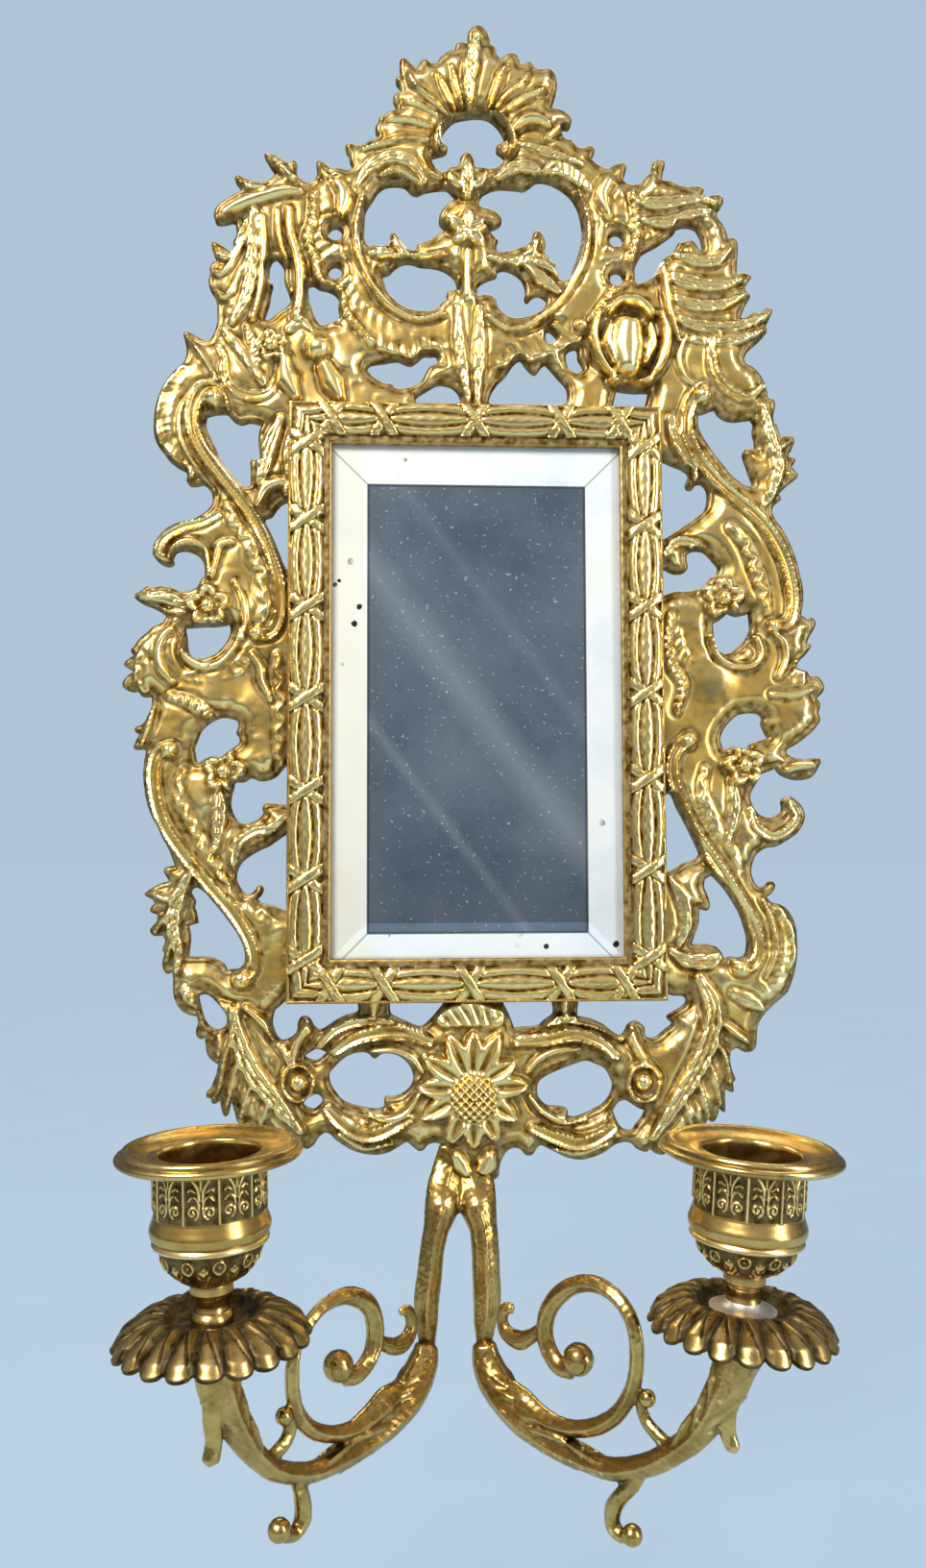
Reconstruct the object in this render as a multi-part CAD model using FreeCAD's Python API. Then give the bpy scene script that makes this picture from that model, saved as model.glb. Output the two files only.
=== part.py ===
import FreeCAD, Part
import math
import os

# Girandole mirror: a pierced rocaille brass frame on a wall, with a bevelled glass and
# two candle arms on a forked yoke below.
# +X right, +Y into the wall, +Z up. The wall is the plane y = 0, and the origin is the
# centre of the pattern of four wall-screw holes in the shoulders of the frame.
# All sizes are millimetres.

V = FreeCAD.Vector

# ---- wall fixing ---------------------------------------------------------------------
hole_spacing_x = 83.0
hole_spacing_z = 11.6
wall_hole_r = 2.0

# ---- frame casting -------------------------------------------------------------------
frame_width = 203.2             # across the side curls
crest_rise = 129.7              # sight's top edge to the tip of the crest
apron_drop = 62.5               # sight's bottom edge to the tab of the apron
plate_t = 2.6                   # web that the ornament stands on
hole_to_sight = 59.2            # hole pattern down to the sight's top edge
sight_w = 82.4
sight_h = 145.7
sight_x = -0.7                  # middle of the sight, a little left of the hole pattern

# ---- moulding round the sight --------------------------------------------------------
moulding_w = 12.3
moulding_front = 11.4           # crest of its reeds above the wall
reed_share = 0.21               # one reed's share of the moulding's width
reed_start = 2.6                # flat between the sight and the reeds
reed_depth = 1.4
lip_t = 0.7                     # lip in front of the glass
outer_fall = 0.6                # the moulding's outer edge above the web
reed_fall = 1.8                 # the foot of its outermost reed above the web
back_recess = 1.8               # behind the moulding, room for the turn buttons
recess_margin = 1.7             # rim left between that recess and the moulding's edge

# ---- mirror and its backing ----------------------------------------------------------
glass_t = 4.0
glass_lap = 3.0                 # hidden under the lip, all round
glass_play = 0.3
bevel_w = 9.8                   # bevel seen inside the lip
bevel_drop = 1.2
packing_t = 0.6
board_t = 1.5
board_set = 0.1                 # board stands this far inside the recess floor

# ---- turn buttons --------------------------------------------------------------------
button_w = 5.0
button_reach = 9.0              # pivot to the end that holds the board
button_tail = 2.7
button_t = 0.8
button_gap = 0.05
button_inset = 4.2              # pivot beyond the rebate's edge
button_spread = 44.0            # pivots above and below the middle of the sight
screw_r = 1.0
screw_clear = 0.1
screw_head_r = 2.0
screw_head_t = 0.5
screw_depth = 4.0

# ---- sunflower boss, its bolt and the yoke's tongue -----------------------------------
boss_x = -2.0
boss_drop = 39.2                # sight's bottom edge to the middle of the sunflower
boss_r = 15.2
boss_front = 6.2
seat_r = 8.6                    # flat seat under the seed head
seat_front = 7.2
petal_count = 12
petal_front = 8.8
petal_tip_r = 15.6
petal_gap = 0.15                # petals start this far outside the seed head
petal_half_share = 0.17         # a petal's half width as a share of the boss's radius
disc_share = 0.8                # the round ground under the petals
disc_tail_share = 0.72          # the round ground over the yoke's tongue
seed_r = 6.6
seed_h = 3.6
bolt_r = 2.0
bolt_clear = 0.1
washer_r = 4.0
washer_t = 0.4
nut_r = 3.2
nut_t = 1.6
tongue_t = 2.4
tongue_w = 11.6
tongue_top = 8.0                # above the bolt
tongue_play = 0.5
shoulder_drop = 54.0            # sight's bottom edge to where the yoke widens

# ---- yoke and arms -------------------------------------------------------------------
yoke_foot_drop = 104.2          # sight's bottom edge to the stems' joints
joint_y = -12.0
joint_x = {"left": -15.4, "right": 0.3}
seat_drop = {"left": 74.5, "right": 75.0}    # sight's bottom edge to the candle seats
seat_x = {"left": -64.0, "right": 54.8}
seat_y = -72.0
lean = {"left": -1.4, "right": 4.0}          # candle axes lean to the right, degrees
arm_thickness = 1.0             # an arm's depth as a share of its width

# ---- pans, cups and nozzles ----------------------------------------------------------
stud_r = 2.0
stud_clear = 0.1
stud_spigot = 6.0
stud_top = 8.4
run_gap = 0.1                   # between turning faces
pan_r = {"left": 22.0, "right": 21.3}
pan_t = 1.1
pan_lobes = 20
pan_lobe_rise = 1.5
pan_crest_r = 10.4
pan_crest = 1.9
pan_droop = 3.6
pan_shoulder = 0.6              # halfway out, above the well
brim_share = 0.93               # the brim turns down at this share of the radius
brim_droop = 0.55               # and has fallen this share of the droop
well_play = 1.0                 # well outside the largest foot
foot_r = {"left": 4.9, "right": 7.6}
foot_h = {"left": 2.3, "right": 2.3}
foot_edge = 0.5
foot_flare = 0.75               # share of the foot's height where its flare ends
neck_r = 3.9
neck_h = 3.4
collar_r = 4.75
collar_h = 2.8
bowl_h = {"left": 8.4, "right": 7.1}
bowl_r = 11.6
ring_r = 13.4
ring_h = 6.7
turned_edge = 0.3               # small steps and rounded edges of turned pieces
bowl_turns = [(0.68, 0.24), (0.9, 0.58)]     # shares of the bowl's radius and height
lip_share = 0.19                # thin lip under the ring, share of the ring's height
ring_turns = [(0.8, 0.27), (0.0, 0.60), (0.4, 0.81)]    # inside the ring's radius, share up
cup_h = 11.4                    # arcaded cylinder
candle_r = 11.0
sleeve_t = 0.6
sleeve_play = 0.1
cup_t = 0.75
sleeve_len = 17.0
nozzle_rim_r = 20.7
nozzle_rim_h = 3.3
# the rim's turns: how far inside its radius (or outside the candle's), share of its height
rim_lower = [(4.2, 0.0), (1.0, 0.03), (0.0, 0.36), (1.1, 0.66)]
rim_upper = [(1.5, 0.85), (2.1, 1.0), (3.0, 0.86)]
rim_dish = [(3.8, 0.5), (0.9, 0.42), (0.0, 0.12)]

# ---- how the frame's face was drawn --------------------------------------------------
# The outline and the ornament are hand-placed points on a front view of the frame, with
# u to the right and v downward. These are that view's own sizes.
view_focal = 1250.0
view_u = 482.0
view_v = 816.0
view_distance = 347.0
view_lean = 3.1                 # degrees, the frame's top is further away
view_turn = 3.0                 # degrees, the frame's right side is further away
view_shift_x = 4.4
view_shift_z = 24.45
edge_depth = 2.0                # the outline lies this far before the wall
# where that view has the frame's edges and the sight's edges, mm from its own middle
drawn_x = (-101.5, -41.9, 40.5, 101.6)
drawn_z = (-136.2, -73.7, 72.0, 201.7)

K = "corner"
OUTER = [
 (487,45),K,(487,36),(491,29),(497,26),(504,29),(509,37),(511,47),K,(515,48),(517,55),(521,61),K,
 (525,58),(530,55),(537,56),(540,60),(542,67),K,(546,66),(550,64),(555,66),(558,71),K,(564,72),
 (570,71),(576,74),(579,80),(580,90),(578,100),(574,112),K,(580,113),(588,116),(594,121),(595,127),
 (592,133),(586,133),(585,138),(589,144),(596,146),(601,152),(606,154),(614,151),(618,153),(619,158),
 (616,165),K,(620,169),(626,173),(633,175),(641,171),(649,169),(652,174),(651,180),(649,187),K,
 (654,191),(660,192),(667,190),(673,184),(677,178),(680,169),(687,166),(691,167),(692,173),(690,180),
 (689,187),K,(694,188),(702,189),(708,193),(719,194),(729,194),(733,198),(730,202),K,(734,205),
 (742,203),(750,203),(753,208),(751,215),(745,220),K,(748,227),(754,236),(758,248),K,(763,247),
 (767,251),(768,261),(767,277),(767,284),K,(775,284),(782,287),(780,292),(775,299),K,(778,304),
 (781,307),(780,311),(775,320),(771,330),K,(778,329),(786,323),K,(790,326),(797,321),(801,320),
 (804,324),(801,332),(797,340),K,(798,346),(791,354),(780,364),(775,372),(776,377),(783,381),
 (790,388),(795,397),(798,405),(799,413),K,(802,414),(806,417),(807,423),(805,433),(806,440),K,
 (808,441),(810,447),(813,455),K,(822,453),(827,458),(824,468),(820,474),K,(827,477),(828,480),
 (824,486),K,(831,494),(829,498),(819,506),(811,514),K,(813,520),(806,526),(804,533),(808,542),
 (814,550),(822,565),(829,583),(833,599),(836,613),(836,627),(834,640),K,(840,644),(845,643),
 (849,647),(848,653),(842,664),(840,670),K,(845,672),(838,682),(832,688),(829,695),K,(834,697),
 (840,699),(843,704),K,(849,703),(855,708),(858,715),(856,721),(850,727),K,(854,733),(852,742),K,
 (854,749),(851,755),(843,764),(830,774),(820,780),(819,784),(825,788),(835,790),(845,789),(854,790),
 (855,793),(849,804),(843,810),(832,812),(821,810),(813,806),(808,800),K,(800,803),(791,807),
 (789,813),(784,821),(781,829),(783,837),(788,845),(795,850),(805,850),(813,846),(815,841),(814,834),
 (819,829),(825,830),(833,837),(837,844),(838,851),(835,860),(829,868),(819,875),(808,881),(797,883),
 (788,889),(784,897),(782,907),(785,917),(790,923),(797,922),(801,918),(805,918),(807,923),(804,929),
 (798,934),K,(803,939),(811,941),(819,946),(826,957),(829,968),(830,980),(830,995),(828,1008),
 (825,1020),(820,1032),(813,1039),(804,1047),(794,1058),(789,1068),(788,1079),(787,1089),(783,1094),
 (775,1095),(767,1091),(761,1094),K,(760,1103),(762,1113),(764,1119),K,(766,1123),(763,1127),K,
 (764,1135),(762,1137),(755,1134),K,(755,1145),(755,1156),(753,1158),(749,1152),K,(747,1162),
 (742,1168),(737,1165),K,(733,1172),(726,1176),(721,1172),K,(715,1182),(706,1190),(699,1194),K,
 (694,1200),(689,1202),(684,1201),(680,1199),(677,1196),K,(673,1199),(668,1198),(662,1195),
 (658,1191),(655,1189),(648,1189),(641,1191),(634,1196),(626,1201),(615,1205),(605,1207),(591,1205),
 (580,1200),(570,1195),(563,1192),(559,1195),(555,1201),(550,1203),(546,1201),(541,1196),(534,1195),
 (527,1199),(522,1208),(520,1217),(519,1224),(514,1228),(508,1227),(500,1222),(494,1220),(487,1226),
 (479,1227),(471,1224),(468,1213),(466,1203),(463,1195),(456,1190),(450,1190),(445,1192),(441,1197),
 (436,1198),(429,1193),(423,1189),(413,1195),(403,1200),(392,1202),(379,1201),(366,1197),(356,1191),
 (349,1186),(344,1181),(339,1179),(335,1181),(331,1185),(328,1190),(324,1194),(320,1196),(316,1195),
 (308,1191),(300,1186),K,(292,1187),(284,1181),(279,1175),K,(272,1177),(264,1175),(258,1169),K,
 (252,1171),(247,1168),(245,1161),(241,1146),K,(238,1158),(236,1163),(232,1160),(230,1152),
 (229,1146),K,(224,1149),(220,1148),(220,1144),K,(215,1142),(215,1137),(219,1133),K,(222,1126),
 (225,1118),(227,1108),K,(221,1104),(216,1098),(214,1089),(213,1080),K,(210,1082),(205,1079),
 (204,1073),(206,1064),(205,1058),K,(196,1056),(188,1051),(182,1041),(180,1030),(180,1018),
 (179,1012),K,(174,1014),(170,1009),(169,1001),(171,993),K,(169,988),(172,979),(169,974),K,
 (160,974),(156,968),(163,959),K,(164,952),K,(158,950),(156,946),(161,940),K,(158,936),(150,931),
 (157,925),(166,920),(176,917),K,(173,912),(170,906),(174,902),(182,901),K,(176,885),(169,872),
 (163,859),(157,848),(152,832),(150,819),(149,806),(150,793),(152,782),K,(149,780),(141,780),
 (139,777),(145,764),K,(141,762),(141,757),(149,753),(155,742),(158,734),(158,725),K,(148,725),
 (144,719),K,(137,720),(130,717),(127,712),(132,704),(139,699),K,(134,696),(129,692),(131,688),
 (139,682),K,(136,677),(140,672),(144,666),(152,659),(160,652),(169,648),(173,641),K,(166,636),
 (158,632),(150,629),(141,623),(140,619),(148,614),(153,610),(161,611),(171,610),(180,612),(187,615),
 (196,615),(205,611),(208,605),(213,599),K,(213,591),(211,584),(206,578),(198,574),(190,573),
 (183,575),(180,581),(181,586),(177,589),(170,588),(163,583),(159,576),(160,567),(165,558),(173,550),
 (182,545),(192,542),(201,540),(209,536),(217,530),(221,523),(221,515),(217,508),(212,504),(205,505),
 (198,505),(194,500),(195,495),(193,490),K,(185,486),(176,479),(170,471),(163,461),(160,449),
 (160,436),(162,422),(166,409),(173,396),(181,386),(190,378),(194,370),(194,362),(192,353),(190,346),K,
 (195,345),(202,348),(211,353),(218,354),(223,346),(226,336),(226,327),(226,317),(223,308),(218,300),K,
 (217,292),(219,285),(218,279),(221,274),(226,271),K,(222,263),(220,254),(223,251),(232,256),
 (240,262),K,(243,260),(243,251),(246,245),(246,238),(245,232),(242,230),K,(234,232),(226,232),
 (223,227),(223,220),(227,213),(235,207),(245,201),(252,198),K,(248,192),(244,186),(247,182),
 (251,183),(259,187),(269,189),(280,187),(288,180),K,(283,175),(278,167),(275,161),(280,159),
 (287,162),(295,167),(300,170),K,(303,168),(306,166),(309,169),(309,175),(311,183),(317,189),
 (324,189),(329,185),(330,178),(329,171),(332,167),(340,171),(344,175),K,(354,175),(362,177),
 (367,174),K,(364,167),(364,162),K,(360,156),(360,151),(365,149),(370,151),K,(377,150),(383,147),
 (388,145),(394,142),K,(391,137),(391,132),(394,127),(395,122),(401,119),(406,115),(413,114),K,
 (412,110),(409,103),(411,98),(417,95),K,(416,90),(412,85),(413,81),(417,79),K,(416,72),(416,65),
 (418,61),(423,61),(429,67),(434,71),K,(436,67),(440,62),(445,62),(450,66),(455,65),K,(459,59),
 (463,56),(469,52),(473,53),K,(475,46),(480,44),(487,45),
]
HOLES = {
 "crest_c": [(461,138),(465,132),(473,125),(485,122),(498,121),(508,123),(516,129),(522,137),(526,146),K,
   (521,149),(517,152),(517,157),(522,161),(525,165),(521,172),(513,175),(501,174),(495,173),(493,165),
   (489,159),(485,158),(480,163),(477,172),(469,174),(462,179),(455,175),(450,168),(449,163),K,
   (463,159),(466,154),(465,151),K,(461,148),(460,143)],
 "heart_ul": [(380,221),(382,216),(388,207),(394,198),(402,193),(412,192),(420,193),(424,196),(428,200),
   (434,202),(441,199),(450,197),(460,196),(466,197),(470,201),(476,207),K,(469,209),(464,214),
   (460,219),(457,226),(458,233),(465,239),K,(457,243),(448,249),(440,252),(435,254),(434,258),K,
   (430,260),(424,258),(420,254),(416,247),(412,242),(408,242),(406,246),(407,251),(400,255),
   (391,255),(383,255),(380,250),(379,241)],
 "heart_ll": [(397,287),(400,294),(402,301),(408,309),(416,316),(426,321),(437,323),(448,323),(456,320),
   (460,315),(465,311),(465,305),(471,302),(476,301),K,(475,294),(472,288),(466,283),(458,279),
   (448,277),(437,276),(427,273),(418,274),(410,279),(405,284)],
 "heart_ur": [(503,201),(511,197),(522,195),(537,196),(545,197),(552,193),(557,189),(564,188),(573,190),
   (583,195),(593,203),(600,213),(604,225),(606,239),(605,252),(602,263),(598,275),(593,287),(588,292),
   (582,289),(579,282),(578,274),K,(572,271),(570,265),(567,261),(568,253),(565,244),(560,240),
   (556,242),(553,249),(549,254),(540,258),(530,261),(522,262),(518,260),(517,254),(519,250),K,
   (512,243),(506,239),K,(514,237),(521,233),(522,227),(517,221),(509,217),(501,215),(499,211),
   (500,205)],
 "heart_lr": [(498,307),(497,299),(501,294),(509,290),(517,287),(518,282),(524,280),(532,282),(540,287),
   (545,294),(547,302),(546,310),(549,314),(554,309),(561,307),(568,311),(569,315),(564,322),(556,327),
   (545,330),(533,330),(524,325),(518,318),(516,311),(511,307),(505,306)],
 "web_l": [(382,384),(386,379),(399,377),(413,375),(424,379),(429,379),(436,374),(441,370),(448,370),
   (454,370),(455,377),(448,381),(444,387),(439,396),(431,401),(420,404),(411,403),(408,399),(399,398),
   (389,392),(384,387)],
 "arch_l": [(432,414),(439,409),(447,404),(455,400),(463,400),(471,403),(477,409),(479,416),(477,421),K,
   (434,421),K],
 "arch_r": [(509,418),(511,410),(517,400),(526,391),(533,381),(539,375),(543,375),(547,381),(553,387),
   (557,389),(561,385),(564,381),(568,379),(574,385),(581,393),(589,402),(591,410),(590,418),(586,421),K,
   (562,421),(517,422),(512,421),K],
 "eye_r": [(568,350),(569,345),(572,344),(576,347),(579,351),(577,355),(572,358),(569,355)],
 "crescent_r": [(589,373),(590,367),(596,363),(601,364),(602,373),(607,382),(606,385),(601,388),
   (594,385),(590,379)],
 "slot_l": [(283,271),(288,269),(294,276),(296,283),(296,293),(300,304),(303,313),K,(299,319),(291,324),
   (282,332),(275,333),K,(276,328),(280,316),(282,304),(284,296),(281,292),(280,282),(281,276)],
 "pear_l": [(321,298),(326,296),(333,300),(342,302),(349,306),(353,312),(352,320),(353,328),(352,333),
   (344,336),(336,338),(331,335),(327,327),(323,316),(321,306)],
 "scroll_ul": [(215,433),(222,431),(235,430),(239,433),(244,438),(251,441),(259,439),(267,440),(273,442),K,
   (270,449),(269,460),(270,470),(271,478),K,(260,479),K,(261,490),(261,499),(261,505),(257,506),
   (252,505),(248,501),(239,490),(231,480),(224,465),(218,452),(214,441)],
 "wedge_l": [(276,540),(283,537),(288,530),(294,524),(302,522),(305,527),(305,544),(304,568),(303,590),
   (300,592),(297,590),(294,584),(289,571),(283,557),(277,545)],
 "flower_l": [(193,654),(200,653),(213,652),(222,652),(232,651),(238,650),(240,656),(238,664),(233,672),
   (225,680),(216,684),(208,685),(200,683),(196,677),(195,669),(194,661)],
 "drop_l": [(203,785),(202,779),(205,771),(210,760),(219,752),(230,747),(241,748),(247,751),(248,757),
   (246,763),(249,768),(249,773),(243,778),(235,784),(229,788),(222,787),(213,790),(207,794),(204,791)],
 "notch_l": [(245,815),(254,814),(262,810),(270,813),(280,812),(288,808),(294,801),(300,796),(303,800),
   (303,814),(303,828),(301,836),(294,837),(285,836),(277,836),(273,841),(274,846),(270,852),(262,856),
   (254,857),(248,855),(243,848),(240,838),(241,828),(243,821)],
 "tri_l": [(299,868),(290,874),(280,881),(269,886),(259,892),(251,899),(247,907),(246,915),(249,923),
   (254,929),(261,930),(266,926),(268,922),(272,922),(274,926),(272,932),(268,936),K,(272,940),
   (285,943),(294,947),(301,948),(304,942),(304,926),(303,902),(302,878),(302,870)],
 "bow_l": [(200,926),(205,924),(213,929),(221,938),(231,950),(240,962),(248,974),(253,985),(255,995),
   (254,1002),(249,1008),(241,1009),(236,1010),K,(233,1004),(225,999),(216,996),(206,996),(196,996),K,
   (197,988),(198,975),(196,964),K,(206,961),K,(204,950),(202,945),K,(203,938),(199,930)],
 "eye_l": [(207,1038),(213,1035),(219,1037),(225,1043),(232,1051),(236,1059),(235,1067),(230,1071),
   (224,1072),(217,1068),(212,1060),(209,1049)],
 "apron_l": [(286,1052),(296,1043),(304,1035),(318,1032),(338,1032),(359,1034),(371,1036),K,(372,1043),
   (372,1053),(360,1057),(350,1062),(341,1068),(333,1072),(327,1068),(323,1061),(318,1058),(313,1059),
   (310,1064),(309,1073),(304,1079),(294,1083),(288,1078),(284,1068),(284,1060)],
 "apron_ml": [(408,1037),K,(437,1036),(464,1036),K,(461,1045),(455,1053),(447,1062),(440,1068),
   (434,1068),(424,1064),(413,1059),(407,1055),(406,1046)],
 "apron_mr": [(520,1036),K,(536,1034),(573,1033),K,(574,1040),(576,1050),(575,1056),(567,1062),
   (560,1068),(549,1069),(536,1070),(534,1066),(530,1056),(525,1046)],
 "apron_r": [(602,1034),K,(619,1034),(640,1033),(656,1030),(677,1031),(690,1032),(699,1036),(711,1037),
   (715,1042),(712,1047),(706,1051),(696,1057),(695,1061),K,(700,1066),(693,1072),(685,1079),(678,1081),
   (672,1078),(671,1070),(667,1065),(661,1063),(654,1067),(651,1073),(646,1078),(638,1074),(629,1067),
   (616,1061),(603,1058),(601,1055),(602,1043)],
 "oval_l": [(360,1100),(370,1096),(382,1096),(390,1102),(398,1097),(408,1097),(418,1101),(426,1109),
   (430,1119),(429,1128),(423,1136),(414,1141),(405,1142),(400,1141),K,(400,1149),(399,1153),
   (390,1155),(378,1153),(368,1151),(357,1146),(349,1137),(344,1128),(343,1118),(349,1110),(355,1104)],
 "diamond_lu": [(318,1099),(325,1094),(331,1092),(339,1095),(338,1098),(330,1104),(320,1102)],
 "diamond_ll": [(316,1150),(321,1143),(330,1139),(336,1145),(331,1152),(325,1155)],
 "oval_r": [(559,1136),(560,1128),(565,1122),(576,1116),(588,1111),(599,1107),(610,1104),(619,1107),
   (629,1112),(635,1121),(638,1131),(634,1142),(626,1151),(613,1158),(600,1163),(591,1162),K,
   (590,1154),(580,1152),(570,1151),(562,1144)],
 "diamond_r": [(638,1156),(643,1148),(650,1145),(656,1148),(664,1153),(672,1156),K,(669,1163),
   (662,1172),(658,1177),(650,1176),(645,1171),(641,1164)],
 "horn_r": [(661,289),(661,279),(666,268),(671,262),(684,255),(694,248),(702,242),(705,237),(713,235),
   (723,237),(728,243),(731,251),(732,261),(728,259),(722,251),(717,250),(711,252),(706,253),K,
   (702,260),(697,265),(689,272),(684,280),(680,288),(673,292),(666,295),(662,293)],
 "square_r": [(638,423),(641,410),(642,406),K,(657,408),(675,408),K,(673,418),(670,426),K,(652,427),
   (639,426)],
 "scroll_ur": [(727,431),(735,429),(744,426),(748,431),(755,436),(764,438),(774,437),(782,436),K,
   (785,441),(784,449),(786,458),(787,467),K,(780,467),(775,468),K,(774,474),(778,486),(782,498),
   (784,502),(783,506),(779,506),(771,502),(761,494),(753,484),(742,470),(732,455),(727,444)],
 "bay_ru": [(683,482),(690,480),(700,484),(710,488),(716,492),K,(717,496),(714,504),(716,509),
   (721,509),(725,504),(731,504),(736,510),(737,518),(735,528),(729,535),(720,542),(710,549),(699,556),
   (690,561),(687,559),(685,549),(684,533),(683,512),(683,493)],
 "bay_rl": [(689,618),(687,608),(688,599),(691,592),(697,595),(704,597),(712,596),(716,591),(715,584),
   (715,578),(720,574),(726,573),(734,575),(742,583),(748,591),(746,598),K,(739,602),(734,608),(726,613),
   (716,615),(705,615),(697,617),(692,619)],
 "flower_r": [(742,649),(750,645),(758,638),K,(766,641),(774,640),(780,638),K,(781,647),(781,656),
   (776,666),(769,673),(761,679),(753,680),(747,676),(744,669),(743,660)],
 "drop_r": [(751,774),(750,769),(753,760),(761,750),(769,744),(781,742),(790,743),(794,748),(793,753),
   (797,763),(799,768),(790,771),(782,774),(777,779),(766,777),(758,778),(753,780)],
 "tri_r": [(692,829),(696,826),(700,829),(705,841),(712,854),(720,870),(727,885),(728,890),(723,895),
   (713,898),(707,902),(699,906),(692,906),(690,902),(690,886),(689,862),(688,846),(689,835)],
 "bow_r": [(734,915),(741,912),(747,917),(755,926),(763,938),(770,950),(774,961),(778,975),(778,988),
   (776,994),(770,997),(762,996),(754,997),(751,991),(746,986),(738,983),(728,983),(720,983),K,(723,974),
   (727,962),(728,953),(728,946),K,(735,948),(739,946),K,(739,941),(737,933),(733,923)],
}

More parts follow.
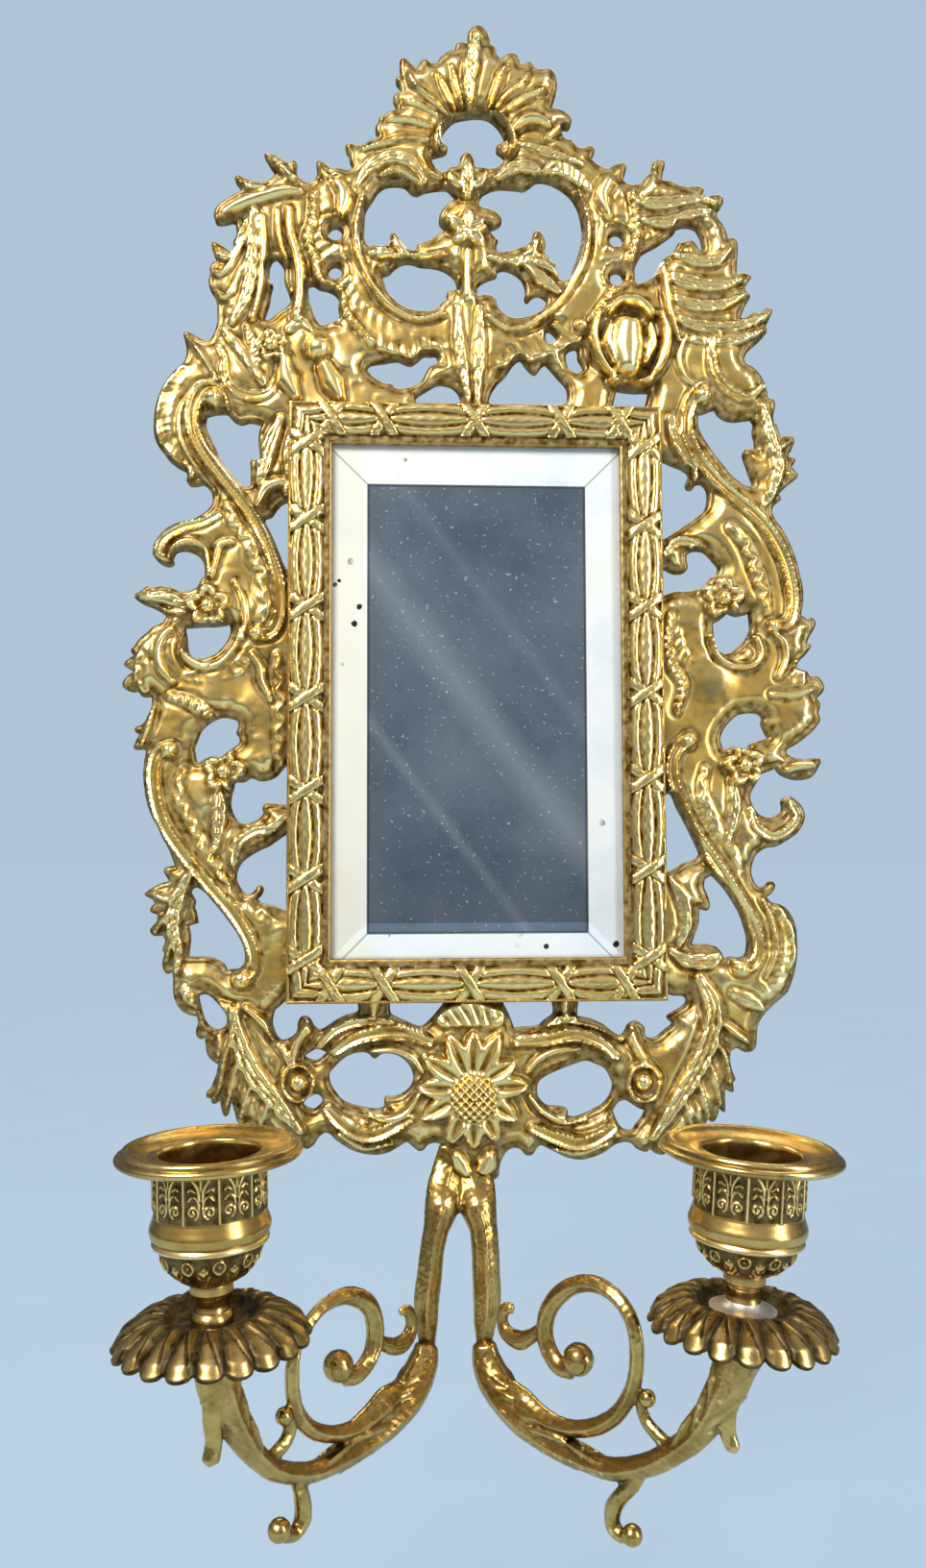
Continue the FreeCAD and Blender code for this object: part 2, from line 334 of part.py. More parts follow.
# ---- raised ornament -----------------------------------------------------------------
# name: (points in the front view, half widths along it in mm, front above the wall in mm)
SCROLLS = {
 "s_ul": ([(224,406),(210,402),(201,418),(199,440),(209,465),(231,495),(255,525),(275,560),(289,600),
   (291,635),(282,656),(266,658)], (1.6,2.0,1.9,1.0), 5.0),
 "s_ur": ([(732,402),(722,414),(716,438),(723,465),(745,495),(773,520),(799,545),(819,580),(828,618),
   (824,645),(806,650)], (1.6,2.0,1.9,1.0), 5.0),
 "s_ll": ([(176,778),(162,785),(157,810),(165,850),(186,885),(215,920),(244,955),(260,985),(261,1008),
   (250,1020)], (1.4,2.0,2.0,1.2), 5.0),
 "s_lr": ([(720,768),(706,780),(701,805),(716,850),(741,890),(768,930),(788,968),(789,998),(776,1010)],
   (1.4,2.0,2.0,1.2), 5.0),
 "heart_l": ([(378,200),(370,238),(376,270),(390,298),(408,318),(434,330),
   (462,324)], (0.9,1.1,1.1,0.9), 5.2),
 "heart_r": ([(603,196),(613,232),(610,264),(598,290),(580,314),(554,335),(530,340),(508,326)],
   (0.9,1.1,1.1,0.9), 5.2),
 "fluted_l": ([(350,190),(346,230),(352,270),(370,312),(400,340),(440,352),(478,356)],
   (1.6,2.6,2.6,1.8), 4.4),
 "fluted_r": ([(632,188),(638,228),(634,262),(622,300),(598,334),(560,352),(520,358)],
   (1.6,2.4,2.6,1.8), 4.4),
 "crest_arch": ([(466,155),(456,150),(455,138),(460,126),(470,117),(484,111),(499,109),(514,112),(526,120),
   (534,132),(536,145),(529,152)], (0.8,1.2,1.2,0.8), 6.0),
 "shell_1": ([(462,112),(447,98),(434,84)], (0.8,1.8,1.6,0.8), 5.2),
 "shell_2": ([(472,106),(463,86),(458,68)], (0.8,1.8,1.8,0.8), 5.6),
 "shell_3": ([(490,104),(489,76),(493,42)], (1.0,2.6,2.6,0.8), 6.4),
 "shell_4": ([(510,105),(518,86),(526,68)], (0.8,1.8,1.8,0.8), 5.6),
 "shell_5": ([(522,112),(542,94),(562,84)], (0.8,2.0,2.0,1.0), 5.2),
 "shell_6": ([(534,124),(552,120),(572,122),(586,126)], (1.0,2.0,1.6,1.0), 5.0),
 "shell_7": ([(448,118),(434,108),(420,102)], (0.8,1.6,1.4,0.8), 5.0),
 "shell_8": ([(447,136),(424,130),(402,130)], (0.8,1.6,1.4,0.8), 4.8),
 "leaf_arch_l": ([(372,184),(382,170),(397,161),(413,158),(429,165),(440,178)], (0.8,1.6,1.6,1.0), 4.8),
 "leaf_arch_r": ([(536,172),(552,180),(570,176),(590,174),(612,188)], (0.8,1.6,1.6,1.0), 4.8),
 "mid_leaf": ([(487,192),(487,178),(488,164)], (1.6,2.2,1.8,0.8), 5.2),
 "stem": ([(487,258),(486,280),(487,300)], (1.6,1.8,1.6,1.4), 4.6),
 "column": ([(487,316),(488,350),(492,385),(494,416)], (2.2,3.6,3.0,2.6), 4.8),
 "sprig_l": ([(462,262),(440,264),(415,263),(394,263)], (1.2,1.0,1.0,1.4), 4.6),
 "sprig_r": ([(512,264),(532,270),(552,262),(558,250)], (1.2,1.0,1.0,1.2), 4.6),
 "frond_tl_1": ([(256,222),(250,240),(234,266),(226,300)], (1.2,2.6,2.2,0.8), 4.8),
 "frond_tl_2": ([(262,230),(258,262),(244,300),(236,330)], (1.2,2.4,2.0,0.8), 5.0),
 "tube_l": ([(288,216),(292,240),(306,268),(314,300),(316,330)], (1.8,2.0,2.2,1.6), 5.4),
 "horn_l": ([(312,200),(298,196),(280,202),(262,206),(244,214)], (1.0,1.8,1.8,0.8), 4.8),
 "horn_r": ([(662,204),(684,208),(706,206),(730,203)], (1.2,2.2,2.0,0.8), 4.8),
 "horn_r2": ([(672,226),(696,226),(720,218),(742,214)], (1.2,2.2,2.0,0.8), 4.8),
 "frond_tr_1": ([(706,262),(728,270),(748,272),(764,264)], (1.0,2.4,2.2,0.8), 4.8),
 "frond_tr_2": ([(694,290),(720,300),(750,304),(776,300)], (1.2,2.6,2.2,0.8), 5.0),
 "frond_tr_3": ([(700,322),(728,334),(760,338),(796,332)], (1.2,2.4,2.0,0.8), 4.8),
 "u_curl_l": ([(226,358),(234,366),(233,385),(243,401),(262,409),(279,404),(286,390)],
   (1.0,1.6,1.6,1.0), 4.6),
 "u_curl_r": ([(742,352),(742,370),(748,390),(762,405),(780,412),(794,402)], (1.0,1.6,1.6,1.0), 4.6),
 "ruffle_l": ([(186,396),(174,420),(172,445),(180,468),(197,484)], (1.6,2.8,2.6,1.4), 4.2),
 "ruffle_r": ([(798,420),(798,445),(806,470),(808,500),(798,520)], (1.4,2.4,2.6,1.4), 4.2),
 "curl_ml": ([(186,594),(172,588),(164,574),(170,558),(190,547),(210,540),(228,528)],
   (1.0,1.6,1.6,1.0), 4.6),
 "curl_mr": ([(742,584),(726,566),(708,562),(694,574)], (1.0,1.6,1.6,1.0), 4.6),
 "side_l_1": ([(146,620),(166,622),(186,626)], (0.8,1.8,1.8,1.2), 4.8),
 "side_l_2": ([(238,646),(220,664),(190,664),(166,672),(150,688)], (1.2,2.2,2.4,1.2), 4.4),
 "side_l_3": ([(156,700),(180,714),(204,726)], (1.2,2.6,2.2,1.2), 4.6),
 "side_r_1": ([(840,652),(826,668),(816,690),(810,712)], (0.8,2.2,2.2,1.2), 4.6),
 "side_r_2": ([(846,722),(824,728),(800,724)], (1.2,2.4,2.2,1.2), 4.6),
 "leaf_hang_l": ([(226,822),(228,842),(226,862),(222,884)], (1.2,2.4,2.0,0.8), 5.0),
 "leaf_hang_r": ([(764,816),(766,834),(764,852),(762,872)], (1.2,2.2,2.0,0.8), 5.0),
 "c_curl_r": ([(848,800),(830,800),(812,806),(796,818),(784,834),(790,850),(808,856)],
   (1.0,1.6,1.6,1.0), 4.6),
 "frond_l": ([(196,906),(186,932),(180,960),(184,990),(194,1014)], (1.0,2.4,2.6,1.2), 4.6),
 "frond_r": ([(806,940),(814,964),(814,992),(806,1020)], (1.4,2.8,2.8,1.4), 4.6),
 "acanthus_l_1": ([(240,1062),(246,1090),(258,1120),(284,1150),(312,1178)], (1.4,3.2,3.0,1.6), 5.4),
 "acanthus_l_2": ([(228,1090),(236,1114),(244,1140)], (1.0,1.8,1.6,0.8), 4.6),
 "acanthus_r_1": ([(744,1050),(738,1084),(728,1118),(706,1150),(684,1184)], (1.4,3.2,3.0,1.6), 5.4),
 "acanthus_r_2": ([(766,1072),(756,1102),(746,1140)], (1.0,2.0,1.8,0.8), 4.6),
 "cap_r": ([(700,992),(716,1002),(738,1004),(752,998)], (1.2,2.2,2.2,1.2), 5.0),
 "apron_tl": ([(447,1086),(428,1078),(400,1076),(372,1082),(348,1096)], (1.2,2.0,2.0,1.2), 5.4),
 "apron_bl": ([(340,1156),(356,1172),(380,1182),(404,1176),(426,1166)], (1.2,2.2,2.0,1.2), 5.4),
 "apron_tr": ([(540,1086),(566,1084),(600,1078),(626,1086),(640,1098)], (1.2,2.0,2.0,1.2), 5.4),
 "apron_br": ([(556,1176),(580,1186),(604,1190),(628,1182),(648,1164)], (1.2,2.2,2.0,1.2), 5.4),
 "post_l": ([(322,1062),(318,1074),(308,1088),(306,1106)], (1.0,1.8,1.8,1.4), 5.0),
 "post_r": ([(656,1070),(660,1084),(668,1098),(672,1110)], (1.0,1.8,1.8,1.4), 5.0),
 "bell": ([(490,1040),(490,1056),(489,1072)], (2.6,5.6,6.6,7.0), 5.6),
}
# name: (centre in the front view, radius in mm, petals, front above the wall in mm)
BLOSSOMS = {
 "flower_top": ((487,240), 6.4, 4, 5.6),
 "flower_ul": ((216,629), 6.0, 5, 6.0),
 "flower_ur": ((756,622), 6.0, 5, 6.0),
 "flower_ll": ((232,803), 6.0, 5, 6.0),
 "flower_lr": ((778,796), 6.0, 5, 6.0),
 "rose": ((656,345), 8.6, 5, 6.6),
 "bud_flower": ((280,355), 4.6, 5, 5.6),
}
# name: (centre in the front view, radius in mm, front above the wall in mm)
BEADS = {
 "bulb_l": ((334,358), 4.6, 6.0), "bead_l": ((345,395), 2.6, 5.2), "bud_l": ((311,396), 3.0, 5.4),
 "head_ul": ((219,413), 3.2, 5.6), "head_ur": ((735,411), 3.2, 5.6), "head_ll": ((173,778), 3.0, 5.4),
 "head_lr": ((719,768), 3.0, 5.4), "head_bl": ((247,1021), 3.6, 5.6), "head_br": ((771,1008), 3.4, 5.6),
 "eye_l": ((310,1128), 4.2, 5.8), "eye_r": ((672,1127), 4.2, 5.8), "curl_r": ((607,335), 2.4, 5.4),
}
# ribbon crossings on the moulding, in the front view
CROSSINGS = [(322,538),(318,630),(318,725),(320,822),(322,915),(670,545),(668,630),(675,720),(675,810),
 (675,905),(400,441),(495,441),(585,438),(400,1021),(490,1021),(585,1021)]
ribbon_w = 1.5
ribbon_share = 0.8              # a ribbon's length as a share of the moulding's width
ribbon_proud = 0.5
ribbon_angle = 45
REED_FACETS = 4
blossom_heart_r = 2.0
blossom_heart_proud = 0.9
blossom_root_share = 0.5        # petals start this share of the heart's radius out
blossom_petal_share = 0.36      # a petal's half width as a share of the flower's radius
bead_base_share = 0.5           # a bead's dome starts this share of its height up

# ---- yoke, drawn from the front (x, z) and from the side (y, z) ------------------------
# z is measured from the stems' joints up.
drawn_yoke_rise = 50.2
drawn_stem_x = {"left": -15.4, "right": 0.3}
drawn_joint_y = -12.0
YOKE_FRONT = [(-17.3,0.0),K,(-18.6,6.9),(-19.0,12.3),(-18.4,18.0),(-17.2,25.5),(-15.4,37.5),
 (-14.4,44.0),(-13.0,49.8),K]
YOKE_NOTCH = [(-13.3,0.0),(-12.1,6.9),(-12.0,12.1),(-11.4,18.0),(-10.4,25.5),(-9.0,31.5),(-5.9,34.8),
 (-3.4,31.0),(-3.0,22.6),(-2.7,12.9),(-2.3,6.5),(-1.6,0.0)]
YOKE_RIGHT = [(2.2,0.0),(4.5,5.9),(5.1,11.7),(4.9,19.9),(4.4,30.0),(4.1,36.0),(3.9,42.1),(3.8,49.8)]
YOKE_SIDE_BACK = [(0.0,44.5),(-1.0,40.5),(-3.2,34.0),(-5.4,26.0),(-6.8,16.0),(-7.6,6.0),(-7.8,0.0)]
YOKE_SIDE_FRONT = [(-12.0,0.0),(-13.0,9.0),(-13.2,18.0),(-12.2,27.0),(-9.4,34.0),(-5.4,38.5),(-2.4,40.8)]

# ---- arms, drawn in their own vertical planes ------------------------------------------
# Each row is (out from the stem's joint, up from it, half width), along one limb.
drawn_reach = {"left": 77.2, "right": 81.1}
drawn_rise = {"left": 29.7, "right": 29.2}
cap_sink = 2.0                  # the flat cap under a pan reaches this far into its arm
ARM = {
 "left": {
  "main": [(0.0,0.0,2.1),(1.3,-3.4,3.5),(4.6,-7.3,5.2),(9.6,-10.6,5.6),(15.9,-13.1,5.0),(25.5,-15.5,3.5),
   (36.4,-15.9,2.9),(46.6,-14.4,2.6),(56.4,-10.0,2.6),(62.6,-4.7,2.7),(68.0,2.1,3.4),(72.4,9.4,4.1),
   (75.6,16.4,5.0),(77.0,23.0,5.3)],
  "scroll": [(12.5,-8.0,3.0),(17.9,-8.4,3.6),(23.6,-9.9,3.0),(31.0,-10.5,2.2),(38.1,-8.7,1.9),
   (45.0,-5.0,1.9),
   (49.7,0.2,1.9),(51.7,5.8,1.9),(52.0,10.4,1.9),(51.4,14.6,1.7),(49.5,18.0,1.7),(45.8,20.9,1.7),
   (40.7,23.0,1.7),(34.7,23.3,2.0),(29.3,21.7,2.2),(24.1,18.0,2.4),(21.8,13.2,2.6),(21.8,8.3,2.6),
   (24.0,4.5,2.4),(28.5,2.4,2.3),(33.4,3.4,2.0)],
  "link": [(11.2,12.6,0.8),(8.0,11.6,1.2),(6.6,8.4,1.4),(7.4,5.4,1.6),(10.6,4.0,1.8),(15.0,4.8,1.5),
   (20.6,8.0,1.1)],
  "curl": [(61.0,-6.6,1.2),(57.4,-5.6,1.4),(54.4,-4.4,1.5),(52.6,-2.0,1.5),(53.4,0.9,1.5)],
  "tendril": [(51.2,-12.6,1.6),(49.4,-16.6,1.9),(48.2,-20.4,2.3),(48.2,-24.4,2.4),(50.8,-26.6,1.9),
   (54.0,-25.6,1.8)],
  "droop": [(74.6,18.0,2.6),(76.4,13.8,2.9),(76.9,9.2,2.5),(76.5,4.6,2.2),(77.4,0.6,2.3)],
  "beads": [(35.7,6.8,4.0),(56.0,-23.6,2.9),(54.7,1.8,2.2)],
 },
 "right": {
  "main": [(0.0,0.0,2.1),(1.1,-4.3,3.7),(3.9,-8.3,4.8),(8.5,-12.1,5.2),(15.3,-15.4,4.9),(24.2,-18.1,3.3),
   (33.7,-18.8,2.7),(44.3,-17.5,2.9),(54.5,-12.8,2.8),(61.5,-7.6,3.0),(68.3,-1.3,3.2),(73.4,6.0,3.7),
   (77.6,13.6,4.6),(80.4,21.0,5.1)],
  "scroll": [(9.6,-9.4,3.0),(14.3,-10.8,3.4),(20.0,-12.4,2.8),(25.9,-12.9,2.3),(32.2,-11.8,2.0),
   (39.0,-8.9,2.0),
   (45.1,-4.1,1.9),(49.2,2.0,1.9),(51.0,7.6,1.9),(51.4,13.4,1.9),(50.3,18.8,1.9),(47.5,22.6,1.9),
   (43.3,25.0,1.9),(38.2,25.6,2.0),(32.6,24.0,2.0),(27.1,20.2,2.2),(23.2,15.1,2.3),(21.8,9.8,2.4),
   (23.1,5.3,2.4),(26.6,2.2,2.4),(31.0,2.2,2.1)],
  "link": [(10.4,12.4,1.0),(7.8,11.4,1.2),(6.8,8.4,1.2),(8.4,5.4,1.6),(12.9,4.7,1.8),(17.1,6.9,1.3),
   (21.4,10.6,1.0)],
  "curl": [(64.6,-7.0,1.1),(61.0,-6.4,1.3),(57.6,-5.2,1.4),(54.3,-3.2,1.3),(52.6,-0.4,1.2),(53.0,2.0,1.1)],
  "tendril": [(52.0,-15.8,1.7),(49.6,-19.6,1.8),(46.2,-23.2,2.1),(43.6,-27.4,2.3),(43.8,-31.4,2.1),
   (47.0,-32.8,1.8)],
  "droop": [(77.4,16.0,2.5),(77.6,11.0,2.8),(76.6,6.4,2.4),(76.8,1.8,2.1),(78.2,-1.2,1.9)],
  "beads": [(33.0,5.6,4.2),(49.4,-31.2,2.7),(54.4,2.6,2.2)],
 },
}
boss_blend = 0.4                # the arm's end stands this far out from the last limb section


# ---- derived places ------------------------------------------------------------------
sight_top = -hole_to_sight
sight_bottom = sight_top - sight_h
sight_z = (sight_top + sight_bottom) / 2
sight_left = sight_x - sight_w / 2
sight_right = sight_x + sight_w / 2
boss_z = sight_bottom - boss_drop
joint_z = sight_bottom - yoke_foot_drop
shoulder_z = sight_bottom - shoulder_drop
glass_w = sight_w + 2 * glass_lap
glass_h = sight_h + 2 * glass_lap
rebate_w = glass_w + 2 * glass_play
rebate_h = glass_h + 2 * glass_play
board_back = back_recess + board_set
glass_back = board_back + board_t + packing_t
glass_front = glass_back + glass_t
washer_front = nut_t + washer_t + button_gap
tongue_front = washer_front + tongue_t
MARGIN = 1.0                    # cutters run this far past what they cut


def stretch(value, drawn, real):
    """Moves a drawn coordinate along when the frame's edges or the sight's edges move."""
    last = len(drawn) - 2
    i = 0
    while i < last and value > drawn[i + 1]:
        i += 1
    share = (value - drawn[i]) / (drawn[i + 1] - drawn[i])
    return real[i] + share * (real[i + 1] - real[i])


def plan(u, v, depth=edge_depth):
    """The place (x, z) on the plane that lies depth before the wall, seen at (u, v)."""
    turn = math.radians(view_turn)
    tip = math.radians(view_lean)
    right = (math.cos(turn), 0.0, math.sin(turn))
    across = math.sin(turn) * math.sin(tip)
    up = (-across * right[0], -math.cos(tip), math.sin(tip) - across * right[2])
    size = math.sqrt(sum(c * c for c in up))
    up = tuple(c / size for c in up)
    away = (up[1] * right[2] - up[2] * right[1], up[2] * right[0] - up[0] * right[2],
            up[0] * right[1] - up[1] * right[0])
    ray = ((u - view_u) / view_focal, (v - view_v) / view_focal, 1.0)
    reach = (away[2] * view_distance - depth) / sum(a * b for a, b in zip(away, ray))
    hit = (reach * ray[0], reach * ray[1], reach * ray[2] - view_distance)
    x = sum(a * b for a, b in zip(hit, right)) - view_shift_x
    z = sum(a * b for a, b in zip(hit, up)) - view_shift_z
    real_x = (-frame_width / 2, sight_left, sight_right, frame_width / 2)
    real_z = (sight_bottom - apron_drop, sight_bottom, sight_top, sight_top + crest_rise)
    return stretch(x, drawn_x, real_x), stretch(z, drawn_z, real_z)


# ---- curves and faces ----------------------------------------------------------------
def spline(points, closed=False):
    curve = Part.BSplineCurve()
    if closed:
        curve.interpolate(Points=points, PeriodicFlag=True)
    else:
        curve.interpolate(points)
    return curve.toShape()


def split_runs(items):
    """Splits a closed list at its corners into runs that share their end points."""
    points = []
    corners = []
    for item in items:
        if item == K:
            corners.append(len(points) - 1)
        else:
            points.append(item)
    if points[0] == points[-1]:
        points.pop()
        corners = [c % len(points) for c in corners]
    corners = sorted(set(corners))
    if not corners:
        return [points], True
    found = []
    for a, b in zip(corners, corners[1:] + [corners[0] + len(points)]):
        found.append([points[i % len(points)] for i in range(a, b + 1)])
    return found, False


def outline_wire(items, place):
    """A closed wire through the listed points, smooth except at the marked corners."""
    found, smooth = split_runs(items)
    edges = []
    for run in found:
        spots = [place(*p) for p in run]
        if smooth:
            return Part.Wire([spline(spots, True)])
        if len(spots) == 2:
            edges.append(Part.makeLine(spots[0], spots[1]))
        else:
            edges.append(spline(spots))
    return Part.Wire(edges)


def on_wall(u, v):
    x, z = plan(u, v)
    return V(x, 0, z)


def slab(face, back, front):
    """A face in the wall plane, made a solid between two depths before the wall."""
    moved = face.copy()
    moved.translate(V(0, -back, 0))
    return moved.extrude(V(0, back - front, 0))


def block(x0, x1, z0, z1, back, front):
    return Part.makeBox(x1 - x0, front - back, z1 - z0, V(x0, -front, z0))


def rod(x, z, r, back, front):
    """A round bar square to the wall, between two depths before it."""
    return Part.makeCylinder(r, front - back, V(x, -back, z), V(0, -1, 0))


def turned(items):
    """A solid of revolution about Z, from a closed outline in (radius, height)."""
    wire = outline_wire(items, lambda r, h: V(r, 0, h))
    return Part.Face(wire).revolve(V(0, 0, 0), V(0, 0, 1), 360)


def width_at(widths, share):
    spot = share * (len(widths) - 1)
    i = min(int(spot), len(widths) - 2)
    return widths[i] + (spot - i) * (widths[i + 1] - widths[i])


def ribbon_face(points, widths):
    """A band of changing width along a line of points in the wall plane, round at its ends."""
    line = Part.BSplineCurve()
    line.interpolate([V(x, 0, z) for x, z in points])
    first, last = line.FirstParameter, line.LastParameter
    steps = 2 * (len(points) - 1)
    left = []
    right = []
    for i in range(steps + 1):
        share = i / steps
        at = first + share * (last - first)
        spot = line.value(at)
        along = line.tangent(at)[0]
        side = V(-along.z, 0, along.x) * width_at(widths, share)
        left.append(spot + side)
        right.append(spot - side)
    start = line.value(first) - line.tangent(first)[0] * widths[0]
    end = line.value(last) + line.tangent(last)[0] * widths[-1]
    right.reverse()
    edges = [spline(left), Part.Arc(left[-1], end, right[0]).toShape(), spline(right),
             Part.Arc(right[-1], start, left[0]).toShape()]
    return Part.Face(Part.Wire(edges))


def petal_face(x, z, inner, outer, angle, half):
    """A lens-shaped petal that points away from (x, z)."""
    along = V(math.cos(angle), 0, math.sin(angle))
    side = V(-along.z, 0, along.x) * half
    foot = V(x, 0, z) + along * inner
    tip = V(x, 0, z) + along * outer
    middle = (foot + tip) * 0.5
    edges = [Part.Arc(foot, middle + side, tip).toShape(), Part.Arc(tip, middle - side, foot).toShape()]
    return Part.Face(Part.Wire(edges))


# ---- frame casting -------------------------------------------------------------------
def pierced_face():
    """The frame's outline with all its openings."""
    wires = [outline_wire(OUTER, on_wall)] + [outline_wire(items, on_wall) for items in HOLES.values()]
    return Part.makeFace(wires, "Part::FaceMakerBullseye")


def moulding():
    """The moulding's block: a fall from its edge, three reeds and a flat down to the lip."""
    reed = moulding_w * reed_share
    sections = [(moulding_w, 0.0), (moulding_w, plate_t + outer_fall),
                (3 * reed + reed_start, plate_t + reed_fall)]
    for i in (2, 1, 0):
        for k in range(1, REED_FACETS):
            angle = math.pi * k / REED_FACETS
            out = reed_start + i * reed + reed * (1 + math.cos(angle)) / 2
            sections.append((out, moulding_front - reed_depth * (1 - math.sin(angle))))
        sections.append((reed_start + i * reed, moulding_front - reed_depth))
    sections.append((0.0, glass_front + lip_t))
    rings = [rectangle(sight_w + 2 * out, sight_h + 2 * out, front) for out, front in sections]
    return Part.makeLoft(rings, True, True)


def crossings():
    """Two crossed ribbons over the reeds at each tie."""
    made = []
    length = moulding_w * ribbon_share
    for u, v in CROSSINGS:
        x, z = plan(u, v, moulding_front)
        for lean_to in (ribbon_angle, -ribbon_angle):
            bar = Part.makeBox(length, moulding_front + ribbon_proud - plate_t, ribbon_w,
                               V(-length / 2, -moulding_front - ribbon_proud, -ribbon_w / 2))
            bar.Placement = FreeCAD.Placement(V(x, 0, z), FreeCAD.Rotation(V(0, 1, 0), lean_to))
            made.append(bar)
    return made


def scroll_slabs():
    made = []
    for points, widths, front in SCROLLS.values():
        placed = [plan(u, v, front) for u, v in points]
        made.append(slab(ribbon_face(placed, widths), plate_t, front))
    return made


def blossom_slabs():
    made = []
    for (u, v), r, petals, front in BLOSSOMS.values():
        x, z = plan(u, v, front)
        for i in range(petals):
            angle = math.pi / 2 + i * 2 * math.pi / petals
            root = blossom_heart_r * blossom_root_share
            face = petal_face(x, z, root, r, angle, r * blossom_petal_share)
            made.append(slab(face, plate_t, front))
        made.append(rod(x, z, blossom_heart_r, plate_t, front + blossom_heart_proud))
    return made


def bead_domes():
    made = []
    for (u, v), r, front in BEADS.values():
        x, z = plan(u, v, front)
        rise = (front - plate_t) * (1 - bead_base_share)
        base = front - rise
        ball_r = (r * r + rise * rise) / (2 * rise)
        ball = Part.makeSphere(ball_r, V(x, ball_r - front, z))
        made.append(rod(x, z, r, plate_t, front).common(ball) if base > plate_t else ball)
    return made


def sunflower(tall_outline):
    """The raised disc, seat and petals in the apron that the arms' bolt passes through."""
    disc = rod(boss_x, boss_z, boss_r * disc_share, 0, boss_front)
    seat = rod(boss_x, boss_z, seat_r, 0, seat_front)
    tab = block(boss_x - 2 * boss_r, boss_x + 2 * boss_r, sight_bottom - apron_drop - MARGIN, boss_z,
                0, boss_front)
    narrow = rod(boss_x, boss_z - boss_r, boss_r * disc_tail_share, 0, boss_front)
    tab = tab.common(tall_outline).common(narrow)
    petals = []
    for i in range(petal_count):
        angle = math.pi / 2 + i * 2 * math.pi / petal_count
        face = petal_face(boss_x, boss_z, seed_r + petal_gap, petal_tip_r, angle, boss_r * petal_half_share)
        petals.append(slab(face, plate_t, petal_front))
    return [disc, seat, tab] + petals


def tongue_recess():
    half = tongue_w / 2 + tongue_play
    top = boss_z + tongue_top + tongue_play
    slot = block(boss_x - half, boss_x + half, sight_bottom - apron_drop - MARGIN, top - half, -MARGIN,
                 tongue_front)
    head = rod(boss_x, top - half, half, -MARGIN, tongue_front)
    wide = block(boss_x - boss_r, boss_x + boss_r, sight_bottom - apron_drop - MARGIN,
                 shoulder_z + tongue_play, -MARGIN, tongue_front)
    return [slot, head, wide]


def button_pivots():
    found = []
    for side in (-1, 1):
        for level in (1, -1):
            x = sight_x + side * (rebate_w / 2 + button_inset)
            found.append((x, sight_z + level * button_spread, side))
    return found


def frame_casting():
    face = pierced_face()
    plate = slab(face, 0, plate_t)
    tall = slab(Part.makeFace([outline_wire(OUTER, on_wall)], "Part::FaceMakerBullseye"), 0, boss_front)
    raised = scroll_slabs() + blossom_slabs() + bead_domes() + sunflower(tall)
    body = plate.fuse(raised + [moulding().fuse(crossings())])
    opening = block(sight_left, sight_right, sight_bottom, sight_top, -MARGIN, moulding_front + MARGIN)
    rebate = block(sight_x - rebate_w / 2, sight_x + rebate_w / 2, sight_z - rebate_h / 2,
                   sight_z + rebate_h / 2, -MARGIN, glass_front)
    margin = moulding_w - recess_margin
    recess = block(sight_left - margin, sight_right + margin, sight_bottom - margin,
                   sight_top + margin, -MARGIN, back_recess)
    cuts = [opening, rebate, recess] + tongue_recess()
    cuts.append(rod(boss_x, boss_z, bolt_r + bolt_clear, -MARGIN, seat_front + MARGIN))
    for sx in (-0.5, 0.5):
        for sz in (-0.5, 0.5):
            cuts.append(rod(sx * hole_spacing_x, sz * hole_spacing_z, wall_hole_r, -MARGIN,
                            moulding_front))
    for x, z, side in button_pivots():
        cuts.append(rod(x, z, screw_r, 0, back_recess + screw_depth))
    return body.cut(cuts)


# ---- glass and backing ---------------------------------------------------------------
def rectangle(width, height, front):
    x, z = width / 2, height / 2
    spots = [V(sight_x + a * x, -front, sight_z + b * z) for a, b in ((-1, -1), (1, -1), (1, 1), (-1, 1))]
    return Part.makePolygon(spots + [spots[0]])


def sheet(back, front):
    return block(sight_x - glass_w / 2, sight_x + glass_w / 2, sight_z - glass_h / 2,
                 sight_z + glass_h / 2, back, front)


def mirror_plate():
    plain = sheet(glass_back, glass_front - bevel_drop)
    edge = glass_lap + bevel_w
    top = Part.makeLoft([rectangle(glass_w, glass_h, glass_front - bevel_drop),
                         rectangle(glass_w - 2 * edge, glass_h - 2 * edge, glass_front)], True, True)
    return plain.fuse(top)


def turn_button(x, z, side):
    half = button_w / 2
    back = back_recess - button_gap - button_t
    front = back_recess - button_gap
    inner = x - side * (button_reach - half)
    outer = x + side * (button_tail - half)
    bar = block(min(inner, outer), max(inner, outer), z - half, z + half, back, front)
    bar = bar.fuse([rod(inner, z, half, back, front), rod(outer, z, half, back, front)])
    return bar.cut(rod(x, z, screw_r + screw_clear, 0, back_recess))


def button_screws():
    made = []
    head_front = back_recess - button_gap - button_t - button_gap
    for x, z, side in button_pivots():
        head = rod(x, z, screw_head_r, head_front - screw_head_t, head_front)
        made.append(head.fuse(rod(x, z, screw_r, head_front - screw_head_t, back_recess + screw_depth)))
    return Part.makeCompound(made)


# ---- bolt and yoke -------------------------------------------------------------------
def seed_head_bolt():
    ball_r = (seed_r ** 2 + seed_h ** 2) / (2 * seed_h)
    ball = Part.makeSphere(ball_r, V(boss_x, ball_r - seat_front - seed_h, boss_z))
    head = rod(boss_x, boss_z, seed_r, seat_front, seat_front + seed_h + MARGIN).common(ball)
    return head.fuse(rod(boss_x, boss_z, bolt_r, button_gap, seat_front + MARGIN))


def bolt_washer():
    ring = rod(boss_x, boss_z, washer_r, nut_t + button_gap, washer_front)
    return ring.cut(rod(boss_x, boss_z, bolt_r, 0, tongue_front))


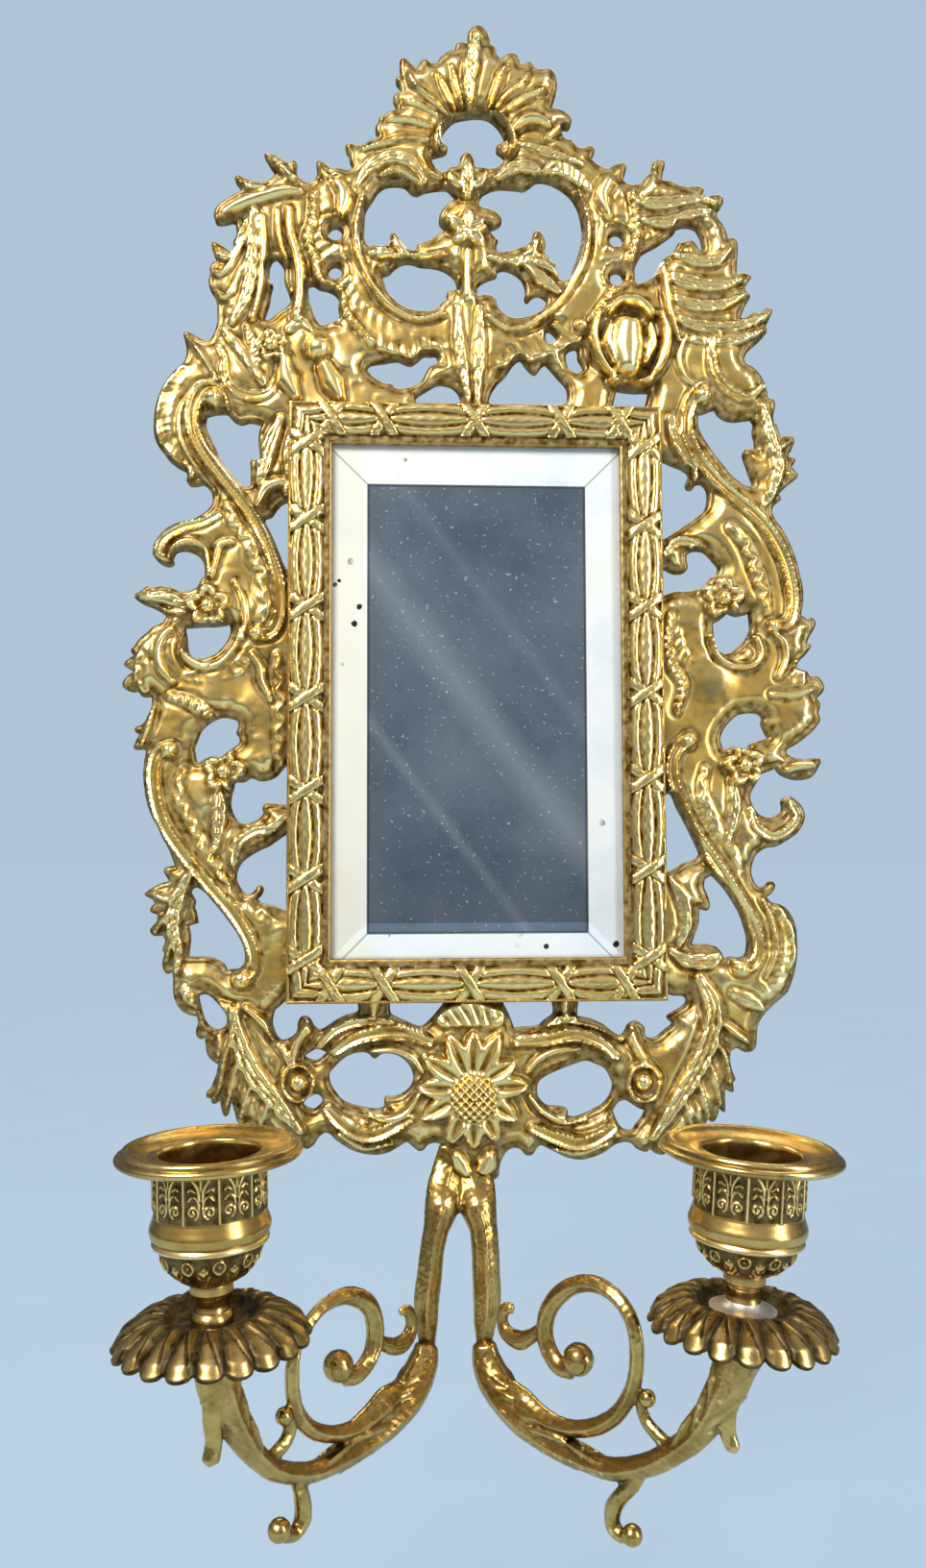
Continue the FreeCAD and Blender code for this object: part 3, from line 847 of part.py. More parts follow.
def bolt_nut():
    spots = []
    for i in range(7):
        angle = math.pi / 3 * i
        spots.append(V(boss_x + nut_r * math.cos(angle), -button_gap, boss_z + nut_r * math.sin(angle)))
    body = Part.Face(Part.makePolygon(spots)).extrude(V(0, -nut_t, 0))
    return body.cut(rod(boss_x, boss_z, bolt_r, 0, tongue_front))


def arm_yoke():
    half = tongue_w / 2
    top = boss_z + tongue_top
    tongue = block(boss_x - half, boss_x + half, shoulder_z - 2 * half, top - half, washer_front,
                   tongue_front)
    tongue = tongue.fuse(rod(boss_x, top - half, half, washer_front, tongue_front))
    tongue = tongue.cut(rod(boss_x, boss_z, bolt_r + bolt_clear, 0, 2 * tongue_front))
    rise = (shoulder_z - joint_z) / drawn_yoke_rise
    across = [joint_x[hand] - drawn_stem_x[hand] for hand in ("left", "right")]
    apart = drawn_stem_x["right"] - drawn_stem_x["left"]

    def front_spot(x, z):
        share = min(max((x - drawn_stem_x["left"]) / apart, 0.0), 1.0)
        return V(x + across[0] + share * (across[1] - across[0]), 0, joint_z + z * rise)

    left = [front_spot(*p) for p in YOKE_FRONT if p != K]
    notch = [front_spot(*p) for p in YOKE_NOTCH]
    right = [front_spot(*p) for p in YOKE_RIGHT]
    edges = [spline(left), Part.makeLine(left[-1], right[-1]), spline(right),
             Part.makeLine(right[0], notch[-1]), spline(notch), Part.makeLine(notch[0], left[0])]
    front = Part.Face(Part.Wire(edges)).extrude(V(0, 2 * joint_y, 0))
    ahead = joint_y / drawn_joint_y

    def side_spot(y, z):
        return V(-2 * frame_width, -washer_front + y * ahead, joint_z + z * rise)

    back = [side_spot(*p) for p in YOKE_SIDE_BACK]
    fore = [side_spot(*p) for p in YOKE_SIDE_FRONT]
    top_back = V(back[0].x, -washer_front, shoulder_z - button_gap)
    top_fore = V(back[0].x, -tongue_front, shoulder_z - button_gap)
    edges = [Part.makeLine(top_fore, top_back), Part.makeLine(top_back, back[0]), spline(back),
             Part.makeLine(back[-1], fore[0]), spline(fore), Part.makeLine(fore[-1], top_fore)]
    side = Part.Face(Part.Wire(edges)).extrude(V(4 * frame_width, 0, 0))
    return front.common(side).fuse(tongue)


# ---- arms ----------------------------------------------------------------------------
def seat_placement(hand):
    """Where a candle's own upright stands: its foot at the seat, its axis at its lean."""
    turn = FreeCAD.Rotation(V(0, 1, 0), lean[hand])
    spot = V(seat_x[hand], seat_y, sight_bottom - seat_drop[hand])
    return FreeCAD.Placement(spot, turn)


def arm_axes(hand):
    joint = V(joint_x[hand], joint_y, joint_z)
    seat = seat_placement(hand).Base
    out = V(seat.x - joint.x, seat.y - joint.y, 0)
    reach = out.Length
    out.normalize()
    side = V(-out.y, out.x, 0)
    return joint, out, side, reach / drawn_reach[hand], (seat.z - joint.z) / drawn_rise[hand]


def limb(rows, hand):
    """A limb with elliptic sections, lofted square to the line of its rows."""
    joint, out, side, along_scale, up_scale = arm_axes(hand)
    places = [joint + out * (s * along_scale) + V(0, 0, h * up_scale) for s, h, w in rows]
    line = Part.BSplineCurve()
    line.interpolate(places)
    knots = [line.parameter(p) for p in places]
    sections = []
    for place, knot, row in zip(places, knots, rows):
        along = line.tangent(knot)[0]
        if row is rows[0] and row[0] == 0.0:
            along = V(0, 0, -1)
        across = along.cross(side)
        across.normalize()
        ring = []
        for i in range(8):
            angle = math.pi / 4 * i
            ring.append(place + across * (row[2] * math.cos(angle))
                        + side * (row[2] * arm_thickness * math.sin(angle)))
        sections.append(Part.Wire([spline(ring, True)]))
    return Part.makeLoft(sections, True, False)


def candle_arm(hand):
    shape = ARM[hand]
    main = shape["main"]
    body = limb(main, hand)
    joint, out, side, along_scale, up_scale = arm_axes(hand)
    end = shape["main"][-1]
    cap_h = (drawn_rise[hand] - end[1]) * up_scale + cap_sink
    cap = Part.makeCylinder(end[2] + boss_blend, cap_h, V(0, 0, -cap_h))
    cap.Placement = seat_placement(hand)
    others = [limb(shape[name], hand) for name in ("scroll", "link", "curl", "tendril", "droop")]
    for s, h, r in shape["beads"]:
        others.append(Part.makeSphere(r, joint + out * (s * along_scale) + V(0, 0, h * up_scale)))
    body = body.fuse([cap] + others)
    hole = Part.makeCylinder(stud_r, stud_spigot, V(0, 0, -stud_spigot))
    hole.Placement = seat_placement(hand)
    return body.cut(hole)


# ---- what stands on an arm, in the upright's own frame --------------------------------
def foot_base(hand):
    return run_gap + pan_t + run_gap


def cup_base(hand):
    return foot_base(hand) + foot_h[hand] + run_gap


def mouth_height(hand):
    return cup_base(hand) + neck_h + collar_h + bowl_h[hand] + ring_h + cup_h


def cup_stud():
    return Part.makeCylinder(stud_r, stud_spigot + stud_top, V(0, 0, -stud_spigot))


def drip_pan(hand):
    """A dished plate with a crest round its well and petals that fall to its edge."""
    r = pan_r[hand]
    hole = stud_r + 2 * stud_clear
    low = run_gap
    t = pan_t
    well = foot_r["right"] + well_play
    shoulder = (pan_crest_r + r) / 2
    upper = [(well, low + t), (pan_crest_r, low + t + pan_crest), (shoulder, low + t + pan_shoulder),
             (r * brim_share, low + t - pan_droop * brim_droop), (r + MARGIN, low + t - pan_droop)]
    lower = [(a, h - t) for a, h in reversed(upper)]
    items = [(hole, low), K, (hole, low + t), K] + upper[:1] + [K] + upper[1:] + [K] + lower[:-1]
    items += [lower[-1], K]
    dish = turned(items)
    spots = []
    notch = r - pan_lobe_rise
    for i in range(2 * pan_lobes + 1):
        angle = math.pi * i / pan_lobes
        size = notch if i % 2 == 0 else r
        spots.append(V(size * math.cos(angle), size * math.sin(angle), -2 * pan_droop))
    edges = []
    for i in range(pan_lobes):
        edges.append(Part.Arc(spots[2 * i], spots[2 * i + 1], spots[2 * i + 2]).toShape())
    prism = Part.Face(Part.Wire(edges)).extrude(V(0, 0, 4 * pan_droop))
    return dish.common(prism)


def pan_washer(hand):
    """The spreading foot that clamps the pan."""
    base = foot_base(hand)
    r = foot_r[hand]
    hole = stud_r + stud_clear
    items = [(hole, base), K, (r, base), K, (r, base + foot_edge), K,
             (neck_r + foot_edge, base + foot_h[hand] * foot_flare),
             (neck_r, base + foot_h[hand]), K, (hole, base + foot_h[hand]), K]
    return turned(items)


def candle_cup(hand):
    """Neck, collar, leafed bowl, ring and cylinder, hollow for the nozzle's sleeve."""
    z0 = cup_base(hand)
    z1 = z0 + neck_h
    z2 = z1 + collar_h
    z3 = z2 + bowl_h[hand]
    z4 = z3 + ring_h
    z5 = z4 + cup_h
    bore = candle_r + sleeve_t + sleeve_play
    wall = bore + cup_t
    hole = stud_r + stud_clear
    floor = z3 + sleeve_t
    e = turned_edge
    neck = [(hole, z0), K, (neck_r, z0), K, (neck_r, z1 - 2 * e), (collar_r - e, z1), K,
            (collar_r, z1 + e), (collar_r, z2 - e), K, (collar_r + e, z2), K]
    bowl = [(bowl_r * share, z2 + bowl_h[hand] * height) for share, height in bowl_turns]
    lip = [(ring_r - 3 * e, z3 + e), (ring_r - 2 * e, z3 + ring_h * lip_share), K]
    ring = [(ring_r - drop, z3 + ring_h * height) for drop, height in ring_turns]
    items = neck + bowl + [(bowl_r, z3), K] + lip + ring[:1] + [K] + ring[1:]
    items += [(wall, z4), K, (wall, z5), K, (bore, z5), K, (bore, floor), K, (hole, floor), K]
    return turned(items).fuse(cup_plug(hand))


def cup_plug(hand):
    """Closes the stud's hole above the stud's end."""
    top = cup_base(hand) + neck_h + collar_h + bowl_h[hand] + sleeve_t
    low = stud_top + run_gap
    return Part.makeCylinder(stud_r + stud_clear, top - low, V(0, 0, low))


def nozzle(hand):
    """A flanged rim with a sleeve that drops into the cup and holds the candle."""
    m = mouth_height(hand) + run_gap
    bottom = m - sleeve_len
    out = candle_r + sleeve_t
    rim = nozzle_rim_r
    h = nozzle_rim_h
    lower = [(rim - drop, m + h * height) for drop, height in rim_lower]
    upper = [(rim - drop, m + h * height) for drop, height in rim_upper]
    dish = [(candle_r + rise, m + h * height) for rise, height in rim_dish]
    items = [(candle_r, bottom), K, (out, bottom), K, (out, m), K] + lower + [K] + upper + dish + [K]
    return turned(items)


def placed(solid, hand):
    done = solid.copy()
    done.Placement = seat_placement(hand)
    return done


# ---- write the pieces ----------------------------------------------------------------
def save(shape, node):
    shape.exportStep(os.path.join("parts", node + ".step"))


os.makedirs("parts", exist_ok=True)
save(frame_casting(), "frame_casting")
save(mirror_plate(), "mirror_plate")
save(sheet(board_back + board_t, board_back + board_t + packing_t), "mirror_packing")
save(sheet(board_back, board_back + board_t), "backboard")
for number, (px, pz, pside) in enumerate(button_pivots(), 1):
    save(turn_button(px, pz, pside), "turn_button_%d" % number)
save(button_screws(), "button_screws")
save(seed_head_bolt(), "seed_head_bolt")
save(bolt_washer(), "bolt_washer")
save(bolt_nut(), "bolt_nut")
save(arm_yoke(), "arm_yoke")
for hand in ("left", "right"):
    save(candle_arm(hand), hand + "_arm")
    save(placed(cup_stud(), hand), hand + "_cup_stud")
    save(placed(drip_pan(hand), hand), hand + "_drip_pan")
    save(placed(pan_washer(hand), hand), hand + "_pan_washer")
    save(placed(candle_cup(hand), hand), hand + "_candle_cup")
    save(placed(nozzle(hand), hand), hand + "_nozzle")
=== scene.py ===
import bpy
import bmesh
import math
import numpy as np
from mathutils import Matrix, Vector, kdtree
from mathutils.geometry import delaunay_2d_cdt

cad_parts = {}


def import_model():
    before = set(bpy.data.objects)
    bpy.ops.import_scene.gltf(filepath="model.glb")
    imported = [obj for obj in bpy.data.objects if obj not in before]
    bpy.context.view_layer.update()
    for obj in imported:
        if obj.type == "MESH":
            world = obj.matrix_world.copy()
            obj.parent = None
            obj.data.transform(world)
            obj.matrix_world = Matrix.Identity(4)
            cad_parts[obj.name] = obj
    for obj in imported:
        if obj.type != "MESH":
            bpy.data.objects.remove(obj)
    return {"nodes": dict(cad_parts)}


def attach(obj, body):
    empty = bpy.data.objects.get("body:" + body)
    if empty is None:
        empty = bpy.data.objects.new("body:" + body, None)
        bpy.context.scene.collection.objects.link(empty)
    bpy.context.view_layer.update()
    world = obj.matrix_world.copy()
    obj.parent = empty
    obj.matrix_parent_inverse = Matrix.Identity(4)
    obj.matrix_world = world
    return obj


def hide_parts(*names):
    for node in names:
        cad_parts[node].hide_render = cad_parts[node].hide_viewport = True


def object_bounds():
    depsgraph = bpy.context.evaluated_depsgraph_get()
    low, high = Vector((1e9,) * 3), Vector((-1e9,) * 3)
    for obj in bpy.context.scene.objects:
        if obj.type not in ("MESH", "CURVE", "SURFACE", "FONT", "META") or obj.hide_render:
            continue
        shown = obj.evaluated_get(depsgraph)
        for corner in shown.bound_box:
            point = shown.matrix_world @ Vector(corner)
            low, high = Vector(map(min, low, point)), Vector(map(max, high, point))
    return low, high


# Girandole mirror: pierced rocaille frame in gilt brass, bevelled glass, two candle arms.
# Sizes are millimetres until a mesh is made; +X right, +Y into the wall, +Z up.

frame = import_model()
CAD_LO, CAD_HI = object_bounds()
MM = 0.001

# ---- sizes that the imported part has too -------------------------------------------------
SIGHT_X, SIGHT_Z = (-41.9, 40.5), (-204.9, -59.2)
MOULDING_W, MOULDING_FRONT = 12.3, 11.4
GLASS_FRONT, GLASS_LAP, RECESS_OUT, RECESS_DEPTH = 8.0, 3.3, 10.6, 1.8
EDGE = 1.9                       # the plate's rounded edge lies this far before the wall
WALL_HOLES = [(x, z) for x in (-41.5, 41.5) for z in (-5.8, 5.8)]
WALL_HOLE_R = 2.0
BOSS = (-2.0, -244.1)
SEED_R = 6.6
SEAT = {"left": (-64.0, -72.0, -279.4), "right": (54.8, -72.0, -279.9)}
LEAN = {"left": -1.4, "right": 4.0}
STEP = 0.42                      # grid of the relief

# ---- the photograph's view ----------------------------------------------------------------
FOCAL, MID_U, MID_V, DIST, TIP, TURN = 1250.0, 482.0, 816.0, 347.0, 3.1, 3.0
SHIFT_X, SHIFT_Z = 4.4, 155.65
PHOTO_H = 1632


def view_axes():
    t, p = math.radians(TIP), math.radians(TURN)
    right = np.array([math.cos(p), 0.0, math.sin(p)])
    up = np.array([0.0, -math.cos(t), math.sin(t)])
    up = up - right * right.dot(up)
    up /= np.linalg.norm(up)
    return right, np.cross(up, right), up


AX_R, AX_IN, AX_UP = view_axes()
if AX_IN[2] < 0:
    AX_IN = -AX_IN
EYE = np.array([0.0, 0.0, DIST])


def seen(points, depth):
    """Places (x, z) in mm on the plane depth mm before the wall, of points of the front view."""
    q = np.asarray(points, float).reshape(-1, 2)
    ray = np.stack([(q[:, 0] - MID_U) / FOCAL, (q[:, 1] - MID_V) / FOCAL, np.ones(len(q))], 1)
    reach = (AX_IN @ EYE - depth) / (ray @ AX_IN)
    hit = ray * reach[:, None] - EYE
    return np.stack([hit @ AX_R - SHIFT_X, hit @ AX_UP - SHIFT_Z], 1)


def smooth_line(points, step=0.5, closed=False):
    """A curve through the points, resampled at about step."""
    p = np.asarray(points, float)
    if len(p) < 3 and not closed:
        n = max(2, int(np.linalg.norm(p[-1] - p[0]) / step) + 1)
        return p[0] + (p[-1] - p[0]) * np.linspace(0, 1, n)[:, None]
    if closed:
        q = np.vstack([p[-1], p, p[0], p[1]])
    else:
        q = np.vstack([2 * p[0] - p[1], p, 2 * p[-1] - p[-2]])
    out = []
    for i in range(1, len(q) - 2):
        a, b, c, d = q[i - 1], q[i], q[i + 1], q[i + 2]
        n = max(2, int(np.linalg.norm(c - b) / step) + 1)
        t = np.linspace(0, 1, n, endpoint=False)[:, None]
        out.append(0.5 * (2 * b + (c - a) * t + (2 * a - 5 * b + 4 * c - d) * t ** 2
                          + (3 * b - a - 3 * c + d) * t ** 3))
    if not closed:
        out.append(p[-1:])
    return np.vstack(out)


K = "corner"
OUTER = [
 (487,45),K,(487,36),(491,29),(497,26),(504,29),(509,37),(511,47),K,(515,48),(517,55),(521,61),K,
 (525,58),(530,55),(537,56),(540,60),(542,67),K,(546,66),(550,64),(555,66),(558,71),K,(564,72),
 (570,71),(576,74),(579,80),(580,90),(578,100),(574,112),K,(580,113),(588,116),(594,121),(595,127),
 (592,133),(586,133),(585,138),(589,144),(596,146),(601,152),(606,154),(614,151),(618,153),(619,158),
 (616,165),K,(620,169),(626,173),(633,175),(641,171),(649,169),(652,174),(651,180),(649,187),K,
 (654,191),(660,192),(667,190),(673,184),(677,178),(680,169),(687,166),(691,167),(692,173),(690,180),
 (689,187),K,(694,188),(702,189),(708,193),(719,194),(729,194),(733,198),(730,202),K,(734,205),
 (742,203),(750,203),(753,208),(751,215),(745,220),K,(748,227),(754,236),(758,248),K,(763,247),
 (767,251),(768,261),(767,277),(767,284),K,(775,284),(782,287),(780,292),(775,299),K,(778,304),
 (781,307),(780,311),(775,320),(771,330),K,(778,329),(786,323),K,(790,326),(797,321),(801,320),
 (804,324),(801,332),(797,340),K,(798,346),(791,354),(780,364),(775,372),(776,377),(783,381),
 (790,388),(795,397),(798,405),(799,413),K,(802,414),(806,417),(807,423),(805,433),(806,440),K,
 (808,441),(810,447),(813,455),K,(822,453),(827,458),(824,468),(820,474),K,(827,477),(828,480),
 (824,486),K,(831,494),(829,498),(819,506),(811,514),K,(813,520),(806,526),(804,533),(808,542),
 (814,550),(822,565),(829,583),(833,599),(836,613),(836,627),(834,640),K,(840,644),(845,643),
 (849,647),(848,653),(842,664),(840,670),K,(845,672),(838,682),(832,688),(829,695),K,(834,697),
 (840,699),(843,704),K,(849,703),(855,708),(858,715),(856,721),(850,727),K,(854,733),(852,742),K,
 (854,749),(851,755),(843,764),(830,774),(820,780),(819,784),(825,788),(835,790),(845,789),(854,790),
 (855,793),(849,804),(843,810),(832,812),(821,810),(813,806),(808,800),K,(800,803),(791,807),
 (789,813),(784,821),(781,829),(783,837),(788,845),(795,850),(805,850),(813,846),(815,841),(814,834),
 (819,829),(825,830),(833,837),(837,844),(838,851),(835,860),(829,868),(819,875),(808,881),(797,883),
 (788,889),(784,897),(782,907),(785,917),(790,923),(797,922),(801,918),(805,918),(807,923),(804,929),
 (798,934),K,(803,939),(811,941),(819,946),(826,957),(829,968),(830,980),(830,995),(828,1008),
 (825,1020),(820,1032),(813,1039),(804,1047),(794,1058),(789,1068),(788,1079),(787,1089),(783,1094),
 (775,1095),(767,1091),(761,1094),K,(760,1103),(762,1113),(764,1119),K,(766,1123),(763,1127),K,
 (764,1135),(762,1137),(755,1134),K,(755,1145),(755,1156),(753,1158),(749,1152),K,(747,1162),
 (742,1168),(737,1165),K,(733,1172),(726,1176),(721,1172),K,(715,1182),(706,1190),(699,1194),K,
 (694,1200),(689,1202),(684,1201),(680,1199),(677,1196),K,(673,1199),(668,1198),(662,1195),
 (658,1191),(655,1189),(648,1189),(641,1191),(634,1196),(626,1201),(615,1205),(605,1207),(591,1205),
 (580,1200),(570,1195),(563,1192),(559,1195),(555,1201),(550,1203),(546,1201),(541,1196),(534,1195),
 (527,1199),(522,1208),(520,1217),(519,1224),(514,1228),(508,1227),(500,1222),(494,1220),(487,1226),
 (479,1227),(471,1224),(468,1213),(466,1203),(463,1195),(456,1190),(450,1190),(445,1192),(441,1197),
 (436,1198),(429,1193),(423,1189),(413,1195),(403,1200),(392,1202),(379,1201),(366,1197),(356,1191),
 (349,1186),(344,1181),(339,1179),(335,1181),(331,1185),(328,1190),(324,1194),(320,1196),(316,1195),
 (308,1191),(300,1186),K,(292,1187),(284,1181),(279,1175),K,(272,1177),(264,1175),(258,1169),K,
 (252,1171),(247,1168),(245,1161),(241,1146),K,(238,1158),(236,1163),(232,1160),(230,1152),
 (229,1146),K,(224,1149),(220,1148),(220,1144),K,(215,1142),(215,1137),(219,1133),K,(222,1126),
 (225,1118),(227,1108),K,(221,1104),(216,1098),(214,1089),(213,1080),K,(210,1082),(205,1079),
 (204,1073),(206,1064),(205,1058),K,(196,1056),(188,1051),(182,1041),(180,1030),(180,1018),
 (179,1012),K,(174,1014),(170,1009),(169,1001),(171,993),K,(169,988),(172,979),(169,974),K,
 (160,974),(156,968),(163,959),K,(164,952),K,(158,950),(156,946),(161,940),K,(158,936),(150,931),
 (157,925),(166,920),(176,917),K,(173,912),(170,906),(174,902),(182,901),K,(176,885),(169,872),
 (163,859),(157,848),(152,832),(150,819),(149,806),(150,793),(152,782),K,(149,780),(141,780),
 (139,777),(145,764),K,(141,762),(141,757),(149,753),(155,742),(158,734),(158,725),K,(148,725),
 (144,719),K,(137,720),(130,717),(127,712),(132,704),(139,699),K,(134,696),(129,692),(131,688),
 (139,682),K,(136,677),(140,672),(144,666),(152,659),(160,652),(169,648),(173,641),K,(166,636),
 (158,632),(150,629),(141,623),(140,619),(148,614),(153,610),(161,611),(171,610),(180,612),(187,615),
 (196,615),(205,611),(208,605),(213,599),K,(213,591),(211,584),(206,578),(198,574),(190,573),
 (183,575),(180,581),(181,586),(177,589),(170,588),(163,583),(159,576),(160,567),(165,558),(173,550),
 (182,545),(192,542),(201,540),(209,536),(217,530),(221,523),(221,515),(217,508),(212,504),(205,505),
 (198,505),(194,500),(195,495),(193,490),K,(185,486),(176,479),(170,471),(163,461),(160,449),
 (160,436),(162,422),(166,409),(173,396),(181,386),(190,378),(194,370),(194,362),(192,353),(190,346),K,
 (195,345),(202,348),(211,353),(218,354),(223,346),(226,336),(226,327),(226,317),(223,308),(218,300),K,
 (217,292),(219,285),(218,279),(221,274),(226,271),K,(222,263),(220,254),(223,251),(232,256),
 (240,262),K,(243,260),(243,251),(246,245),(246,238),(245,232),(242,230),K,(234,232),(226,232),
 (223,227),(223,220),(227,213),(235,207),(245,201),(252,198),K,(248,192),(244,186),(247,182),
 (251,183),(259,187),(269,189),(280,187),(288,180),K,(283,175),(278,167),(275,161),(280,159),
 (287,162),(295,167),(300,170),K,(303,168),(306,166),(309,169),(309,175),(311,183),(317,189),
 (324,189),(329,185),(330,178),(329,171),(332,167),(340,171),(344,175),K,(354,175),(362,177),
 (367,174),K,(364,167),(364,162),K,(360,156),(360,151),(365,149),(370,151),K,(377,150),(383,147),
 (388,145),(394,142),K,(391,137),(391,132),(394,127),(395,122),(401,119),(406,115),(413,114),K,
 (412,110),(409,103),(411,98),(417,95),K,(416,90),(412,85),(413,81),(417,79),K,(416,72),(416,65),
 (418,61),(423,61),(429,67),(434,71),K,(436,67),(440,62),(445,62),(450,66),(455,65),K,(459,59),
 (463,56),(469,52),(473,53),K,(475,46),(480,44),(487,45),
]
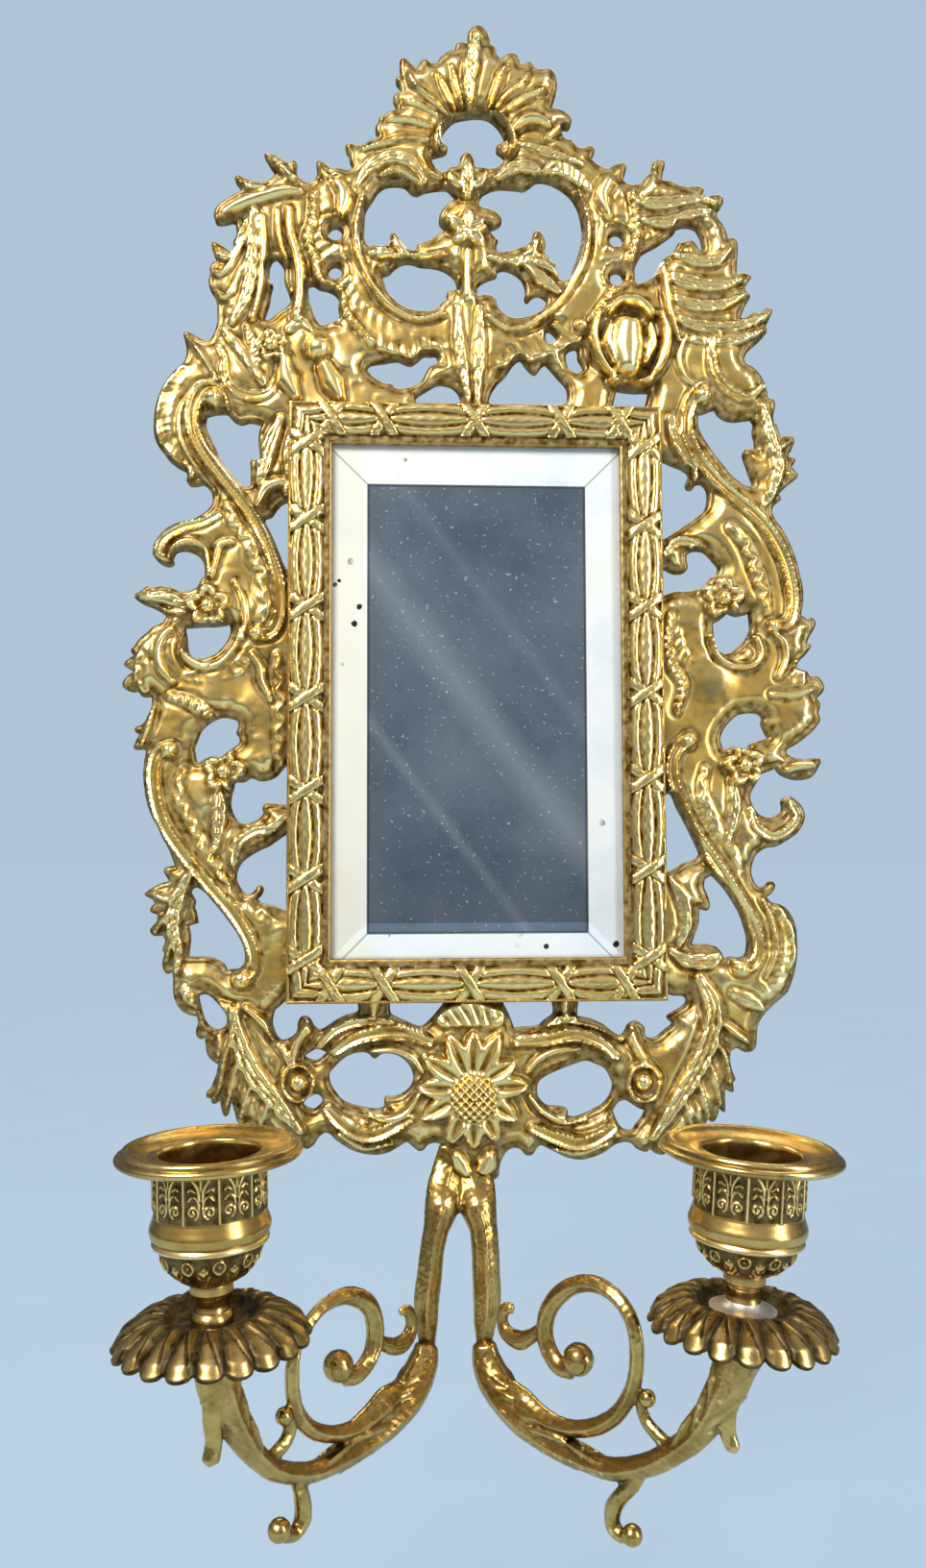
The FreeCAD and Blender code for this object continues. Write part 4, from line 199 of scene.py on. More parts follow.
HOLES = {
 "crest_c": [(461,138),(465,132),(473,125),(485,122),(498,121),(508,123),(516,129),(522,137),(526,146),K,
   (521,149),(517,152),(517,157),(522,161),(525,165),(521,172),(513,175),(501,174),(495,173),(493,165),
   (489,159),(485,158),(480,163),(477,172),(469,174),(462,179),(455,175),(450,168),(449,163),K,
   (463,159),(466,154),(465,151),K,(461,148),(460,143)],
 "heart_ul": [(380,221),(382,216),(388,207),(394,198),(402,193),(412,192),(420,193),(424,196),(428,200),
   (434,202),(441,199),(450,197),(460,196),(466,197),(470,201),(476,207),K,(469,209),(464,214),
   (460,219),(457,226),(458,233),(465,239),K,(457,243),(448,249),(440,252),(435,254),(434,258),K,
   (430,260),(424,258),(420,254),(416,247),(412,242),(408,242),(406,246),(407,251),(400,255),
   (391,255),(383,255),(380,250),(379,241)],
 "heart_ll": [(397,287),(400,294),(402,301),(408,309),(416,316),(426,321),(437,323),(448,323),(456,320),
   (460,315),(465,311),(465,305),(471,302),(476,301),K,(475,294),(472,288),(466,283),(458,279),
   (448,277),(437,276),(427,273),(418,274),(410,279),(405,284)],
 "heart_ur": [(503,201),(511,197),(522,195),(537,196),(545,197),(552,193),(557,189),(564,188),(573,190),
   (583,195),(593,203),(600,213),(604,225),(606,239),(605,252),(602,263),(598,275),(593,287),(588,292),
   (582,289),(579,282),(578,274),K,(572,271),(570,265),(567,261),(568,253),(565,244),(560,240),
   (556,242),(553,249),(549,254),(540,258),(530,261),(522,262),(518,260),(517,254),(519,250),K,
   (512,243),(506,239),K,(514,237),(521,233),(522,227),(517,221),(509,217),(501,215),(499,211),
   (500,205)],
 "heart_lr": [(498,307),(497,299),(501,294),(509,290),(517,287),(518,282),(524,280),(532,282),(540,287),
   (545,294),(547,302),(546,310),(549,314),(554,309),(561,307),(568,311),(569,315),(564,322),(556,327),
   (545,330),(533,330),(524,325),(518,318),(516,311),(511,307),(505,306)],
 "web_l": [(382,384),(386,379),(399,377),(413,375),(424,379),(429,379),(436,374),(441,370),(448,370),
   (454,370),(455,377),(448,381),(444,387),(439,396),(431,401),(420,404),(411,403),(408,399),(399,398),
   (389,392),(384,387)],
 "arch_l": [(432,414),(439,409),(447,404),(455,400),(463,400),(471,403),(477,409),(479,416),(477,421),K,
   (434,421),K],
 "arch_r": [(509,418),(511,410),(517,400),(526,391),(533,381),(539,375),(543,375),(547,381),(553,387),
   (557,389),(561,385),(564,381),(568,379),(574,385),(581,393),(589,402),(591,410),(590,418),(586,421),K,
   (562,421),(517,422),(512,421),K],
 "eye_r": [(568,350),(569,345),(572,344),(576,347),(579,351),(577,355),(572,358),(569,355)],
 "crescent_r": [(589,373),(590,367),(596,363),(601,364),(602,373),(607,382),(606,385),(601,388),
   (594,385),(590,379)],
 "slot_l": [(283,271),(288,269),(294,276),(296,283),(296,293),(300,304),(303,313),K,(299,319),(291,324),
   (282,332),(275,333),K,(276,328),(280,316),(282,304),(284,296),(281,292),(280,282),(281,276)],
 "pear_l": [(321,298),(326,296),(333,300),(342,302),(349,306),(353,312),(352,320),(353,328),(352,333),
   (344,336),(336,338),(331,335),(327,327),(323,316),(321,306)],
 "scroll_ul": [(215,433),(222,431),(235,430),(239,433),(244,438),(251,441),(259,439),(267,440),(273,442),K,
   (270,449),(269,460),(270,470),(271,478),K,(260,479),K,(261,490),(261,499),(261,505),(257,506),
   (252,505),(248,501),(239,490),(231,480),(224,465),(218,452),(214,441)],
 "wedge_l": [(276,540),(283,537),(288,530),(294,524),(302,522),(305,527),(305,544),(304,568),(303,590),
   (300,592),(297,590),(294,584),(289,571),(283,557),(277,545)],
 "flower_l": [(193,654),(200,653),(213,652),(222,652),(232,651),(238,650),(240,656),(238,664),(233,672),
   (225,680),(216,684),(208,685),(200,683),(196,677),(195,669),(194,661)],
 "drop_l": [(203,785),(202,779),(205,771),(210,760),(219,752),(230,747),(241,748),(247,751),(248,757),
   (246,763),(249,768),(249,773),(243,778),(235,784),(229,788),(222,787),(213,790),(207,794),(204,791)],
 "notch_l": [(245,815),(254,814),(262,810),(270,813),(280,812),(288,808),(294,801),(300,796),(303,800),
   (303,814),(303,828),(301,836),(294,837),(285,836),(277,836),(273,841),(274,846),(270,852),(262,856),
   (254,857),(248,855),(243,848),(240,838),(241,828),(243,821)],
 "tri_l": [(299,868),(290,874),(280,881),(269,886),(259,892),(251,899),(247,907),(246,915),(249,923),
   (254,929),(261,930),(266,926),(268,922),(272,922),(274,926),(272,932),(268,936),K,(272,940),
   (285,943),(294,947),(301,948),(304,942),(304,926),(303,902),(302,878),(302,870)],
 "bow_l": [(200,926),(205,924),(213,929),(221,938),(231,950),(240,962),(248,974),(253,985),(255,995),
   (254,1002),(249,1008),(241,1009),(236,1010),K,(233,1004),(225,999),(216,996),(206,996),(196,996),K,
   (197,988),(198,975),(196,964),K,(206,961),K,(204,950),(202,945),K,(203,938),(199,930)],
 "eye_l": [(207,1038),(213,1035),(219,1037),(225,1043),(232,1051),(236,1059),(235,1067),(230,1071),
   (224,1072),(217,1068),(212,1060),(209,1049)],
 "apron_l": [(286,1052),(296,1043),(304,1035),(318,1032),(338,1032),(359,1034),(371,1036),K,(372,1043),
   (372,1053),(360,1057),(350,1062),(341,1068),(333,1072),(327,1068),(323,1061),(318,1058),(313,1059),
   (310,1064),(309,1073),(304,1079),(294,1083),(288,1078),(284,1068),(284,1060)],
 "apron_ml": [(408,1037),K,(437,1036),(464,1036),K,(461,1045),(455,1053),(447,1062),(440,1068),
   (434,1068),(424,1064),(413,1059),(407,1055),(406,1046)],
 "apron_mr": [(520,1036),K,(536,1034),(573,1033),K,(574,1040),(576,1050),(575,1056),(567,1062),
   (560,1068),(549,1069),(536,1070),(534,1066),(530,1056),(525,1046)],
 "apron_r": [(602,1034),K,(619,1034),(640,1033),(656,1030),(677,1031),(690,1032),(699,1036),(711,1037),
   (715,1042),(712,1047),(706,1051),(696,1057),(695,1061),K,(700,1066),(693,1072),(685,1079),(678,1081),
   (672,1078),(671,1070),(667,1065),(661,1063),(654,1067),(651,1073),(646,1078),(638,1074),(629,1067),
   (616,1061),(603,1058),(601,1055),(602,1043)],
 "oval_l": [(360,1100),(370,1096),(382,1096),(390,1102),(398,1097),(408,1097),(418,1101),(426,1109),
   (430,1119),(429,1128),(423,1136),(414,1141),(405,1142),(400,1141),K,(400,1149),(399,1153),
   (390,1155),(378,1153),(368,1151),(357,1146),(349,1137),(344,1128),(343,1118),(349,1110),(355,1104)],
 "diamond_lu": [(318,1099),(325,1094),(331,1092),(339,1095),(338,1098),(330,1104),(320,1102)],
 "diamond_ll": [(316,1150),(321,1143),(330,1139),(336,1145),(331,1152),(325,1155)],
 "oval_r": [(559,1136),(560,1128),(565,1122),(576,1116),(588,1111),(599,1107),(610,1104),(619,1107),
   (629,1112),(635,1121),(638,1131),(634,1142),(626,1151),(613,1158),(600,1163),(591,1162),K,
   (590,1154),(580,1152),(570,1151),(562,1144)],
 "diamond_r": [(638,1156),(643,1148),(650,1145),(656,1148),(664,1153),(672,1156),K,(669,1163),
   (662,1172),(658,1177),(650,1176),(645,1171),(641,1164)],
 "horn_r": [(661,289),(661,279),(666,268),(671,262),(684,255),(694,248),(702,242),(705,237),(713,235),
   (723,237),(728,243),(731,251),(732,261),(728,259),(722,251),(717,250),(711,252),(706,253),K,
   (702,260),(697,265),(689,272),(684,280),(680,288),(673,292),(666,295),(662,293)],
 "square_r": [(638,423),(641,410),(642,406),K,(657,408),(675,408),K,(673,418),(670,426),K,(652,427),
   (639,426)],
 "scroll_ur": [(727,431),(735,429),(744,426),(748,431),(755,436),(764,438),(774,437),(782,436),K,
   (785,441),(784,449),(786,458),(787,467),K,(780,467),(775,468),K,(774,474),(778,486),(782,498),
   (784,502),(783,506),(779,506),(771,502),(761,494),(753,484),(742,470),(732,455),(727,444)],
 "bay_ru": [(683,482),(690,480),(700,484),(710,488),(716,492),K,(717,496),(714,504),(716,509),
   (721,509),(725,504),(731,504),(736,510),(737,518),(735,528),(729,535),(720,542),(710,549),(699,556),
   (690,561),(687,559),(685,549),(684,533),(683,512),(683,493)],
 "bay_rl": [(689,618),(687,608),(688,599),(691,592),(697,595),(704,597),(712,596),(716,591),(715,584),
   (715,578),(720,574),(726,573),(734,575),(742,583),(748,591),(746,598),K,(739,602),(734,608),(726,613),
   (716,615),(705,615),(697,617),(692,619)],
 "flower_r": [(742,649),(750,645),(758,638),K,(766,641),(774,640),(780,638),K,(781,647),(781,656),
   (776,666),(769,673),(761,679),(753,680),(747,676),(744,669),(743,660)],
 "drop_r": [(751,774),(750,769),(753,760),(761,750),(769,744),(781,742),(790,743),(794,748),(793,753),
   (797,763),(799,768),(790,771),(782,774),(777,779),(766,777),(758,778),(753,780)],
 "tri_r": [(692,829),(696,826),(700,829),(705,841),(712,854),(720,870),(727,885),(728,890),(723,895),
   (713,898),(707,902),(699,906),(692,906),(690,902),(690,886),(689,862),(688,846),(689,835)],
 "bow_r": [(734,915),(741,912),(747,917),(755,926),(763,938),(770,950),(774,961),(778,975),(778,988),
   (776,994),(770,997),(762,996),(754,997),(751,991),(746,986),(738,983),(728,983),(720,983),K,(723,974),
   (727,962),(728,953),(728,946),K,(735,948),(739,946),K,(739,941),(737,933),(733,923)],
}

# ---- relief: height before the wall on a grid over the frame -------------------------------
GX = np.arange(-102.4, 102.6, STEP)
GZ = np.arange(-268.6, 71.6, STEP)
XX, ZZ = np.meshgrid(GX, GZ, indexing="ij")


def outline(points):
    """A closed outline in mm through the points, with corners where the list has K."""
    runs, run = [], []
    for p in points:
        if p == K:
            runs.append(run)
            run = [run[-1]]
        else:
            run.append(p)
    if len(runs) == 0:
        return smooth_line(seen(points, EDGE), 0.35, closed=True)
    runs.append(run + [runs[0][0]])
    return np.vstack([smooth_line(seen(r, EDGE), 0.35)[:-1] for r in runs if len(r) > 1])


def circle(x, z, r, n=48):
    a = np.linspace(0, 2 * np.pi, n, endpoint=False)
    return np.stack([x + r * np.cos(a), z + r * np.sin(a)], 1)


def inside(loops):
    """Even-odd fill of the loops on the grid."""
    a = np.vstack(loops)
    b = np.vstack([np.roll(p, -1, axis=0) for p in loops])
    mask = np.zeros(XX.shape, bool)
    for j, z in enumerate(GZ):
        hit = (a[:, 1] > z) != (b[:, 1] > z)
        p, q = a[hit], b[hit]
        xs = np.sort(p[:, 0] + (z - p[:, 1]) * (q[:, 0] - p[:, 0]) / (q[:, 1] - p[:, 1]))
        mask[:, j] = np.searchsorted(xs, GX) % 2 == 1
    return mask


def soft_step(x, lo, hi):
    t = np.clip((x - lo) / (hi - lo), 0, 1)
    return t * t * (3 - 2 * t)


def bump(x, mid, half):
    return np.exp(-((x - mid) / half) ** 2)


def noise(size, seed):
    """Smooth noise from -1 to 1 over the grid; size is its grain in mm."""
    rng = np.random.default_rng(seed)
    nx, nz = int(205 / size) + 3, int(341 / size) + 3
    g = rng.uniform(-1, 1, (nx, nz))
    fx, fz = (GX - GX[0]) / size, (GZ - GZ[0]) / size
    ix, iz = fx.astype(int), fz.astype(int)
    tx, tz = fx - ix, fz - iz
    tx, tz = (tx * tx * (3 - 2 * tx))[:, None], (tz * tz * (3 - 2 * tz))[None, :]
    a, b = g[np.ix_(ix, iz)], g[np.ix_(ix + 1, iz)]
    c, d = g[np.ix_(ix, iz + 1)], g[np.ix_(ix + 1, iz + 1)]
    return (a * (1 - tx) + b * tx) * (1 - tz) + (c * (1 - tx) + d * tx) * tz


def blur(h, times):
    for _ in range(times):
        h = (np.roll(h, 1, 0) + 2 * h + np.roll(h, -1, 0)) / 4
        h = (np.roll(h, 1, 1) + 2 * h + np.roll(h, -1, 1)) / 4
    return h


LOOPS = [outline(OUTER)] + [outline(h) for h in HOLES.values()]
LOOPS += [circle(x, z, WALL_HOLE_R) for x, z in WALL_HOLES]
RIM_IN = MOULDING_W - 1.0        # the plate runs this far under the moulding's outer edge
M_X = (SIGHT_X[0] - RIM_IN, SIGHT_X[1] + RIM_IN)
M_Z = (SIGHT_Z[0] - RIM_IN, SIGHT_Z[1] + RIM_IN)
in_moulding = (XX > M_X[0]) & (XX < M_X[1]) & (ZZ > M_Z[0]) & (ZZ < M_Z[1])
MASK = inside(LOOPS) & ~in_moulding

# nearest place on the outline: how far, and how far along it
dense, along = [], []
for loop in LOOPS:
    dense.append(loop)
    step = np.linalg.norm(np.roll(loop, -1, 0) - loop, axis=1)
    along.append(np.concatenate([[0], np.cumsum(step)[:-1]]))
DENSE, ALONG = np.vstack(dense), np.concatenate(along)
tree = kdtree.KDTree(len(DENSE))
for i, (x, z) in enumerate(DENSE):
    tree.insert((x, z, 0), i)
tree.balance()
near_d = np.full(XX.shape, 9.0)
near_s = np.zeros(XX.shape)
for i, j in np.argwhere(MASK):
    _, k, d = tree.find((XX[i, j], ZZ[i, j], 0))
    near_d[i, j] = d
    near_s[i, j] = ALONG[k]

N1, N2, N3 = noise(9.0, 1), noise(3.2, 2), noise(1.1, 3)
ribs = np.cos(2 * np.pi * (near_s / 3.1 + 0.35 * N2))
zone = soft_step(near_d, 0.9, 1.8) * (1 - 0.8 * soft_step(near_d, 4.0, 9.0))
H = 1.9 + 1.45 * soft_step(near_d, -0.25, 0.65) - 0.75 * bump(near_d, 1.5, 0.6)
H += 1.3 * soft_step(near_d, 1.5, 5.0) + 0.75 * N1 * soft_step(near_d, 1.0, 3.0)
H += zone * 0.22 * ribs * (0.5 + 0.6 * N1)
H += 0.05 * N2 + 0.015 * N3
GROUND = 2.3
LIFT = 1.5                       # how much bolder the carving is than the plain bands


def window(path, half):
    m = half + 2 * STEP
    i0, i1 = np.searchsorted(GX, [path[:, 0].min() - m, path[:, 0].max() + m])
    j0, j1 = np.searchsorted(GZ, [path[:, 1].min() - m, path[:, 1].max() + m])
    return slice(i0, i1), slice(j0, j1)


def along_path(path, half):
    """Window, signed distance, distance along and length share for the cells near a path."""
    w = window(path, half)
    x, z = XX[w], ZZ[w]
    best = np.full(x.shape, 1e9)
    side, run = np.zeros(x.shape), np.zeros(x.shape)
    total = 0.0
    for p, q in zip(path[:-1], path[1:]):
        d = q - p
        size = np.linalg.norm(d)
        if size < 1e-9:
            continue
        d = d / size
        t = np.clip((x - p[0]) * d[0] + (z - p[1]) * d[1], 0, size)
        ox, oz = x - p[0] - t * d[0], z - p[1] - t * d[1]
        r = np.hypot(ox, oz)
        nearer = r < best
        best = np.where(nearer, r, best)
        side = np.where(nearer, np.sign(d[0] * oz - d[1] * ox), side)
        run = np.where(nearer, total + t, run)
        total += size
    return w, best * np.where(side == 0, 1, side), run, total


def merge(w, h, on, blend=0.22):
    """Lays h over the relief where on is true, with a soft meeting line."""
    old = H[w]
    k = np.clip(0.5 + 0.5 * (h - old) / blend, 0, 1)
    both = old * (1 - k) + h * k + blend * k * (1 - k)
    H[w] = np.where(on, both, old)


def stroke(kind, points, widths, front, pitch=2.4, sway=0.4):
    front = GROUND + (front - GROUND) * LIFT
    path = smooth_line(seen(points, front), 0.6)
    w, side, run, total = along_path(path, max(widths) * 1.25)
    share = run / max(total, 1e-6)
    half = np.interp(share, np.linspace(0, 1, len(widths)), widths)
    t = side / half
    a = np.abs(t)
    top = front - GROUND
    if kind != "flute":
        H[w] -= 0.50 * bump(np.abs(side) - half, 0.35, 0.55) * (near_d[w] > 1.2)
    if kind == "band":
        h = soft_step(1 - a, 0, 0.22) * (0.66 + 0.34 * bump(a, 0.76, 0.2) - 0.10 * bump(a, 0.2, 0.3))
        h = h + 0.02 * np.cos(run * 5) * (a < 0.5)
    elif kind == "round":
        h = np.sqrt(np.clip(1 - a * a, 0, 1))
    elif kind == "ridge":
        h = np.clip(1 - a, 0, 1) ** 0.8
    elif kind == "leaf":
        beat = (run - 1.5 * np.abs(side)) / (1.9 * pitch)
        lobe = np.abs(np.sin(np.pi * beat)) ** 0.5
        edge = 1 - a * (1.12 - 0.20 * lobe)
        fold = np.abs(np.sin(np.pi * 2 * beat)) ** 0.7
        h = soft_step(edge, -0.02, 0.42) * (0.70 + 0.14 * lobe * soft_step(a, 0.15, 0.5) + 0.05 * fold
                                            + 0.22 * bump(a, 0, 0.10) - 0.16 * bump(a, 0.20, 0.09))
    elif kind == "flute":
        lobe = np.abs(np.sin(np.pi * (run + 0.5 * side) / (1.5 * pitch))) ** 0.6
        line = np.cos(2 * np.pi * (run + 0.5 * side) / (0.42 * pitch))
        edge = 1 - a * (1.06 - 0.08 * lobe)
        h = soft_step(edge, 0, 0.3) * (0.50 + 0.26 * lobe + 0.03 * line + 0.24 * a * a)
    elif kind == "ruffle":
        off = t - sway * np.sin(2 * np.pi * run / pitch)
        h = soft_step(1 - a, 0, 0.3) * (0.45 + 0.55 * bump(off, 0, 0.3) + 0.12 * bump(off, 0.62, 0.2))
    else:
        raise ValueError(kind)
    merge(w, GROUND + top * h, a < 1.05)


def dome(centre, r, front, ring=0.0):
    c = seen([centre], front)[0]
    w = window(c[None], r + 1)
    d = np.hypot(XX[w] - c[0], ZZ[w] - c[1])
    h = GROUND + (front - GROUND) * np.sqrt(np.clip(1 - (d / r) ** 2, 0, 1))
    if ring:
        H[w] -= ring * bump(d, r + 0.3, 0.5)
    merge(w, h, d < r, 0.1)


def blossom(centre, r, petals, front, turn=0.5, heart=1.9):
    """An open flower: creased petals that dish up to their rims, round a small heart."""
    c = seen([centre], front)[0]
    w = window(c[None], r * 1.2)
    x, z = XX[w] - c[0], ZZ[w] - c[1]
    d, phi = np.hypot(x, z), np.arctan2(z, x)
    k = (phi / (2 * np.pi) * petals + turn) % 1 - 0.5
    rim = r * (0.66 + 0.36 * np.cos(np.pi * k) ** 0.8)
    q = d / rim
    h = 0.55 + 0.42 * soft_step(q, 0.25, 0.85) - 0.22 * bump(k, 0, 0.07) * (q < 0.8)
    h = h - 0.35 * soft_step(np.abs(k), 0.40, 0.5) + 0.07 * np.cos(k * 30) * soft_step(q, 0.4, 0.8)
    h = h * soft_step(1 - q, -0.02, 0.14)
    merge(w, GROUND + (front - GROUND) * h, q < 1, 0.12)
    merge(w, front - 0.5 + 1.1 * np.sqrt(np.clip(1 - (d / heart) ** 2, 0, 1)), d < heart, 0.1)


def petal(centre, tip, half, front, low=3.0, crease=0.28):
    """One pointed petal or leaf from a centre to its tip."""
    stroke_pts = [centre, ((centre[0] + tip[0]) / 2, (centre[1] + tip[1]) / 2), tip]
    path = smooth_line(seen(stroke_pts, front), 0.6)
    w, side, run, total = along_path(path, half * 1.1)
    share = run / total
    width = half * np.sin(np.pi * np.clip(share * 0.86 + 0.14, 0, 1)) ** 0.75 + 0.02
    a = np.abs(side) / width
    h = soft_step(1 - a, 0, 0.45) * (0.8 + 0.2 * np.sin(np.pi * share)) - crease * bump(a, 0, 0.16)
    h = h + 0.06 * np.cos(a * 14) * soft_step(share, 0.2, 0.5)
    merge(w, low + (front - low) * h, a < 1, 0.1)

